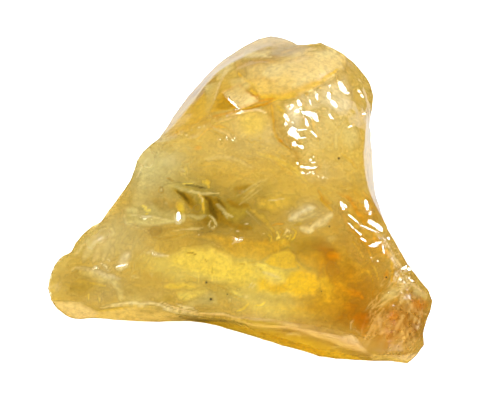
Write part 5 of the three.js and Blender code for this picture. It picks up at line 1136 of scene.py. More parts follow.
    ("S", BROWN, 0.96, 0.440, 0.9, ((-1.37, 2.72), (-0.36, 2.43), (0.66, 2.28))),
    ("B", DARK, 0.48, 0.00, 1, ((-2.10, 3.44), (0.880, 1.173, 20))),
    ("S", BROWN, 0.8, 0.183, 0.8, ((-3.70, 3.44), (-2.97, 3.01), (-2.39, 2.72))),
    ("B", GOLD, 1, 0.00, 0.9, ((-4.43, 3.81), (0.513, 0.733, -0))),
    ("B", YELLOW, 0.72, 0.00, 0.9, ((-4.28, 3.44), (0.367, 0.513, -0))),
    ("S", GOLD, 1, 0.139, 0.7, ((-3.19, 4.82), (-2.83, 4.46), (-2.76, 3.88), (-2.68, 3.37))),
    ("S", CREAM, 0.8, 0.051, 0.6, ((-3.12, 4.68), (-2.83, 4.39), (-2.76, 3.95))),
    ("S", GREY, 1, 0.176, 0.8, ((-1.67, 3.95), (-1.30, 3.52), (-1.08, 3.01))),
    ("S", PALE, 1, 0.088, 0.7, ((-1.38, 3.44), (-0.94, 3.30), (-0.50, 3.05))),
    ("S", PALE, 1, 0.095, 0.6, ((-2.32, 3.23), (-1.96, 2.94), (-1.74, 2.50), (-2.03, 2.21), (-2.32, 2.43), (-2.17, 2.79))),
    ("S", PALE, 0.64, 0.073, 0.6, ((-3.85, 2.21), (-3.26, 2.21), (-2.68, 2.28))),
    ("S", GREY, 1, 0.220, 0.9, ((-4.06, 3.15), (-3.26, 3.01), (-2.54, 3.08))),
    ("S", PALE, 1, 0.125, 0.6, ((-4.87, 5.30), (-4.29, 5.11), (-3.70, 4.97), (-2.98, 4.82), (-2.18, 4.82), (-1.52, 4.75))),
    ("S", GREY, 0.96, 0.161, 0.9, ((-5.31, 5.55), (-4.58, 5.26), (-3.70, 4.97))),
    ("S", SLATE, 1, 0.139, 0.5, ((-4.29, 5.48), (-3.71, 5.43), (-3.05, 5.31), (-2.32, 5.13))),
    ("S", INK, 0.8, 0.066, 0.6, ((-4.07, 5.44), (-3.41, 5.36), (-2.69, 5.20))),
    ("S", LEMON, 1, 0.059, 0.5, ((-4.36, 5.54), (-3.71, 5.52), (-3.27, 5.45))),
    ("S", BROWN, 1, 0.081, 0.6, ((-5.49, 5.87), (-5.17, 5.81), (-4.87, 5.59))),
    ("S", DARK, 0.96, 0.051, 0.6, ((-5.38, 5.84), (-5.09, 5.73))),
    ("S", YELLOW, 0.72, 0.220, 0.9, ((-2.83, 5.77), (-2.25, 5.48), (-2.10, 5.19))),
    ("S", GOLD, 0.8, 0.220, 0.9, ((-2.54, 5.91), (-2.10, 5.48))),
    ("B", CREAM, 1, 0.00, 0.7, ((-5.79, 5.01), (0.110, 0.132, -0))),
    ("B", CREAM, 0.96, 0.00, 0.6, ((-5.41, 4.06), (0.191, 0.117, -20))),
    ("B", OLIVE, 1, 0.00, 0.6, ((-5.41, 4.05), (0.088, 0.059, -20))),
    ("S", WHITE, 1, 0.044, 0.5, ((-5.49, 3.64), (-5.16, 3.62))),
    ("P", GREY, 0.96, 0.176, 0.8, ((-8.52, 3.30), (-7.64, 3.37), (-6.62, 3.15), (-5.45, 2.93), (-4.72, 2.93), (-4.86, 2.43), (-6.03, 2.35), (-7.34, 2.35), (-8.22, 2.57))),
    ("P", PALE, 0.64, 0.147, 0.8, ((-8.22, 3.01), (-7.05, 2.93), (-5.88, 2.72), (-6.03, 2.50), (-7.34, 2.50), (-8.07, 2.64))),
    ("P", GREY, 0.8, 0.220, 0.8, ((-8.67, 3.88), (-7.35, 4.10), (-5.89, 3.95), (-4.79, 3.59), (-3.99, 3.23), (-4.14, 2.57), (-5.45, 2.43), (-7.20, 2.42), (-8.37, 2.71))),
    ("P", BROWN, 0.64, 0.220, 0.9, ((-6.77, 4.61), (-5.45, 4.61), (-4.72, 4.02), (-5.01, 3.30), (-6.03, 3.44), (-6.62, 3.88))),
    ("P", PALE, 1, 0.103, 0.6, ((-8.37, 3.66), (-7.53, 3.70), (-7.49, 3.33), (-7.86, 3.30), (-8.30, 3.44))),
    ("S", PALE, 1, 0.191, 0.7, ((-8.37, 2.71), (-7.64, 2.71), (-6.76, 2.61), (-5.88, 2.53), (-4.86, 2.68))),
    ("S", CREAM, 0.8, 0.073, 0.6, ((-8.08, 3.15), (-7.20, 3.08), (-6.18, 2.93), (-5.16, 2.82))),
    # painted glints: the thin white line, the white blots with their pale halo and the small lemon and yellow hooks
    # paint light caught on small cracks inside
    ("S", WHITE, 1, 0.066, 0.5, ((-7.42, 3.11), (-6.91, 3.05), (-6.47, 2.96))),
    ("B", PALE, 1, 0.00, 0.6, ((-4.28, 2.93), (0.403, 0.476, -10))),
    ("B", WHITE, 1, 0.00, 0.6, ((-4.59, 3.12), (0.264, 0.469, -8))),
    ("B", WHITE, 0.96, 0.00, 0.6, ((-4.57, 2.64), (0.220, 0.147, -0))),
    ("S", CREAM, 0.56, 0.066, 0.8, ((-8.52, 3.15), (-8.37, 2.57), (-7.78, 2.28), (-7.05, 2.13), (-6.61, 1.92))),
    ("S", LEMON, 1, 0.110, 0.5, ((-7.20, 3.84), (-6.91, 3.73), (-6.98, 3.51))),
    ("S", LEMON, 1, 0.095, 0.5, ((-6.95, 3.44), (-6.69, 3.51), (-6.51, 3.52))),
    ("S", YELLOW, 1, 0.073, 0.5, ((-6.91, 3.30), (-6.76, 3.22))),
    ("P", BROWN, 0.56, 0.293, 1, ((-7.12, 2.28), (-6.18, 2.50), (-5.16, 2.35), (-4.43, 2.21), (-5.15, 1.84), (-6.17, 1.41), (-6.76, 1.70))),
    ("S", BROWN, 0.8, 0.088, 0.8, ((-6.61, 1.63), (-5.88, 1.48), (-4.86, 1.63), (-3.99, 1.85))),
    ("S", BROWN, 0.56, 0.088, 0.8, ((-5.30, 2.21), (-4.14, 2.28), (-2.97, 2.06), (-2.10, 2.14))),
    ("S", CREAM, 0.56, 0.073, 0.8, ((-5.01, 2.06), (-3.99, 2.14), (-2.97, 2.14))),
    ("P", BROWN, 0.507, 0.586, 0.9, ((-1.08, 2.28), (0.66, 2.43), (1.96, 1.99), (2.54, 1.13), (1.53, 0.55), (-0.07, 0.83), (-1.08, 1.27))),
    ("P", GOLD, 0.725, 0.440, 0.9, ((1.09, 4.60), (2.40, 5.04), (3.70, 4.60), (3.56, 3.59), (2.11, 3.30), (1.09, 3.88))),
    # painted shadow: a grey-olive patch above and to the left of the pale wisps
    ("P", OLIVE, 0.652, 0.440, 0.9, ((3.12, 4.60), (3.99, 4.89), (4.57, 4.46), (3.99, 3.59), (3.27, 3.73))),
    ("S", PALE, 0.507, 0.088, 0.9, ((-0.17, 3.95), (0.55, 4.42), (1.16, 4.94), (1.60, 5.35))),
    ("S", PALE, 0.435, 0.088, 0.9, ((0.15, 4.42), (0.87, 5.04), (1.38, 5.50))),
    ("S", PALE, 0.58, 0.117, 0.8, ((-0.36, 4.60), (0.37, 5.04), (1.24, 5.62), (1.96, 5.91))),
    ("S", CREAM, 0.87, 0.059, 0.6, ((1.89, 4.31), (2.54, 4.36), (3.16, 4.42))),
    ("S", GOLD, 0.507, 0.220, 0.95, ((0.51, 3.95), (1.09, 3.44), (1.82, 2.72), (2.40, 2.14))),
    ("S", YELLOW, 0.29, 0.176, 0.95, ((0.95, 3.81), (1.53, 3.23), (2.11, 2.72))),
    ("S", CREAM, 0.435, 0.066, 0.8, ((0.37, 3.59), (0.95, 3.01), (1.53, 2.43))),
    ("B", ORANGE, 1, 0.00, 0.6, ((-0.12, 4.84), (0.095, 0.095, -0))),
    ("B", CREAM, 1, 0.00, 0.6, ((0.08, 4.97), (0.066, 0.066, -0))),
    ("B", WHITE, 0.725, 0.00, 0.6, ((0.44, 2.61), (0.147, 0.073, -0))),
    ("P", PALE, 0.725, 0.440, 0.95, ((3.41, 2.79), (3.77, 3.30), (4.28, 3.77), (4.93, 4.02), (5.58, 3.73), (5.15, 3.23), (4.42, 2.87), (3.70, 2.68))),
    ("S", CREAM, 0.435, 0.513, 0.95, ((3.48, 2.86), (4.13, 3.23), (5.00, 3.52))),
    ("S", CREAM, 0.435, 0.220, 0.9, ((4.13, 3.73), (4.71, 3.88), (5.29, 3.81))),
    ("S", OLIVE, 0.652, 0.220, 0.9, ((4.06, 2.58), (4.71, 2.72), (5.36, 3.08))),
    ("S", CREAM, 0.87, 0.440, 0.95, ((5.15, 2.32), (5.65, 2.58), (6.01, 2.94), (6.52, 3.30))),
    ("S", CREAM, 0.58, 0.161, 0.8, ((5.22, 2.39), (5.65, 2.61))),
    ("S", CREAM, 0.87, 0.367, 0.95, ((4.28, 2.26), (4.71, 2.17), (5.22, 2.07))),
    ("P", AMBER, 0.58, 0.220, 0.9, ((5.58, 5.04), (6.16, 4.89), (6.67, 4.02), (6.59, 3.37), (6.01, 3.73), (5.65, 4.31))),
    ("S", BROWN, 0.507, 0.117, 0.8, ((5.65, 4.75), (5.94, 4.31), (6.30, 3.88))),
    ("S", BROWN, 0.507, 0.147, 0.9, ((5.29, 4.46), (6.16, 4.02), (6.74, 3.30))),
    ("B", YELLOW, 1, 0.00, 0.7, ((3.05, 1.23), (0.330, 0.257, 20))),
    ("B", LEMON, 1, 0.00, 0.7, ((2.97, 1.16), (0.191, 0.147, -0))),
    ("S", LEMON, 1, 0.066, 0.5, ((2.54, 2.00), (2.76, 1.71), (2.61, 1.42), (2.90, 1.56))),
    ("S", LEMON, 1, 0.059, 0.5, ((3.05, 1.78), (3.34, 1.56), (3.63, 1.71), (3.48, 1.34))),
    ("S", CREAM, 1, 0.073, 0.5, ((3.23, 2.36), (3.34, 2.14), (3.52, 1.92))),
    ("S", CREAM, 1, 0.066, 0.5, ((3.12, 1.78), (3.34, 2.07), (3.63, 2.00))),
    ("S", YELLOW, 1, 0.066, 0.5, ((1.96, 1.85), (2.25, 1.56), (2.11, 1.20))),
    ("S", YELLOW, 1, 0.066, 0.5, ((3.70, 2.29), (3.99, 2.00), (3.84, 1.56), (3.55, 1.20))),
    ("S", BROWN, 0.87, 0.073, 0.6, ((2.76, 2.21), (3.05, 2.00), (2.90, 1.71))),
    ("S", BROWN, 0.87, 0.073, 0.6, ((3.34, 1.85), (3.63, 1.49), (3.41, 1.05))),
    ("S", BROWN, 0.725, 0.073, 0.6, ((2.25, 2.07), (2.47, 1.71), (2.32, 1.27))),
    ("S", ORANGE, 0.725, 0.088, 0.6, ((2.25, 2.43), (2.69, 2.57), (3.12, 2.50))),
    ("B", CREAM, 0.87, 0.00, 0.6, ((1.67, 1.85), (0.088, 0.073, -0))),
    # painted shadow: a slate blot beside the lemon-yellow blot
    ("B", SLATE, 0.87, 0.00, 0.9, ((2.18, 0.94), (0.403, 0.257, -10))),
    ("B", BROWN, 0.725, 0.00, 0.9, ((1.82, 1.34), (0.293, 0.440, -30))),
    # painted glints: white chips of light caught on small cracks inside
    ("S", WHITE, 1, 0.103, 0.5, ((-0.69, 1.73), (-0.47, 1.49), (-0.21, 1.38), (0.04, 1.49))),
    ("S", WHITE, 1, 0.073, 0.5, ((-0.58, 1.22), (-0.29, 1.36), (-0.07, 1.56), (0.26, 1.66))),
    ("B", WHITE, 1, 0.00, 0.5, ((-0.22, 2.12), (0.088, 0.088, -0))),
    ("B", WHITE, 1, 0.00, 0.5, ((-0.74, 2.14), (0.073, 0.073, -0))),
    ("B", WHITE, 0.87, 0.00, 0.5, ((-3.08, 1.73), (0.081, 0.081, -0))),
    ("P", AMBER, 0.7, 0.220, 0.8, ((-3.99, 1.77), (-2.68, 1.56), (-1.37, 1.19), (-1.08, 0.54), (-0.07, 0.11), (1.16, -0.25), (1.96, 0.18), (2.97, 0.69), (3.70, 1.13), (3.41, 1.71), (1.53, 1.41), (-0.07, 1.70), (-1.96, 1.99))),
    # the glow band of the lower middle: these yellow, gold and lemon patches are painted glow, standing for light from
    # below shining up through the thin lower part
    ("P", YELLOW, 0.56, 0.660, 0.9, ((-3.99, 1.12), (-1.37, 0.98), (-0.36, 0.11), (1.24, -0.32), (3.55, -0.47), (5.57, -1.04), (5.72, -2.19), (4.27, -2.92), (1.53, -2.64), (-0.79, -1.92), (-3.70, -1.20), (-5.15, -0.62), (-5.30, 0.39))),
    ("P", PAINTED_GLOW_PALE, 0.952, 0.513, 0.95, ((-3.99, 0.97), (-2.17, 1.19), (-1.08, 0.76), (-0.07, 0.11), (1.16, -0.25), (1.24, -1.19), (-0.07, -1.77), (-1.95, -1.63), (-3.70, -1.35), (-5.01, -0.77), (-5.30, 0.25))),
    ("P", PAINTED_GLOW_GOLD, 0.952, 0.330, 0.9, ((0.95, -1.34), (1.53, -1.12), (2.54, -1.62), (3.41, -1.19), (3.41, -0.90), (4.28, -0.68), (5.50, -0.89), (5.72, -1.76), (5.35, -2.48), (4.27, -2.92), (2.54, -2.63), (1.09, -2.35))),
    ("P", PAINTED_GLOW_GOLD, 0.49, 0.586, 0.95, ((-0.07, -2.93), (2.54, -2.78), (4.99, -2.91), (5.71, -3.77), (4.27, -4.35), (1.52, -4.07), (-0.07, -3.65))),
    ("P", PAINTED_GLOW_PALE, 0.42, 0.367, 0.95, ((-2.17, 0.90), (-1.23, 0.76), (-0.21, 0.04), (1.16, -0.33), (1.24, -0.90), (-0.07, -0.91), (-1.52, -0.62), (-2.17, 0.11))),
    ("P", GOLD, 0.98, 0.147, 0.6, ((1.53, -0.18), (2.25, 0.40), (3.48, 0.76), (3.99, 0.26), (4.13, -0.61), (3.12, -0.76), (1.96, -0.47))),
    ("S", LEMON, 1, 0.235, 0.8, ((1.09, -0.25), (1.74, -0.69), (2.47, -1.12), (3.19, -1.48))),
    ("P", LEMON, 0.84, 0.220, 0.85, ((0.95, -0.90), (1.53, -0.54), (2.54, -0.61), (3.12, -1.05), (2.97, -1.77), (1.96, -1.63), (1.24, -1.34))),
    ("S", CREAM, 0.84, 0.117, 0.7, ((1.53, -0.90), (2.25, -1.12), (2.97, -1.48))),
    ("S", LEMON, 1, 0.147, 0.6, ((1.96, -0.76), (2.68, -1.12), (3.12, -1.62))),
    ("P", PAINTED_GLOW_GOLD, 0.56, 0.220, 0.85, ((3.63, -0.90), (4.56, -0.68), (5.50, -0.89), (5.72, -1.62), (5.43, -2.26), (4.71, -2.63), (3.77, -2.41), (3.26, -1.69))),
    ("P", AMBER, 0.63, 0.220, 0.8, ((2.11, -1.77), (3.26, -1.77), (3.55, -2.34), (2.54, -2.63), (1.53, -2.20))),
    ("S", GOLD, 0.84, 0.088, 0.6, ((3.63, 0.11), (4.28, -0.46), (4.71, -0.90))),
    ("S", BROWN, 0.49, 0.073, 0.7, ((3.48, -1.19), (3.48, -1.91))),
    ("S", RUST, 0.42, 0.220, 0.9, ((5.94, -0.03), (5.72, -1.18), (5.93, -2.34))),
    ("S", RUST, 0.35, 0.117, 0.9, ((6.15, 0.26), (6.08, -0.75), (6.29, -1.61))),
    ("P", AMBER, 0.7, 0.367, 0.9, ((4.13, 0.69), (5.87, 0.70), (6.44, -0.17), (5.86, -0.89), (4.56, -0.75), (3.99, -0.18))),
    ("P", YELLOW, 0.7, 0.176, 0.8, ((-5.88, -1.89), (-5.01, -1.68), (-3.70, -1.71), (-2.83, -1.93), (-3.41, -2.22), (-4.42, -2.22), (-5.15, -2.36), (-5.73, -2.15))),
    ("P", LEMON, 0.63, 0.161, 0.8, ((-5.00, -2.43), (-3.99, -2.22), (-2.68, -2.11), (-2.24, -2.29), (-3.11, -2.72), (-3.98, -3.01), (-4.57, -2.94))),
    ("S", LEMON, 0.7, 0.059, 0.6, ((-3.19, -0.98), (-3.15, -1.42), (-3.09, -1.78))),
    ("S", LEMON, 0.7, 0.051, 0.6, ((-2.14, -1.13), (-2.15, -1.63))),
    ("P", GREY, 0.84, 0.293, 0.85, ((-3.11, -2.50), (-2.24, -2.21), (-1.59, -2.64), (-1.52, -3.29), (-2.24, -3.58), (-2.97, -3.51), (-3.26, -3.01))),
    ("P", GREY, 0.7, 0.220, 0.8, ((-4.42, -3.15), (-3.55, -2.72), (-2.97, -2.65), (-2.97, -3.37), (-3.84, -3.51))),
    ("P", OLIVE, 0.63, 0.220, 0.9, ((-5.88, -2.36), (-5.00, -2.65), (-4.71, -3.23), (-5.87, -3.23), (-6.60, -2.80))),
    ("S", BROWN, 1, 0.066, 0.5, ((-1.93, -1.80), (-1.52, -1.89), (-1.08, -2.12), (-0.79, -2.43), (-0.48, -2.63), (-0.14, -2.76), (0.19, -2.83))),
    ("P", LEMON, 0.84, 0.117, 0.7, ((-0.94, -2.11), (-0.36, -2.21), (0.08, -2.50), (0.15, -2.71), (-0.43, -2.54), (-0.79, -2.33))),
    ("S", OLIVE, 0.84, 0.051, 0.6, ((-0.36, -2.71), (0.22, -2.82), (0.44, -3.00))),
    ("S", YELLOW, 0.84, 0.103, 0.7, ((-0.36, -3.79), (0.22, -3.57), (0.58, -3.21))),
    ("S", YELLOW, 0.84, 0.088, 0.7, ((1.09, -3.36), (1.52, -3.28), (1.74, -3.07))),
    ("B", CREAM, 0.84, 0.00, 0.7, ((0.40, -2.68), (0.147, 0.147, -0))),
    ("B", PALE, 0.77, 0.00, 0.5, ((-0.79, -2.93), (0.161, 0.132, -0))),
    ("B", GREY, 0.7, 0.00, 0.5, ((-0.79, -2.93), (0.088, 0.066, -0))),
    ("S", BROWN, 1, 0.044, 0.5, ((-3.99, 0.47), (-3.63, 0.50), (-3.19, 0.26))),
    ("S", BROWN, 0.98, 0.044, 0.5, ((-2.76, 0.06), (-2.43, -0.16))),
    ("S", BROWN, 0.84, 0.044, 0.5, ((-0.21, -0.31), (0.37, -0.24), (1.16, -0.19))),
    ("S", BROWN, 0.84, 0.044, 0.5, ((1.02, -0.47), (1.31, -0.61), (1.60, -0.87))),
    ("S", BROWN, 0.56, 0.044, 0.5, ((-2.03, 0.11), (-2.10, -0.47), (-2.17, -1.20))),
    ("S", WHITE, 0.7, 0.044, 0.5, ((0.66, -1.99), (0.95, -1.56))),
    ("S", WHITE, 0.56, 0.044, 0.5, ((0.80, -2.13), (1.09, -1.77))),
    # painted glow, low in the middle
    ("P", PAINTED_GLOW_GOLD, 0.28, 0.660, 0.95, ((0.37, -2.93), (2.83, -2.92), (5.14, -3.34), (5.85, -4.06), (4.27, -4.49), (2.10, -4.21), (0.66, -3.93))),
    ("B", OLIVE, 0.7, 0.00, 0.9, ((4.70, -3.13), (0.257, 0.191, -0))),
    ("B", OLIVE, 0.49, 0.00, 0.9, ((4.06, -1.98), (0.293, 0.183, 10))),
    ("B", BROWN, 0.7, 0.00, 0.9, ((6.22, -1.61), (0.257, 0.191, 30))),
    ("S", CREAM, 0.391, 0.293, 0.95, ((-11.42, -0.34), (-10.99, 0.68), (-10.63, 1.33))),
    ("S", PINK, 0.414, 0.264, 0.95, ((-10.76, -0.34), (-10.40, 0.68), (-10.04, 1.40))),
    ("S", CREAM, 0.414, 0.249, 0.95, ((-10.11, -0.19), (-9.97, 0.68), (-9.75, 1.33))),
    ("S", PINK, 0.345, 0.220, 0.95, ((-9.52, -0.05), (-9.53, 0.82), (-9.39, 1.55))),
    ("S", GREY, 0.345, 0.147, 0.95, ((-10.47, -0.19), (-10.18, 0.68), (-9.90, 1.33))),
    ("S", CREAM, 0.345, 0.220, 0.95, ((-12.02, 0.09), (-11.44, 0.96), (-11.01, 1.55))),
    ("S", OLIVE, 0.345, 0.161, 0.95, ((-11.13, -0.20), (-10.77, 0.53), (-10.48, 1.19))),
    ("S", PALE, 0.575, 0.147, 0.9, ((-11.30, 1.40), (-10.84, 0.97), (-10.84, 0.39))),
    ("P", CREAM, 0.862, 0.132, 0.7, ((-9.08, -0.41), (-8.65, -0.23), (-8.21, -0.19), (-8.14, -0.48), (-8.43, -0.77), (-8.93, -0.88), (-9.12, -0.70))),
    ("S", WHITE, 0.46, 0.073, 0.7, ((-8.94, -0.48), (-8.57, -0.41), (-8.28, -0.34))),
    ("B", CREAM, 0.69, 0.00, 0.8, ((-8.28, 0.36), (0.249, 0.191, 30))),
    ("S", BROWN, 0.575, 0.117, 0.8, ((-9.38, -0.12), (-9.09, 0.10), (-8.87, 0.32))),
    ("S", PALE, 0.632, 0.403, 0.9, ((-11.85, -0.99), (-11.12, -1.21), (-10.39, -1.32), (-9.51, -1.50), (-9.08, -1.79))),
    ("S", CREAM, 0.402, 0.205, 0.9, ((-11.56, -1.14), (-10.82, -1.28), (-10.17, -1.42))),
    ("S", PALE, 0.517, 0.367, 0.95, ((-9.29, -1.57), (-8.93, -1.93), (-8.78, -2.51), (-8.71, -2.95))),
    ("S", CREAM, 0.345, 0.220, 0.95, ((-9.80, -1.79), (-9.37, -1.79), (-8.93, -2.22))),
    ("B", CREAM, 0.69, 0.00, 0.8, ((-12.23, -0.74), (0.117, 0.191, -30))),
    ("B", SLATE, 0.46, 0.00, 0.9, ((-11.85, -1.14), (0.257, 0.183, -0))),
    # painted glints: three white streaks of light near the left tip
    ("S", WHITE, 1, 0.081, 0.5, ((-10.80, -0.59), (-10.61, -0.59), (-10.32, -0.63))),
    ("S", WHITE, 1, 0.066, 0.5, ((-10.18, -0.38), (-9.96, -0.45), (-9.78, -0.60), (-9.63, -0.87))),
    ("S", WHITE, 1, 0.066, 0.5, ((-9.71, 0.04), (-9.59, -0.09), (-9.48, -0.24))),
    ("B", ORANGE, 0.575, 0.00, 0.8, ((-10.14, -0.66), (0.147, 0.117, -0))),
    ("S", CREAM, 0.69, 0.066, 0.6, ((-8.06, -1.21), (-7.77, -1.35), (-7.48, -1.42))),
    ("B", OLIVE, 0.517, 0.00, 1, ((-11.84, -2.30), (1.613, 0.586, -0))),
    ("B", BROWN, 0.345, 0.00, 1, ((-12.36, -2.30), (0.367, 0.367, -0))),
    ("P", YELLOW, 0.575, 0.220, 0.85, ((-12.29, -1.58), (-11.85, -1.43), (-11.26, -1.60), (-10.97, -1.82), (-11.40, -1.92), (-11.99, -1.82))),
    ("S", YELLOW, 0.575, 0.103, 0.8, ((-11.11, -1.72), (-10.38, -1.86), (-9.80, -2.00))),
    ("S", OLIVE, 0.517, 0.264, 0.9, ((-13.34, -1.81), (-12.14, -2.01), (-10.82, -2.08), (-9.51, -2.37))),
    ("S", LEMON, 0.92, 0.059, 0.6, ((-11.15, -2.51), (-11.13, -2.73), (-11.11, -2.95))),
    ("S", LEMON, 0.977, 0.066, 0.6, ((-10.41, -2.56), (-10.38, -2.80), (-10.37, -3.12))),
    ("B", CREAM, 0.862, 0.00, 0.6, ((-6.61, -1.13), (0.117, 0.161, 20))),
    ("S", WHITE, 0.805, 0.059, 0.6, ((-6.72, 0.64), (-6.46, 0.54), (-6.25, 0.32))),
    ("B", WHITE, 0.805, 0.00, 0.6, ((-6.21, 0.46), (0.132, 0.103, -0))),
    ("S", WHITE, 0.69, 0.059, 0.6, ((-6.10, 0.35), (-5.66, 0.29), (-5.23, 0.31))),
    ("B", WHITE, 0.69, 0.00, 0.6, ((-5.74, 0.28), (0.103, 0.073, -0))),
    ("S", CREAM, 0.46, 0.103, 0.8, ((-7.19, 0.54), (-6.17, 0.25), (-5.15, 0.17))),
    ("B", CREAM, 0.69, 0.00, 0.7, ((-9.54, 1.87), (0.191, 0.132, -30))),
    ("S", WHITE, 0.575, 0.044, 0.6, ((-7.63, 2.32), (-7.34, 2.28))),
    ("S", PALE, 0.402, 0.367, 0.95, ((-8.78, -2.66), (-7.76, -2.94), (-6.74, -3.09))),
    ("S", GREY, 0.402, 0.367, 0.95, ((-8.35, -1.93), (-7.77, -2.37), (-7.33, -2.94))),
    ("P", GOLD, 0.575, 0.440, 0.9, ((6.44, 1.56), (7.60, 0.99), (8.46, -0.17), (9.03, -1.32), (8.31, -2.04), (7.30, -1.18), (6.73, -0.03))),
    ("B", PALE, 0.402, 0.00, 0.9, ((6.52, 1.56), (0.660, 0.367, 10))),
    ("B", ORANGE, 0.69, 0.00, 1, ((6.80, 0.26), (0.880, 0.513, -0))),
    ("S", GOLD, 0.46, 0.293, 0.9, ((7.88, -0.17), (8.74, -0.74), (9.46, -0.88))),
    ("S", ORANGE, 0.575, 0.367, 0.9, ((6.73, -1.61), (7.59, -2.33), (8.73, -2.90))),
    ("S", YELLOW, 0.23, 0.220, 0.95, ((6.15, -0.60), (6.08, -1.76), (6.29, -2.91))),
    ("P", RUST, 0.69, 0.220, 0.8, ((7.94, -4.20), (8.44, -3.91), (9.16, -3.83), (9.30, -4.47), (8.87, -5.19), (8.15, -5.05))),
    ("P", RUST, 0.575, 0.293, 0.9, ((7.15, -2.91), (8.02, -3.05), (8.73, -3.47), (8.01, -4.05), (7.15, -3.77))),
    ("S", CREAM, 0.92, 0.066, 0.5, ((8.12, -4.31), (7.91, -4.55), (7.86, -4.84), (7.93, -5.06))),
    ("S", CREAM, 0.575, 0.059, 0.5, ((7.91, -4.91), (8.22, -5.05), (8.58, -5.41))),
    ("P", GOLD, 0.402, 0.293, 0.9, ((9.59, -3.47), (10.60, -2.46), (11.61, -2.03), (11.75, -2.60), (11.02, -3.32), (10.16, -3.89), (9.73, -4.33))),
    ("S", CREAM, 0.862, 0.103, 0.7, ((9.40, -3.61), (10.02, -2.96), (10.74, -2.39), (11.76, -1.96))),
    ("S", CREAM, 0.69, 0.088, 0.7, ((9.73, -3.75), (10.59, -2.89), (11.46, -2.46))),
    ("S", CREAM, 0.805, 0.066, 0.6, ((8.75, -5.91), (9.22, -5.12), (9.66, -4.47), (10.02, -3.82), (10.34, -3.46))),
    ("S", CREAM, 0.69, 0.059, 0.6, ((9.00, -6.19), (9.51, -5.33), (10.01, -4.47))),
    ("S", CREAM, 0.805, 0.066, 0.6, ((10.90, -6.11), (11.15, -5.32), (11.44, -4.61), (11.81, -3.82))),
    ("S", CREAM, 0.69, 0.059, 0.6, ((11.22, -6.18), (11.51, -5.39), (11.80, -4.75))),
    ("S", CREAM, 0.575, 0.059, 0.6, ((9.86, -6.33), (10.22, -5.61), (10.72, -4.89), (11.01, -4.46))),
    ("S", CREAM, 0.575, 0.059, 0.6, ((9.15, -4.76), (9.44, -4.19), (9.73, -3.68))),
    ("P", CREAM, 0.345, 0.220, 0.85, ((9.59, -3.97), (10.30, -3.75), (10.58, -4.32), (10.44, -5.18), (9.86, -5.47), (9.51, -4.76))),
    ("S", WHITE, 0.575, 0.088, 0.6, ((9.80, -4.18), (10.16, -4.32), (10.01, -4.83))),
    ("S", WHITE, 0.46, 0.073, 0.6, ((9.94, -5.04), (10.36, -5.25))),
    ("P", RUST, 0.747, 0.147, 0.7, ((10.52, -3.61), (11.02, -3.46), (11.37, -3.82), (11.16, -4.32), (10.65, -4.46))),
    ("P", RUST, 0.69, 0.147, 0.7, ((12.18, -2.89), (12.94, -2.70), (13.55, -2.93), (13.55, -3.44), (12.78, -3.55), (12.25, -3.32))),
    ("P", RUST, 0.575, 0.147, 0.7, ((10.29, -5.32), (10.87, -5.04), (11.01, -5.61), (10.58, -6.04))),
    ("S", CREAM, 0.575, 0.103, 0.8, ((11.89, -2.89), (12.32, -3.47), (12.93, -3.77), (13.40, -3.94))),
    ("S", CREAM, 0.575, 0.088, 0.8, ((12.03, -3.61), (12.46, -4.18), (12.93, -4.50))),
    ("P", CREAM, 0.287, 0.293, 0.9, ((11.58, -5.18), (12.63, -5.06), (12.94, -5.80), (12.33, -6.49), (11.58, -6.47))),
    ("S", CREAM, 0.69, 0.073, 0.7, ((12.34, -2.32), (12.95, -2.20), (13.41, -2.50))),
    ("S", PINK, 0.92, 0.132, 0.8, ((11.47, -1.89), (12.06, -1.61), (12.65, -2.05), (13.25, -2.49))),
    ("P", SAND, 0.402, 0.293, 0.9, ((10.90, -1.03), (11.64, -0.89), (12.37, -1.47), (12.05, -2.03), (11.18, -1.89))),
    ("S", PINK, 0.805, 0.103, 0.7, ((10.13, 1.13), (10.63, 0.55), (11.21, -0.17), (11.79, -0.89))),
    ("S", AMBER, 0.805, 0.147, 0.8, ((10.35, 0.99), (10.77, 0.12), (10.91, -0.74), (10.82, -1.60))),
    ("S", CREAM, 0.575, 0.073, 0.7, ((10.64, 0.70), (11.07, 0.12), (11.43, -0.46))),
    # painted sheen: a pale cream patch on the shoulder where the lamp glints cluster
    ("P", CREAM, 0.862, 0.293, 0.9, ((3.06, 11.45), (4.01, 11.74), (4.44, 11.30), (4.29, 10.27), (3.71, 10.13), (3.20, 10.71))),
    ("S", AMBER, 0.575, 0.183, 0.8, ((4.01, 12.19), (4.73, 11.29), (5.30, 9.97), (5.59, 8.66))),
    ("S", GOLD, 0.69, 0.220, 0.8, ((2.55, 11.30), (3.13, 10.72), (3.42, 9.84))),
    ("S", PINK, 0.575, 0.183, 0.8, ((3.13, 11.30), (3.71, 10.71), (4.00, 10.12))),
    ("S", BROWN, 0.402, 0.073, 0.7, ((6.82, 9.54), (7.27, 9.83), (7.65, 10.28))),
    ("B", BROWN, 0.69, 0.00, 0.7, ((7.15, 9.76), (0.103, 0.073, 30))),
    ("S", PALE, 0.575, 0.147, 0.9, ((6.89, 7.94), (6.82, 8.66), (7.04, 9.39))),
    ("S", AMBER, 0.575, 0.176, 0.8, ((7.04, 7.80), (7.77, 7.36), (8.36, 6.64))),
    ("P", PALE, 0.575, 0.367, 0.9, ((7.19, 9.98), (8.38, 9.71), (8.67, 8.54), (7.92, 7.95), (7.04, 8.52))),
    ("P", CREAM, 0.575, 0.440, 0.9, ((5.77, 12.79), (7.25, 12.97), (8.14, 11.80), (7.95, 10.44), (6.62, 10.71), (5.75, 11.59))),
    ("S", BROWN, 0.575, 0.073, 0.6, ((4.00, 7.36), (4.21, 7.00), (4.65, 6.64), (5.23, 6.49))),
    ("S", AMBER, 0.69, 0.147, 0.8, ((5.58, 4.60), (6.01, 4.02), (6.59, 3.59))),
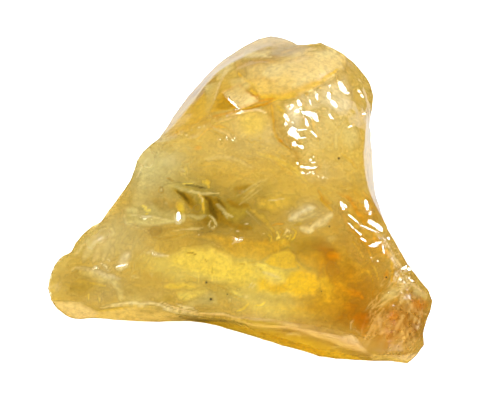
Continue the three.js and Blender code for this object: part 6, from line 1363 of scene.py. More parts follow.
    ("S", RUST, 0.575, 0.147, 0.8, ((5.58, 5.04), (5.87, 4.46), (6.45, 4.02))),
    ("P", GOLD, 0.9, 0.110, 0.5, ((-10.48, -3.62), (-8.78, -3.31), (-7.32, -3.34), (-5.87, -3.45), (-4.43, -3.96), (-2.98, -4.35), (-1.37, -4.39), (0.22, -4.75), (1.53, -5.03), (3.12, -5.24), (4.56, -5.52), (5.86, -5.95), (7.16, -6.53), (8.75, -7.04), (10.35, -7.26), (10.35, -7.70), (7.90, -7.57), (5.73, -6.99), (4.28, -6.50), (2.55, -5.93), (0.66, -5.20), (-0.65, -4.93), (-2.63, -4.82), (-4.46, -4.82), (-6.65, -4.75), (-8.84, -4.60), (-10.88, -4.44))),
    ("P", SAND, 0.85, 0.147, 0.7, ((-13.18, -3.19), (-10.26, -3.62), (-8.05, -3.34), (-5.87, -3.52), (-3.98, -3.88), (-2.54, -4.25), (-3.29, -4.75), (-5.92, -4.75), (-8.84, -4.60), (-10.88, -4.44), (-12.76, -4.00), (-13.64, -3.34))),
    ("P", AMBER, 0.7, 0.183, 0.8, ((1.53, -5.34), (3.27, -5.61), (4.86, -6.11), (6.45, -6.68), (8.04, -7.12), (7.18, -7.42), (5.44, -6.85), (3.56, -6.28), (1.82, -5.72))),
    ("P", OLIVE, 0.5, 0.183, 0.8, ((-2.55, -4.50), (-1.09, -4.54), (0.51, -4.97), (2.11, -5.25), (1.53, -5.57), (-0.07, -5.15), (-1.68, -4.89))),
    ("S", BROWN, 0.5, 0.088, 0.7, ((0.22, -4.90), (1.53, -5.19), (2.83, -5.62), (4.28, -6.20))),
    ("S", YELLOW, 0.7, 0.088, 0.7, ((-1.97, -4.73), (-0.65, -4.93), (0.80, -5.36), (2.26, -5.93))),
    ("S", YELLOW, 0.6, 0.103, 0.7, ((3.26, -5.54), (4.28, -5.82), (5.29, -6.26))),
    ("S", YELLOW, 0.6, 0.088, 0.7, ((4.28, -6.42), (5.73, -6.92), (7.32, -7.35))),
    ("S", LEMON, 0.5, 0.073, 0.7, ((-6.80, -4.60), (-5.78, -4.57), (-4.61, -4.60))),
    ("S", CREAM, 0.45, 0.147, 0.8, ((-10.29, -4.30), (-9.12, -4.29), (-8.10, -4.45))),
    ("P", SLATE, 0.75, 0.147, 0.8, ((-8.21, -3.65), (-6.89, -3.49), (-5.58, -3.63), (-5.88, -3.86), (-7.34, -3.87))),
    ("S", SLATE, 0.7, 0.117, 0.8, ((-6.74, -3.35), (-5.73, -3.56), (-4.71, -3.86), (-3.70, -4.12), (-2.69, -4.34))),
    ("S", SLATE, 0.85, 0.125, 0.7, ((-4.58, -4.07), (-3.57, -4.33), (-2.55, -4.39), (-1.37, -4.36), (-0.28, -4.49), (0.51, -4.67))),
    ("S", DARK, 0.5, 0.066, 0.7, ((-4.15, -4.20), (-3.13, -4.38), (-1.96, -4.40))),
    ("S", OLIVE, 0.5, 0.088, 0.7, ((-5.31, -4.05), (-4.16, -4.45), (-3.00, -4.67))),
    ("S", BROWN, 0.85, 0.088, 0.6, ((1.81, -4.85), (2.39, -5.02), (3.04, -5.10), (3.84, -5.05), (4.59, -5.30))),
    ("S", OLIVE, 0.6, 0.103, 0.7, ((2.54, -5.32), (3.55, -5.23), (4.56, -5.52), (5.43, -5.88))),
    ("S", CREAM, 0.75, 0.117, 0.7, ((3.26, -5.36), (3.84, -5.23), (4.42, -5.45))),
    ("S", BROWN, 0.8, 0.081, 0.6, ((5.57, -5.58), (6.15, -5.87), (6.72, -6.16), (7.31, -6.60))),
    ("S", CREAM, 0.9, 0.095, 0.6, ((6.65, -6.31), (7.01, -6.16), (7.37, -6.08))),
    ("P", PINK, 0.9, 0.110, 0.5, ((-13.72, -3.02), (-12.73, -3.07), (-11.70, -3.10), (-10.98, -3.39), (-10.34, -3.77), (-10.87, -4.15), (-12.04, -4.34), (-12.76, -3.97), (-13.41, -3.44))),
    ("S", CREAM, 0.5, 0.088, 0.8, ((-12.74, -3.25), (-11.86, -3.40), (-11.14, -3.77))),
    ("S", BROWN, 0.3, 0.051, 0.6, ((-11.41, -3.17), (-10.98, -3.47), (-10.55, -3.69))),
    ("S", CREAM, 0.9, 0.110, 0.6, ((-10.47, -3.44), (-9.66, -3.31), (-8.78, -3.22), (-8.05, -3.20), (-7.33, -3.26), (-6.60, -3.19), (-6.02, -3.27), (-5.43, -3.52), (-4.85, -3.73), (-3.98, -3.88), (-2.97, -4.10))),
    ("S", PINK, 0.9, 0.095, 0.6, ((-5.87, -3.13), (-5.00, -3.44), (-4.13, -3.70), (-3.18, -3.91), (-2.24, -3.98), (-1.37, -3.98), (-0.50, -4.22), (0.44, -4.51), (1.24, -4.73))),
    ("S", CREAM, 0.7, 0.088, 0.6, ((-4.71, -3.23), (-4.13, -3.51), (-3.55, -3.58), (-3.11, -3.80))),
    ("S", PINK, 0.95, 0.147, 0.6, ((0.22, -4.49), (1.09, -4.69), (1.96, -4.79), (2.82, -4.75), (3.69, -4.75), (4.41, -4.95))),
    ("P", PINK, 0.95, 0.103, 0.6, ((3.11, -4.68), (4.12, -4.71), (5.13, -4.95), (6.14, -5.18), (7.14, -5.42), (8.00, -5.41), (8.43, -5.77), (9.01, -6.34), (9.30, -6.63), (8.30, -6.50), (7.30, -6.23), (6.14, -5.80), (5.14, -5.51), (4.12, -5.11))),
    ("S", CREAM, 0.6, 0.103, 0.7, ((4.70, -5.07), (5.71, -5.36), (6.72, -5.72), (7.72, -6.15))),
    ("S", CREAM, 0.3, 0.073, 0.7, ((5.27, -5.07), (6.28, -5.28), (7.29, -5.56))),
    ("P", PINK, 0.9, 0.103, 0.5, ((9.01, -6.56), (10.01, -6.67), (11.31, -6.77), (12.33, -6.64), (12.79, -6.66), (12.35, -7.09), (11.78, -7.46), (10.50, -7.41), (9.48, -7.26))),
    ("S", CREAM, 0.5, 0.088, 0.7, ((9.75, -6.94), (10.90, -7.09), (11.90, -7.07))),
    ("S", BROWN, 0.8, 0.073, 0.6, ((8.60, -6.85), (9.02, -6.80), (9.44, -6.68))),
    ("S", CREAM, 0.5, 0.073, 0.7, ((8.00, -5.55), (8.58, -6.13), (9.16, -6.64))),
    ("P", AMBER, 0.54, 0.440, 0.95, ((6.74, 5.18), (8.50, 5.48), (9.65, 3.30), (11.07, 0.12), (10.18, -0.45), (8.75, 0.99), (7.46, 3.16))),
    ("S", RUST, 0.48, 0.176, 0.9, ((7.03, 4.89), (7.47, 4.46), (8.05, 3.88), (8.62, 3.15))),
    ("S", ORANGE, 0.36, 0.176, 0.9, ((8.64, 5.04), (9.08, 4.46), (9.51, 3.44), (10.09, 2.57))),
    ("S", RUST, 0.36, 0.117, 0.9, ((8.04, 3.30), (8.76, 2.72), (9.63, 1.71), (10.06, 0.99))),
    ("P", SAND, 0.24, 0.367, 0.95, ((10.59, -2.89), (11.75, -2.60), (12.18, -3.61), (11.73, -5.04), (11.15, -6.18), (10.29, -6.19), (9.87, -5.04))),
    ("P", ORANGE, 0.42, 0.257, 0.9, ((6.15, 0.62), (6.73, 0.77), (7.09, 0.48), (7.02, 0.05), (6.44, -0.10), (6.08, 0.12))),
    ("P", BROWN, 0.54, 0.293, 0.9, ((7.52, 0.41), (8.17, 0.27), (8.38, -0.60), (8.16, -1.61), (7.59, -1.47), (7.38, -0.46))),
    ("P", GOLD, 0.3, 0.367, 0.95, ((8.46, -0.17), (9.32, -0.02), (9.82, -0.59), (9.60, -1.31), (8.88, -1.46), (8.38, -0.89))),
    ("P", ORANGE, 0.264, 0.367, 0.95, ((6.65, -1.90), (7.88, -1.97), (9.02, -2.04), (9.45, -2.61), (8.59, -2.97), (7.30, -2.83), (6.51, -2.62))),
    ("P", YELLOW, 0.66, 0.293, 0.9, ((5.57, -1.04), (6.44, -1.11), (6.65, -1.97), (6.43, -3.05), (5.64, -3.13))),
    ("P", RUST, 0.336, 0.367, 0.95, ((6.86, -3.91), (8.01, -3.69), (9.16, -3.76), (9.15, -4.62), (8.01, -4.77), (7.00, -4.56))),
    ("S", GOLD, 0.72, 0.073, 0.7, ((9.32, -0.16), (9.75, -0.74), (9.96, -1.46))),
    ("S", YELLOW, 0.6, 0.059, 0.7, ((9.03, -0.74), (9.46, -1.17), (9.60, -1.75))),
    ("S", GOLD, 0.6, 0.073, 0.7, ((8.03, 1.42), (8.60, 0.70), (9.03, -0.16))),
    ("S", BROWN, 0.6, 0.073, 0.8, ((7.02, 1.42), (7.60, 0.70), (7.88, -0.17))),
    ("S", AMBER, 0.72, 0.103, 0.8, ((8.32, 2.00), (9.04, 1.13), (9.47, 0.12))),
    ("S", BROWN, 0.6, 0.073, 0.7, ((9.74, -1.89), (10.17, -2.46), (10.45, -2.89))),
    ("P", PALE, 0.72, 0.220, 0.8, ((10.02, -2.61), (10.89, -1.74), (11.61, -1.74), (11.46, -2.46), (10.73, -3.17), (10.02, -3.54))),
    ("P", RUST, 0.48, 0.191, 0.8, ((10.66, -3.75), (11.38, -3.67), (11.52, -4.18), (11.15, -4.68), (10.65, -4.60))),
    ("P", RUST, 0.48, 0.191, 0.8, ((12.18, -2.96), (13.24, -2.92), (13.47, -3.50), (12.93, -4.21), (12.17, -3.89))),
    ("S", CREAM, 0.96, 0.066, 0.6, ((9.52, -3.51), (9.95, -3.32), (10.38, -3.08))),
    ("S", CREAM, 0.96, 0.059, 0.6, ((11.71, -3.82), (11.37, -4.46), (11.08, -5.04), (10.91, -5.90))),
    ("S", CREAM, 0.84, 0.059, 0.6, ((9.22, -5.05), (9.59, -4.33), (10.02, -3.75))),
    ("S", CREAM, 0.84, 0.059, 0.6, ((8.86, -5.62), (9.29, -5.19), (9.58, -4.76))),
    ("S", WHITE, 0.6, 0.117, 0.8, ((9.87, -4.25), (10.01, -4.75), (10.08, -5.40))),
    ("S", PINK, 0.84, 0.073, 0.7, ((10.13, 1.20), (10.49, 0.55), (10.92, -0.02), (11.35, -0.60))),
    ("S", WHITE, 0.6, 0.059, 0.7, ((10.29, 1.71), (10.64, 0.98), (11.00, 0.34))),
    ("S", CREAM, 0.72, 0.073, 0.7, ((11.17, -2.60), (11.53, -2.17), (11.84, -1.67))),
    ("S", CREAM, 0.84, 0.066, 0.6, ((11.42, -3.10), (11.53, -2.67), (11.58, -2.32))),
    ("P", PALE, 0.84, 0.176, 0.8, ((12.35, -2.04), (13.10, -2.27), (13.55, -2.71), (12.94, -2.77), (12.34, -2.54))),
    ("B", ORANGE, 0.72, 0.00, 0.8, ((10.47, -1.03), (0.293, 0.660, -10))),
    ("S", WHITE, 0.42, 0.220, 0.95, ((3.55, 2.79), (4.21, 3.30), (5.00, 3.73))),
    ("P", RESIN, 0.54, 0.440, 0.9, ((-4.48, 10.33), (-3.31, 11.67), (-1.99, 12.85), (-0.37, 13.27), (0.66, 12.20), (0.22, 11.61), (-0.95, 11.92), (-1.97, 10.74), (-3.28, 9.57), (-4.45, 9.28))),
    ("P", HONEY, 0.6, 0.293, 0.9, ((0.66, 12.65), (1.53, 11.89), (2.84, 11.74), (4.67, 12.19), (6.51, 12.95), (7.64, 13.73), (7.57, 14.10), (6.14, 13.31), (4.30, 12.70), (2.84, 12.41), (1.53, 12.94))),
    # painted glow, at the right end of the glow band
    ("P", PAINTED_GLOW_GOLD, 0.36, 0.440, 0.95, ((5.14, -1.62), (6.44, -1.47), (7.01, -2.33), (6.72, -3.34), (5.42, -3.49), (4.85, -2.77))),
    ("P", WHITE, 0.48, 0.257, 0.9, ((-9.01, -0.19), (-8.65, 0.53), (-8.14, 0.68), (-7.99, 0.24), (-8.28, -0.48), (-8.79, -0.84))),
    ("S", WHITE, 0.48, 0.161, 0.9, ((-6.90, 0.46), (-6.39, 0.61), (-5.88, 0.39), (-5.37, 0.25))),
    ("S", WHITE, 0.42, 0.257, 0.95, ((-12.16, -0.63), (-11.27, -0.78), (-10.39, -0.99), (-9.51, -1.21), (-8.86, -1.42))),
    ("S", CREAM, 0.48, 0.088, 0.8, ((-9.83, 1.98), (-9.54, 2.20), (-9.24, 1.91), (-9.46, 1.62), (-9.76, 1.77))),
    ("P", PALE, 0.48, 0.220, 0.9, ((-0.96, 12.98), (0.07, 13.41), (0.66, 12.80), (0.37, 12.20), (-0.51, 12.07))),
    # painted highlight: a white patch on the shoulder stands for the mass of lamp glints there
    ("P", WHITE, 0.54, 0.293, 0.9, ((3.28, 11.01), (4.29, 11.30), (4.58, 10.12), (4.29, 9.10), (3.71, 8.96), (3.13, 9.84))),
    ("P", YELLOW, 0.36, 0.293, 0.9, ((-0.36, 10.58), (0.66, 10.87), (1.68, 10.72), (1.97, 9.99), (1.53, 9.11), (0.80, 8.68), (-0.07, 9.12), (-0.43, 9.85))),
    ("B", BROWN, 0.6, 0.00, 0.7, ((0.44, 8.93), (0.117, 0.066, -20))),
    ("B", BROWN, 0.6, 0.00, 0.7, ((0.84, 8.68), (0.110, 0.059, 10))),
    ("B", BROWN, 0.72, 0.00, 0.7, ((1.28, 8.86), (0.139, 0.103, -0))),
    # painted highlights: two dotted white lines along the top edge of the crest
    ("S", WHITE, 0.6, 0.066, 0.5, ((-0.22, 10.68), (0.15, 10.83), (0.51, 10.77))),
    ("S", WHITE, 0.6, 0.066, 0.5, ((0.80, 10.87), (1.24, 10.94), (1.75, 10.72))),
    ("S", BROWN, 0.6, 0.088, 0.8, ((-2.55, 9.64), (-1.96, 9.34), (-1.38, 9.05), (-0.73, 8.75))),
    ("S", PINK, 0.6, 0.103, 0.8, ((-2.26, 9.71), (-1.67, 9.41), (-1.02, 9.19), (-0.58, 8.75))),
    # painted glints: a row of small white dots along the ridge
    ("B", WHITE, 1, 0.00, 0.4, ((-4.74, 9.06), (0.088, 0.066, -0))),
    ("B", WHITE, 1, 0.00, 0.4, ((-4.31, 9.18), (0.073, 0.059, -0))),
    ("B", WHITE, 0.96, 0.00, 0.4, ((-4.01, 9.06), (0.095, 0.059, -20))),
    ("B", WHITE, 0.96, 0.00, 0.4, ((-3.57, 9.45), (0.095, 0.059, -0))),
    ("B", WHITE, 1, 0.00, 0.4, ((-3.06, 9.61), (0.110, 0.059, -10))),
    ("B", WHITE, 0.96, 0.00, 0.4, ((-2.70, 9.68), (0.088, 0.059, -0))),
    ("S", BROWN, 0.72, 0.117, 0.8, ((-0.07, 10.80), (0.66, 11.01), (1.53, 11.23), (2.26, 11.45))),
    ("S", ORANGE, 0.6, 0.257, 0.9, ((7.61, 4.60), (8.05, 3.88), (8.48, 3.30), (9.05, 2.43))),
    ("S", ORANGE, 0.48, 0.220, 0.9, ((9.48, 1.71), (10.05, 0.84), (10.62, -0.02))),
    ("S", RUST, 0.42, 0.220, 0.9, ((7.03, 3.88), (7.60, 2.72), (8.32, 1.71), (8.89, 0.99))),
    ("P", STRAW, 0.96, 0.367, 0.9, ((2.85, 13.68), (4.32, 14.44), (5.95, 14.90), (7.44, 14.78), (7.12, 14.01), (5.63, 13.23), (4.01, 12.78), (2.70, 12.93))),
    ("P", WHITE, 0.3, 0.440, 0.95, ((4.01, 12.19), (5.92, 12.79), (7.72, 13.73), (8.45, 12.41), (7.95, 10.44), (6.47, 10.71), (4.87, 10.70), (4.15, 11.30))),
    ("P", HONEY, 0.6, 0.293, 0.9, ((0.36, 13.10), (1.53, 13.39), (3.58, 13.37), (4.31, 12.93), (3.57, 12.33), (1.82, 12.19), (0.66, 12.35))),
    ("P", RESIN, 0.54, 0.367, 0.9, ((-4.52, 10.98), (-3.62, 11.85), (-2.57, 12.10), (-1.83, 11.49), (-1.68, 10.74), (-2.70, 10.01), (-4.02, 9.57), (-4.77, 10.04))),
    # painted glow, low on the right
    ("P", PAINTED_GLOW_GOLD, 0.42, 0.513, 0.95, ((4.85, -2.63), (6.44, -2.48), (7.73, -2.90), (7.87, -3.77), (6.72, -4.49), (4.99, -4.21))),
    ("P", RUST, 0.3, 0.367, 0.9, ((8.73, -4.19), (11.45, -4.03), (11.73, -5.04), (11.15, -6.18), (9.43, -6.48), (8.29, -5.77))),
    ("P", RESIN, 0.216, 0.293, 0.9, ((5.56, -5.36), (7.15, -5.79), (8.44, -6.50), (7.46, -6.97), (5.87, -6.54), (4.85, -5.81))),
    ("P", RUST, 0.3, 0.440, 0.95, ((8.03, 1.71), (9.77, 1.56), (10.63, 0.41), (10.33, -0.16), (8.75, 0.12), (7.88, 0.84))),
    # painted glints: a white blot and strokes on the knob, where no chip can mirror a lamp
    ("B", WHITE, 1, 0.00, 0.4, ((12.70, -4.48), (0.117, 0.073, 30))),
    ("S", WHITE, 1, 0.066, 0.4, ((12.43, -4.80), (12.85, -4.46))),
    ("S", WHITE, 1, 0.059, 0.4, ((12.55, -5.09), (12.81, -4.78))),
    ("S", PALE, 0.48, 0.117, 0.9, ((3.41, 2.65), (4.13, 2.87), (4.86, 3.08), (5.58, 3.44))),
    ("S", WHITE, 0.42, 0.088, 0.8, ((4.28, 3.44), (4.86, 3.73), (5.44, 3.73))),
    ("S", PALE, 0.54, 0.103, 0.9, ((5.72, 2.43), (6.16, 2.79), (6.59, 3.23))),
    ("S", OLIVE, 0.48, 0.088, 0.9, ((3.70, 2.43), (4.42, 2.58), (5.15, 2.79))),
    ("P", AMBER, 0.36, 0.293, 0.9, ((7.33, 6.64), (8.07, 6.78), (8.94, 4.61), (9.51, 3.30), (8.77, 3.15), (7.91, 4.60))),
    ("S", RUST, 0.42, 0.147, 0.9, ((8.34, 4.31), (8.92, 3.30), (9.49, 2.29))),
    ("P", RUST, 0.24, 0.440, 0.95, ((10.62, -0.16), (11.51, -0.17), (12.08, -1.18), (11.61, -2.03), (10.60, -1.60))),
    # painted glow, at the right end of the glow band
    ("P", PAINTED_GLOW_GOLD, 0.384, 0.513, 0.95, ((5.57, -1.18), (7.02, -0.89), (8.02, -1.46), (8.16, -2.76), (7.44, -3.48), (5.86, -3.49))),
    ("P", RUST, 0.24, 0.440, 0.95, ((7.59, -0.17), (9.46, -0.16), (9.89, -1.60), (8.31, -2.04), (7.45, -1.18))),
    ("P", GREY, 0.24, 0.440, 0.95, ((-7.35, 3.88), (-5.45, 3.88), (-5.01, 2.72), (-5.88, 1.99), (-7.20, 2.28))),
    ("P", CREAM, 0.36, 0.220, 0.9, ((-0.81, 13.12), (0.22, 13.41), (0.66, 12.65), (0.22, 12.20), (-0.51, 12.21))),
    ("P", CREAM, 0.216, 0.367, 0.95, ((1.24, -0.90), (2.54, -0.90), (3.26, -1.77), (1.96, -2.06))),
    ("P", LEMON, 0.24, 0.440, 0.95, ((3.55, -3.71), (6.14, -3.70), (6.43, -4.49), (4.27, -4.49))),
    ("P", CREAM, 0.18, 0.440, 0.95, ((-7.62, -2.08), (-5.73, -2.07), (-5.44, -3.08), (-7.33, -3.09))),
]
# fields of fine scratches and needles: x, y, half-widths (mm), turn, spread (degrees), count, length (mm), half-width, colour, strength
FIELDS = [
    (0.66, 7.58, 4.40, 2.05, -24, 12, 48, 1.91, 0.051, CREAM, 0.21),
    (0.66, 7.58, 4.40, 2.05, -24, 14, 40, 1.61, 0.044, BROWN, 0.17),
    (-5.17, 6.14, 2.93, 1.91, 30, 30, 24, 1.32, 0.059, CREAM, 0.17),
    (-0.79, 3.95, 5.13, 1.61, 30, 35, 56, 1.03, 0.059, GREY, 0.21),
    (-0.79, 3.95, 4.40, 1.61, -20, 40, 48, 0.88, 0.051, BROWN, 0.21),
    (-8.80, 1.04, 3.30, 1.61, 62, 14, 40, 1.47, 0.059, CREAM, 0.18),
    (-9.51, -1.86, 3.30, 1.32, -10, 30, 24, 1.03, 0.059, CREAM, 0.15),
    (-9.51, -1.86, 3.30, 1.32, -10, 30, 24, 1.03, 0.059, OLIVE, 0.21),
    (-0.07, -0.04, 5.50, 1.17, -8, 25, 40, 1.03, 0.051, LEMON, 0.24),
    (-0.07, -0.04, 5.50, 1.17, -12, 30, 32, 0.88, 0.044, BROWN, 0.18),
    (0.66, -2.93, 5.50, 1.17, -6, 25, 32, 1.03, 0.059, YELLOW, 0.24),
    (0.66, -2.93, 5.50, 1.03, -6, 30, 24, 0.88, 0.059, OLIVE, 0.18),
    (7.16, -0.75, 2.64, 2.93, 20, 50, 40, 1.03, 0.059, AMBER, 0.21),
    (7.16, -0.75, 2.64, 2.93, 20, 50, 32, 1.03, 0.059, GOLD, 0.18),
    (11.08, -4.32, 2.49, 2.35, 62, 14, 60, 1.47, 0.059, CREAM, .45),
    (11.08, -4.32, 2.49, 2.35, 62, 18, 40, 1.17, 0.059, RUST, .45),
    (11.47, -1.81, 1.32, 1.17, 50, 40, 30, 0.59, 0.059, PINK, .5),
    (5.73, 9.39, 2.35, 3.08, -55, 40, 48, 0.88, 0.066, CREAM, 0.21),
    (5.73, 9.39, 2.35, 3.08, -55, 40, 40, 0.73, 0.059, AMBER, 0.21),
    (4.32, 13.98, 2.93, 1.32, 10, 20, 24, 1.61, 0.073, AMBER, 0.13),
    (4.32, 13.98, 2.93, 1.32, 10, 20, 24, 1.61, 0.073, CREAM, 0.13),
    (-0.07, -5.53, 4.40, 0.44, -12, 6, 24, 1.91, 0.066, YELLOW, 0.24),
    (5.72, -6.55, 3.67, 0.59, -14, 6, 24, 1.91, 0.066, AMBER, 0.27),
    (-2.98, -4.26, 4.40, 0.37, -4, 6, 19, 1.76, 0.066, GREY, 0.24),
    (3.19, 1.27, 1.03, 0.73, -0, 90, 32, 0.44, 0.051, LEMON, 0.36),
    (3.19, 1.27, 1.03, 0.73, -0, 90, 24, 0.44, 0.051, BROWN, 0.30),
    (11.48, -1.10, 0.59, 0.59, 50, 50, 46, 0.25, 0.040, WHITE, .8),
    (11.48, -1.10, 0.66, 0.66, 40, 50, 30, 0.29, 0.044, BROWN, .6),
    (11.81, -4.18, 1.61, 1.76, 60, 40, 60, 0.44, 0.044, CREAM, .6),
    (11.81, -4.18, 1.61, 1.76, 60, 40, 40, 0.44, 0.044, RUST, .6),
    (10.93, 0.41, 0.44, 1.03, -60, 30, 40, 0.29, 0.044, PINK, .6),
    (7.88, -1.46, 2.49, 2.49, 30, 60, 48, 0.59, 0.051, AMBER, 0.24),
    (7.88, -1.46, 2.49, 2.49, 30, 60, 48, 0.59, 0.051, GOLD, 0.24),
    (10.01, -4.61, 0.73, 1.17, 60, 30, 40, 0.37, 0.040, CREAM, .7),
]


def cover_line(p, path, half, soft, taper):
    path = np.array(path)
    seg = np.linalg.norm(np.diff(path, axis=0), axis=1)
    run = np.concatenate([[0], np.cumsum(seg)])
    best = np.full(len(p), 9.0)
    for k, (a, b) in enumerate(zip(path[:-1], path[1:])):
        e = b - a
        t = np.clip(((p - a) @ e) / max(e @ e, 1e-9), 0, 1)
        s = (run[k] + t * seg[k]) / run[-1]
        wide = half * (0.25 + 0.75 * np.sqrt(np.clip(4 * s * (1 - s), 0, 1)) if taper else 1.0)
        best = np.minimum(best, np.hypot(*(p - a - t[:, None] * e).T) / wide)
    return 1 - smooth(best, 1 - soft, 1 + 0.35 * soft)


def cover_patch(p, path, half, soft):
    path = np.array(path)
    inside = np.zeros(len(p), bool)
    dist = np.full(len(p), 9.0)
    for a, b in zip(path, np.roll(path, -1, axis=0)):
        cross = (a[1] > p[:, 1]) != (b[1] > p[:, 1])
        dy = b[1] - a[1] if abs(b[1] - a[1]) > 1e-9 else 1e-9
        inside ^= cross & (p[:, 0] < (b[0] - a[0]) * (p[:, 1] - a[1]) / dy + a[0])
        e = b - a
        t = np.clip(((p - a) @ e) / max(e @ e, 1e-9), 0, 1)
        dist = np.minimum(dist, np.hypot(*(p - a - t[:, None] * e).T))
    return smooth(np.where(inside, dist, -dist), -half * 0.5, half * 0.5 + half * soft)


def lay_marks(p, tone, veil):
    """Lays every mark into the colour and the density of a sheet."""
    rng = np.random.default_rng(11)
    marks = []
    for x, y, rx, ry, turn, spread, count, length, half, colour, dense in FIELDS:
        for _ in range(count):
            r, th = math.sqrt(rng.random()), rng.random() * 2 * math.pi
            cx, cy = x + rx * r * math.cos(th), y + ry * r * math.sin(th)
            a = math.radians(turn + spread * rng.normal())
            ln = length * (0.4 + 0.9 * rng.random()) / 2
            bend = ln * 0.25 * rng.normal()
            c, s = math.cos(a), math.sin(a)
            path = [(cx - ln * c, cy - ln * s), (cx - bend * s * 0.6, cy + bend * c * 0.6), (cx + ln * c, cy + ln * s)]
            marks.append(("S", colour, dense * (0.5 + 0.7 * rng.random()), half * (0.6 + 0.8 * rng.random()), 0.8, path))
    near = wander(p, 8, 0.05, 0.035)
    far = wander(p, 9, 0.16, 0.09)
    grain = 1 + 0.30 * vnoise(np.column_stack([p / 0.22, np.full(len(p), 3.3)]), 201) + 0.22 * vnoise(np.column_stack([p / 0.6, np.full(len(p), 7.7)]), 203)
    for kind, colour, dense, half, soft, path in marks + MARKS:
        q = near if half < 0.15 or soft < 0.65 else far
        if kind == "B":
            (x, y), (rx, ry, turn) = path
            low, high = np.array([x, y]) - max(rx, ry) * 1.2, np.array([x, y]) + max(rx, ry) * 1.2
        else:
            low, high = np.min(path, 0) - 1.5 * half - 0.05, np.max(path, 0) + 1.5 * half + 0.05
        m = ((q > low) & (q < high)).all(1)
        if not m.any():
            continue
        if kind == "B":
            f = blob_at(q[m], x, y, rx, ry, turn, soft)
        elif kind == "P":
            f = cover_patch(q[m], path, half, soft)
        else:
            f = cover_line(q[m], path, half, soft, kind == "S")
        rag = grain[m] if kind in "ST" else 1 + 0.35 * (grain[m] - 1)      # patches are smoother than strokes
        f = np.clip(f * dense * rag, 0, 1)
        tone[m] = tone[m] * (1 - f)[:, None] + f[:, None] * colour
        veil[m] = veil[m] * (1 - f) + f
    return tone, veil


def cloud(name, deep, share, seed, gain, opacity, scale, stretch, lo, hi, translucent, mottle=0.13):
    me, pts, fade = sheet_mesh(name, deep, share, seed, every=2)
    p = wander(slope_xy(pts), seed)
    tone = lay(p, ZONES, (0.60, 0.42, 0.10)) * gain
    tone = tone * (1 + mottle * mottles(p, seed))[:, None]
    colour_attribute(me, "tone", buried(tone))
    haze = lay(p, HAZE, opacity)[:, 0] * opacity
    number_attribute(me, "veil", np.clip(haze * fade, 0, 1))
    me.materials.append(veil_material(name + "_veil", scale, stretch, seed, lo, hi, translucent))
    return link(bpy.data.objects.new(name, me))


cloud("cloud_deep", 4.2, 0.55, 1, 0.95, 0.97, 180.0, 1.5, 0.30, 0.62, 0.35, 0.20)


def near_depth(x, y):
    """The near sheet hangs 0.8 mm under the broad face and rises to the skin round it."""
    c, s = math.cos(math.radians(-8)), math.sin(math.radians(-8))
    u, v = x - -0.79, y - 2.50
    r = np.hypot((u * c + v * s) / 9.0, (-u * s + v * c) / 5.5)
    return 0.28 + 0.55 * (1 - smooth(r, 0.55, 1.0))


def near_cloud():
    me, pts, fade = sheet_mesh("cloud_near", near_depth, 0.4, 2, wave=0.1)
    flat = slope_xy(pts)
    p = wander(flat, 2)
    tone = lay(p, ZONES, (0.60, 0.42, 0.10))
    tone = tone * np.clip(1 + 0.26 * mottles(flat, 2), 0.4, 1.6)[:, None]
    veil = np.full(len(p), 0.34) * (1 + 0.4 * mottles(flat + 5.0, 4))
    tone, veil = lay_marks(flat, np.clip(tone, 0, 1), np.clip(veil, 0.08, 0.7))
    colour_attribute(me, "tone", buried(tone))
    number_attribute(me, "veil", np.clip(veil * fade, 0, 1))
    me.materials.append(feather_material("cloud_near_veil"))
    return link(bpy.data.objects.new("cloud_near", me))


# ---- features: feathers, healed cracks, painted glints, bubbles and grains ---------------------
def front_at(x, y):
    """How far out the skin is at a spot of the slope frame."""
    h = march(x, y)
    return h if h else (np.nan, np.nan)


def feather_material(name):
    m = material(name)
    w = Net(m)
    tone = w.node("ShaderNodeAttribute", attribute_name="tone").outputs["Color"]
    veil = w.node("ShaderNodeAttribute", attribute_name="veil").outputs["Fac"]
    n = w.noise(2600.0, 4.0, 0.6).outputs["Fac"]
    alpha = w.math("MULTIPLY", veil, w.ramp(n, 0.25, 0.75, 0.72, 1.2), clamp=True)
    # silky needles, drawn out along two growth directions, and a fine grain between them
    silk = None
    for angle, across, along in ((-22.0, 6500.0, 1100.0), (38.0, 7500.0, 1700.0)):
        turn = w.node("ShaderNodeVectorRotate", rotation_type="AXIS_ANGLE")
        turn.inputs["Axis"].default_value = tuple(OUT)
        turn.inputs["Angle"].default_value = math.radians(-angle)
        w.put(turn.inputs["Vector"], w.pos)
        s = w.noise(1.0, 3.0, 0.6, w.vmath("MULTIPLY", turn.outputs["Vector"], (along, across, across))).outputs["Fac"]
        silk = s if silk is None else w.math("ADD", silk, s)
    silk = w.ramp(w.math("MULTIPLY", silk, 0.5), 0.36, 0.64, 0.92, 1.07)
    grain = w.ramp(w.noise(7000.0, 3.0, 0.65).outputs["Fac"], 0.30, 0.70, 0.94, 1.05)
    tone = w.vmath("MULTIPLY", tone, w.vmath("MULTIPLY", silk, grain))
    dif = w.node("ShaderNodeBsdfDiffuse")
    w.put(dif.inputs["Color"], tone)
    tra = w.node("ShaderNodeBsdfTranslucent")
    w.put(tra.inputs["Color"], tone)
    mx = w.node("ShaderNodeMixShader")
    mx.inputs[0].default_value = 0.22
    w.t.links.new(dif.outputs[0], mx.inputs[1])
    w.t.links.new(tra.outputs[0], mx.inputs[2])
    clear = w.node("ShaderNodeBsdfTransparent")
    top = w.node("ShaderNodeMixShader")
    w.put(top.inputs[0], alpha)
    w.t.links.new(clear.outputs[0], top.inputs[1])
    w.t.links.new(mx.outputs[0], top.inputs[2])
    w.t.links.new(top.outputs[0], w.out.inputs["Surface"])
    return m


near_cloud()



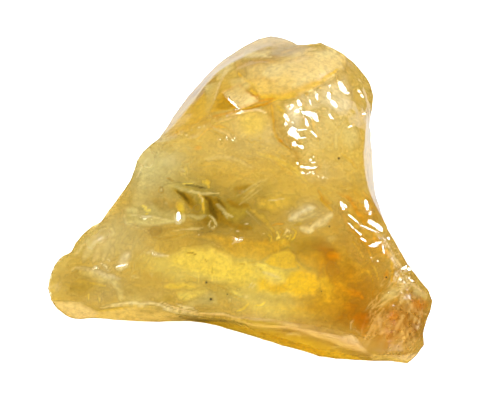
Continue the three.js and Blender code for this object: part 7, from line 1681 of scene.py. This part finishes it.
def plain_paint(name, colour, rough=0.5):
    m = material(name)
    w = Net(m)
    b = w.node("ShaderNodeBsdfPrincipled")
    n = w.noise(4000.0, 3.0, 0.6).outputs["Fac"]
    w.put(b.inputs["Base Color"], w.mix(n, tuple(0.75 * c for c in colour), tuple(min(1.0, 1.25 * c) for c in colour)))
    b.inputs["Roughness"].default_value = rough
    w.t.links.new(b.outputs["BSDF"], w.out.inputs["Surface"])
    return m


# tiny dark grains just under the skin: x, y, radius (mm)
GRAINS = [
    (7.04, 7.36, 0.090),
    (-2.54, -1.64, 0.090),
    (-2.21, -2.86, 0.096),
    (-1.01, -2.50, 0.072),
    (6.37, 2.43, 0.072),
    (10.46, -1.24, 0.072),
    (-0.88, 11.85, 0.054),
    (5.79, -2.26, 0.048),
]
bm = bmesh.new()
for k, (x, y, r) in enumerate(GRAINS):
    f, b = front_at(x, y)
    if np.isnan(f):
        continue
    p = (RIGHT * x + UP * y + OUT * (f - r - 0.06)) * MM
    new = bmesh.ops.create_icosphere(bm, subdivisions=2, radius=r * MM)["verts"]
    for v in new:
        q = np.array(v.co) / (r * MM)
        v.co *= float(1 + 0.25 * vnoise(q[None] * 1.4 + k, 5)[0])
    bmesh.ops.translate(bm, verts=new, vec=Vector(p))
me = bpy.data.meshes.new("dark_grains")
bm.to_mesh(me)
bm.free()
me.polygons.foreach_set("use_smooth", np.ones(len(me.polygons), bool))
me.materials.append(plain_paint("dark_mineral", (0.03, 0.018, 0.006)))
link(bpy.data.objects.new("dark_grains", me))

# round bubbles and decay rings: x, y, radius, depth (mm); each is built only as a thin dark ring of paint, partly the
# ring's own rim and partly painted shade for the dark edge a bubble shows
BUBBLES = [
    (-3.19, 3.73, 0.264, 0.5),
    (-6.25, 2.06, 0.323, 0.5),
    (6.08, -2.41, 0.337, 0.6),
    (6.36, -3.05, 0.337, 0.6),
    (6.51, -2.26, 0.147, 0.6),
    (-5.82, 5.04, 0.191, 0.5),
    (-2.03, 2.35, 0.191, 0.5),
    (-3.05, 1.85, 0.117, 0.4),
    (-0.07, 4.90, 0.132, 0.4),
    (-0.79, -2.86, 0.132, 0.4),
]
bm = bmesh.new()
for k, (x, y, r, deep) in enumerate(BUBBLES):
    f, b = front_at(x, y)
    if np.isnan(f):
        continue
    deep = min(deep, 0.4 * (f - b))
    big, small = r, max(0.035, 0.16 * r)
    ring = []
    for i in range(28):
        t = 2 * math.pi * i / 28
        rr = big * (1 + 0.10 * math.sin(2 * t + k) + 0.06 * math.sin(3 * t + 2 * k))
        c = RIGHT * (x + rr * math.cos(t)) + UP * (y + rr * math.sin(t)) + OUT * (f - deep)
        out = RIGHT * math.cos(t) + UP * math.sin(t)
        ring.append([bm.verts.new((c + small * (out * math.cos(a) + OUT * math.sin(a))) * MM) for a in (2 * math.pi * j / 7 for j in range(7))])
    for i in range(28):
        for j in range(7):
            bm.faces.new((ring[i][j], ring[(i + 1) % 28][j], ring[(i + 1) % 28][(j + 1) % 7], ring[i][(j + 1) % 7]))
bmesh.ops.recalc_face_normals(bm, faces=bm.faces[:])
me = bpy.data.meshes.new("ring_rims_and_bubble_shade")
bm.to_mesh(me)
bm.free()
me.polygons.foreach_set("use_smooth", np.ones(len(me.polygons), bool))
# painted shade, in part: the brown paint of the rings stands for the dark edge of each bubble
me.materials.append(plain_paint("ring_rim_and_bubble_shade", (0.42, 0.30, 0.08), 0.25))
link(bpy.data.objects.new("ring_rims_and_bubble_shade", me))


# ============================================================================================
# Camera, floor, light
# ============================================================================================
CAMERA_MM = (0.6206, -223.6475, 206.7392)
scene = bpy.context.scene
scene.render.film_transparent = False
scene.view_settings.view_transform = "Standard"
scene.view_settings.look = "None"
scene.view_settings.exposure = 0.0
scene.view_settings.gamma = 1.0

cam_data = bpy.data.cameras.new("camera")
cam_data.sensor_fit = "HORIZONTAL"
cam_data.sensor_width = 36.0
cam_data.lens = 294.68
cam_data.clip_start = 0.01
cam_data.clip_end = 5.0
camera = bpy.data.objects.new("camera", cam_data)
scene.collection.objects.link(camera)
elev = math.radians(42.0)
back = Vector((0, -math.cos(elev), math.sin(elev)))
camera.location = Vector(CAMERA_MM) * MM
camera.rotation_euler = (math.pi / 2 - elev, 0, 0)
scene.camera = camera

world = bpy.data.worlds.new("studio")
scene.world = world
world.use_nodes = True
wt = world.node_tree
sky = wt.nodes["Background"]
sky.inputs["Color"].default_value = (1.0, 0.99, 0.975, 1)
sky.inputs["Strength"].default_value = 1.42
# an even white tent lights the crystal through and through; the polariser takes its reflection off the skin
world.cycles_visibility.glossy = False


def area(name, where, size, power, colour=(1, 1, 1), target=(0, 0, 0.006), shape="DISK"):
    l = bpy.data.lights.new(name, "AREA")
    l.shape = shape
    l.size = size
    l.energy = power
    l.color = colour
    o = bpy.data.objects.new(name, l)
    scene.collection.objects.link(o)
    o.location = where
    o.rotation_euler = (Vector(target) - Vector(where)).to_track_quat("-Z", "Y").to_euler()
    return o


def toward(az, el, r):
    a, e = math.radians(az), math.radians(el)
    return (r * math.sin(a) * math.cos(e), -r * math.cos(a) * math.cos(e), r * math.sin(e) + 0.006)


# a broad soft fill from the front, low down; it makes no highlights
fill = area("fill_front", toward(0, 12, 0.35), 0.25, 0.42)
fill.visible_glossy = False

for lamp in (
    area("lamp_right", toward(125, 45, 0.30), 0.075, 0.46),
    area("lamp_left", toward(-125, 66, 0.30), 0.075, 0.46),
):
    lamp.visible_transmission = False             # they only make the glints on the skin

# a white card behind, low down: only the steep rims mirror it
card = area("card_back", (0, 0.12, -0.030), 0.24, 0.10, shape="RECTANGLE")
card.data.size_y = 0.17
card.rotation_euler = (math.radians(90), 0, math.radians(180))
card.data.energy = 0.95 * math.pi * 0.24 * 0.17
card.visible_camera = card.visible_diffuse = card.visible_transmission = False

me = bpy.data.meshes.new("floor")
s = 1.5
me.from_pydata([(-s, -s, 0), (s, -s, 0), (s, s, 0), (-s, s, 0)], [], [(0, 1, 2, 3)])
floor = bpy.data.objects.new("floor", me)
scene.collection.objects.link(floor)
floor.location.z = -0.00002
floor.visible_glossy = False                      # the under-faces mirror the darker floor of the room instead
fm = material("white_table")
fw = Net(fm)
fb = fw.node("ShaderNodeBsdfDiffuse")
fb.inputs["Color"].default_value = (0.92, 0.92, 0.92, 1)
lit = fw.node("ShaderNodeEmission")               # a white acrylic light table
lit.inputs["Strength"].default_value = 0.95
both = fw.node("ShaderNodeAddShader")
fm.node_tree.links.new(fb.outputs["BSDF"], both.inputs[0])
fm.node_tree.links.new(lit.outputs["Emission"], both.inputs[1])
fm.node_tree.links.new(both.outputs["Shader"], fw.out.inputs["Surface"])
me.materials.append(fm)

scene.cycles.use_denoising = True
scene.cycles.denoising_input_passes = "RGB_ALBEDO"
scene.cycles.max_bounces = 24
scene.cycles.transmission_bounces = 24
scene.cycles.transparent_max_bounces = 24
scene.cycles.diffuse_bounces = 4
scene.cycles.glossy_bounces = 12
scene.cycles.caustics_refractive = True
scene.cycles.caustics_reflective = True
scene.cycles.blur_glossy = 0.3
scene.cycles.sample_clamp_indirect = 40.0


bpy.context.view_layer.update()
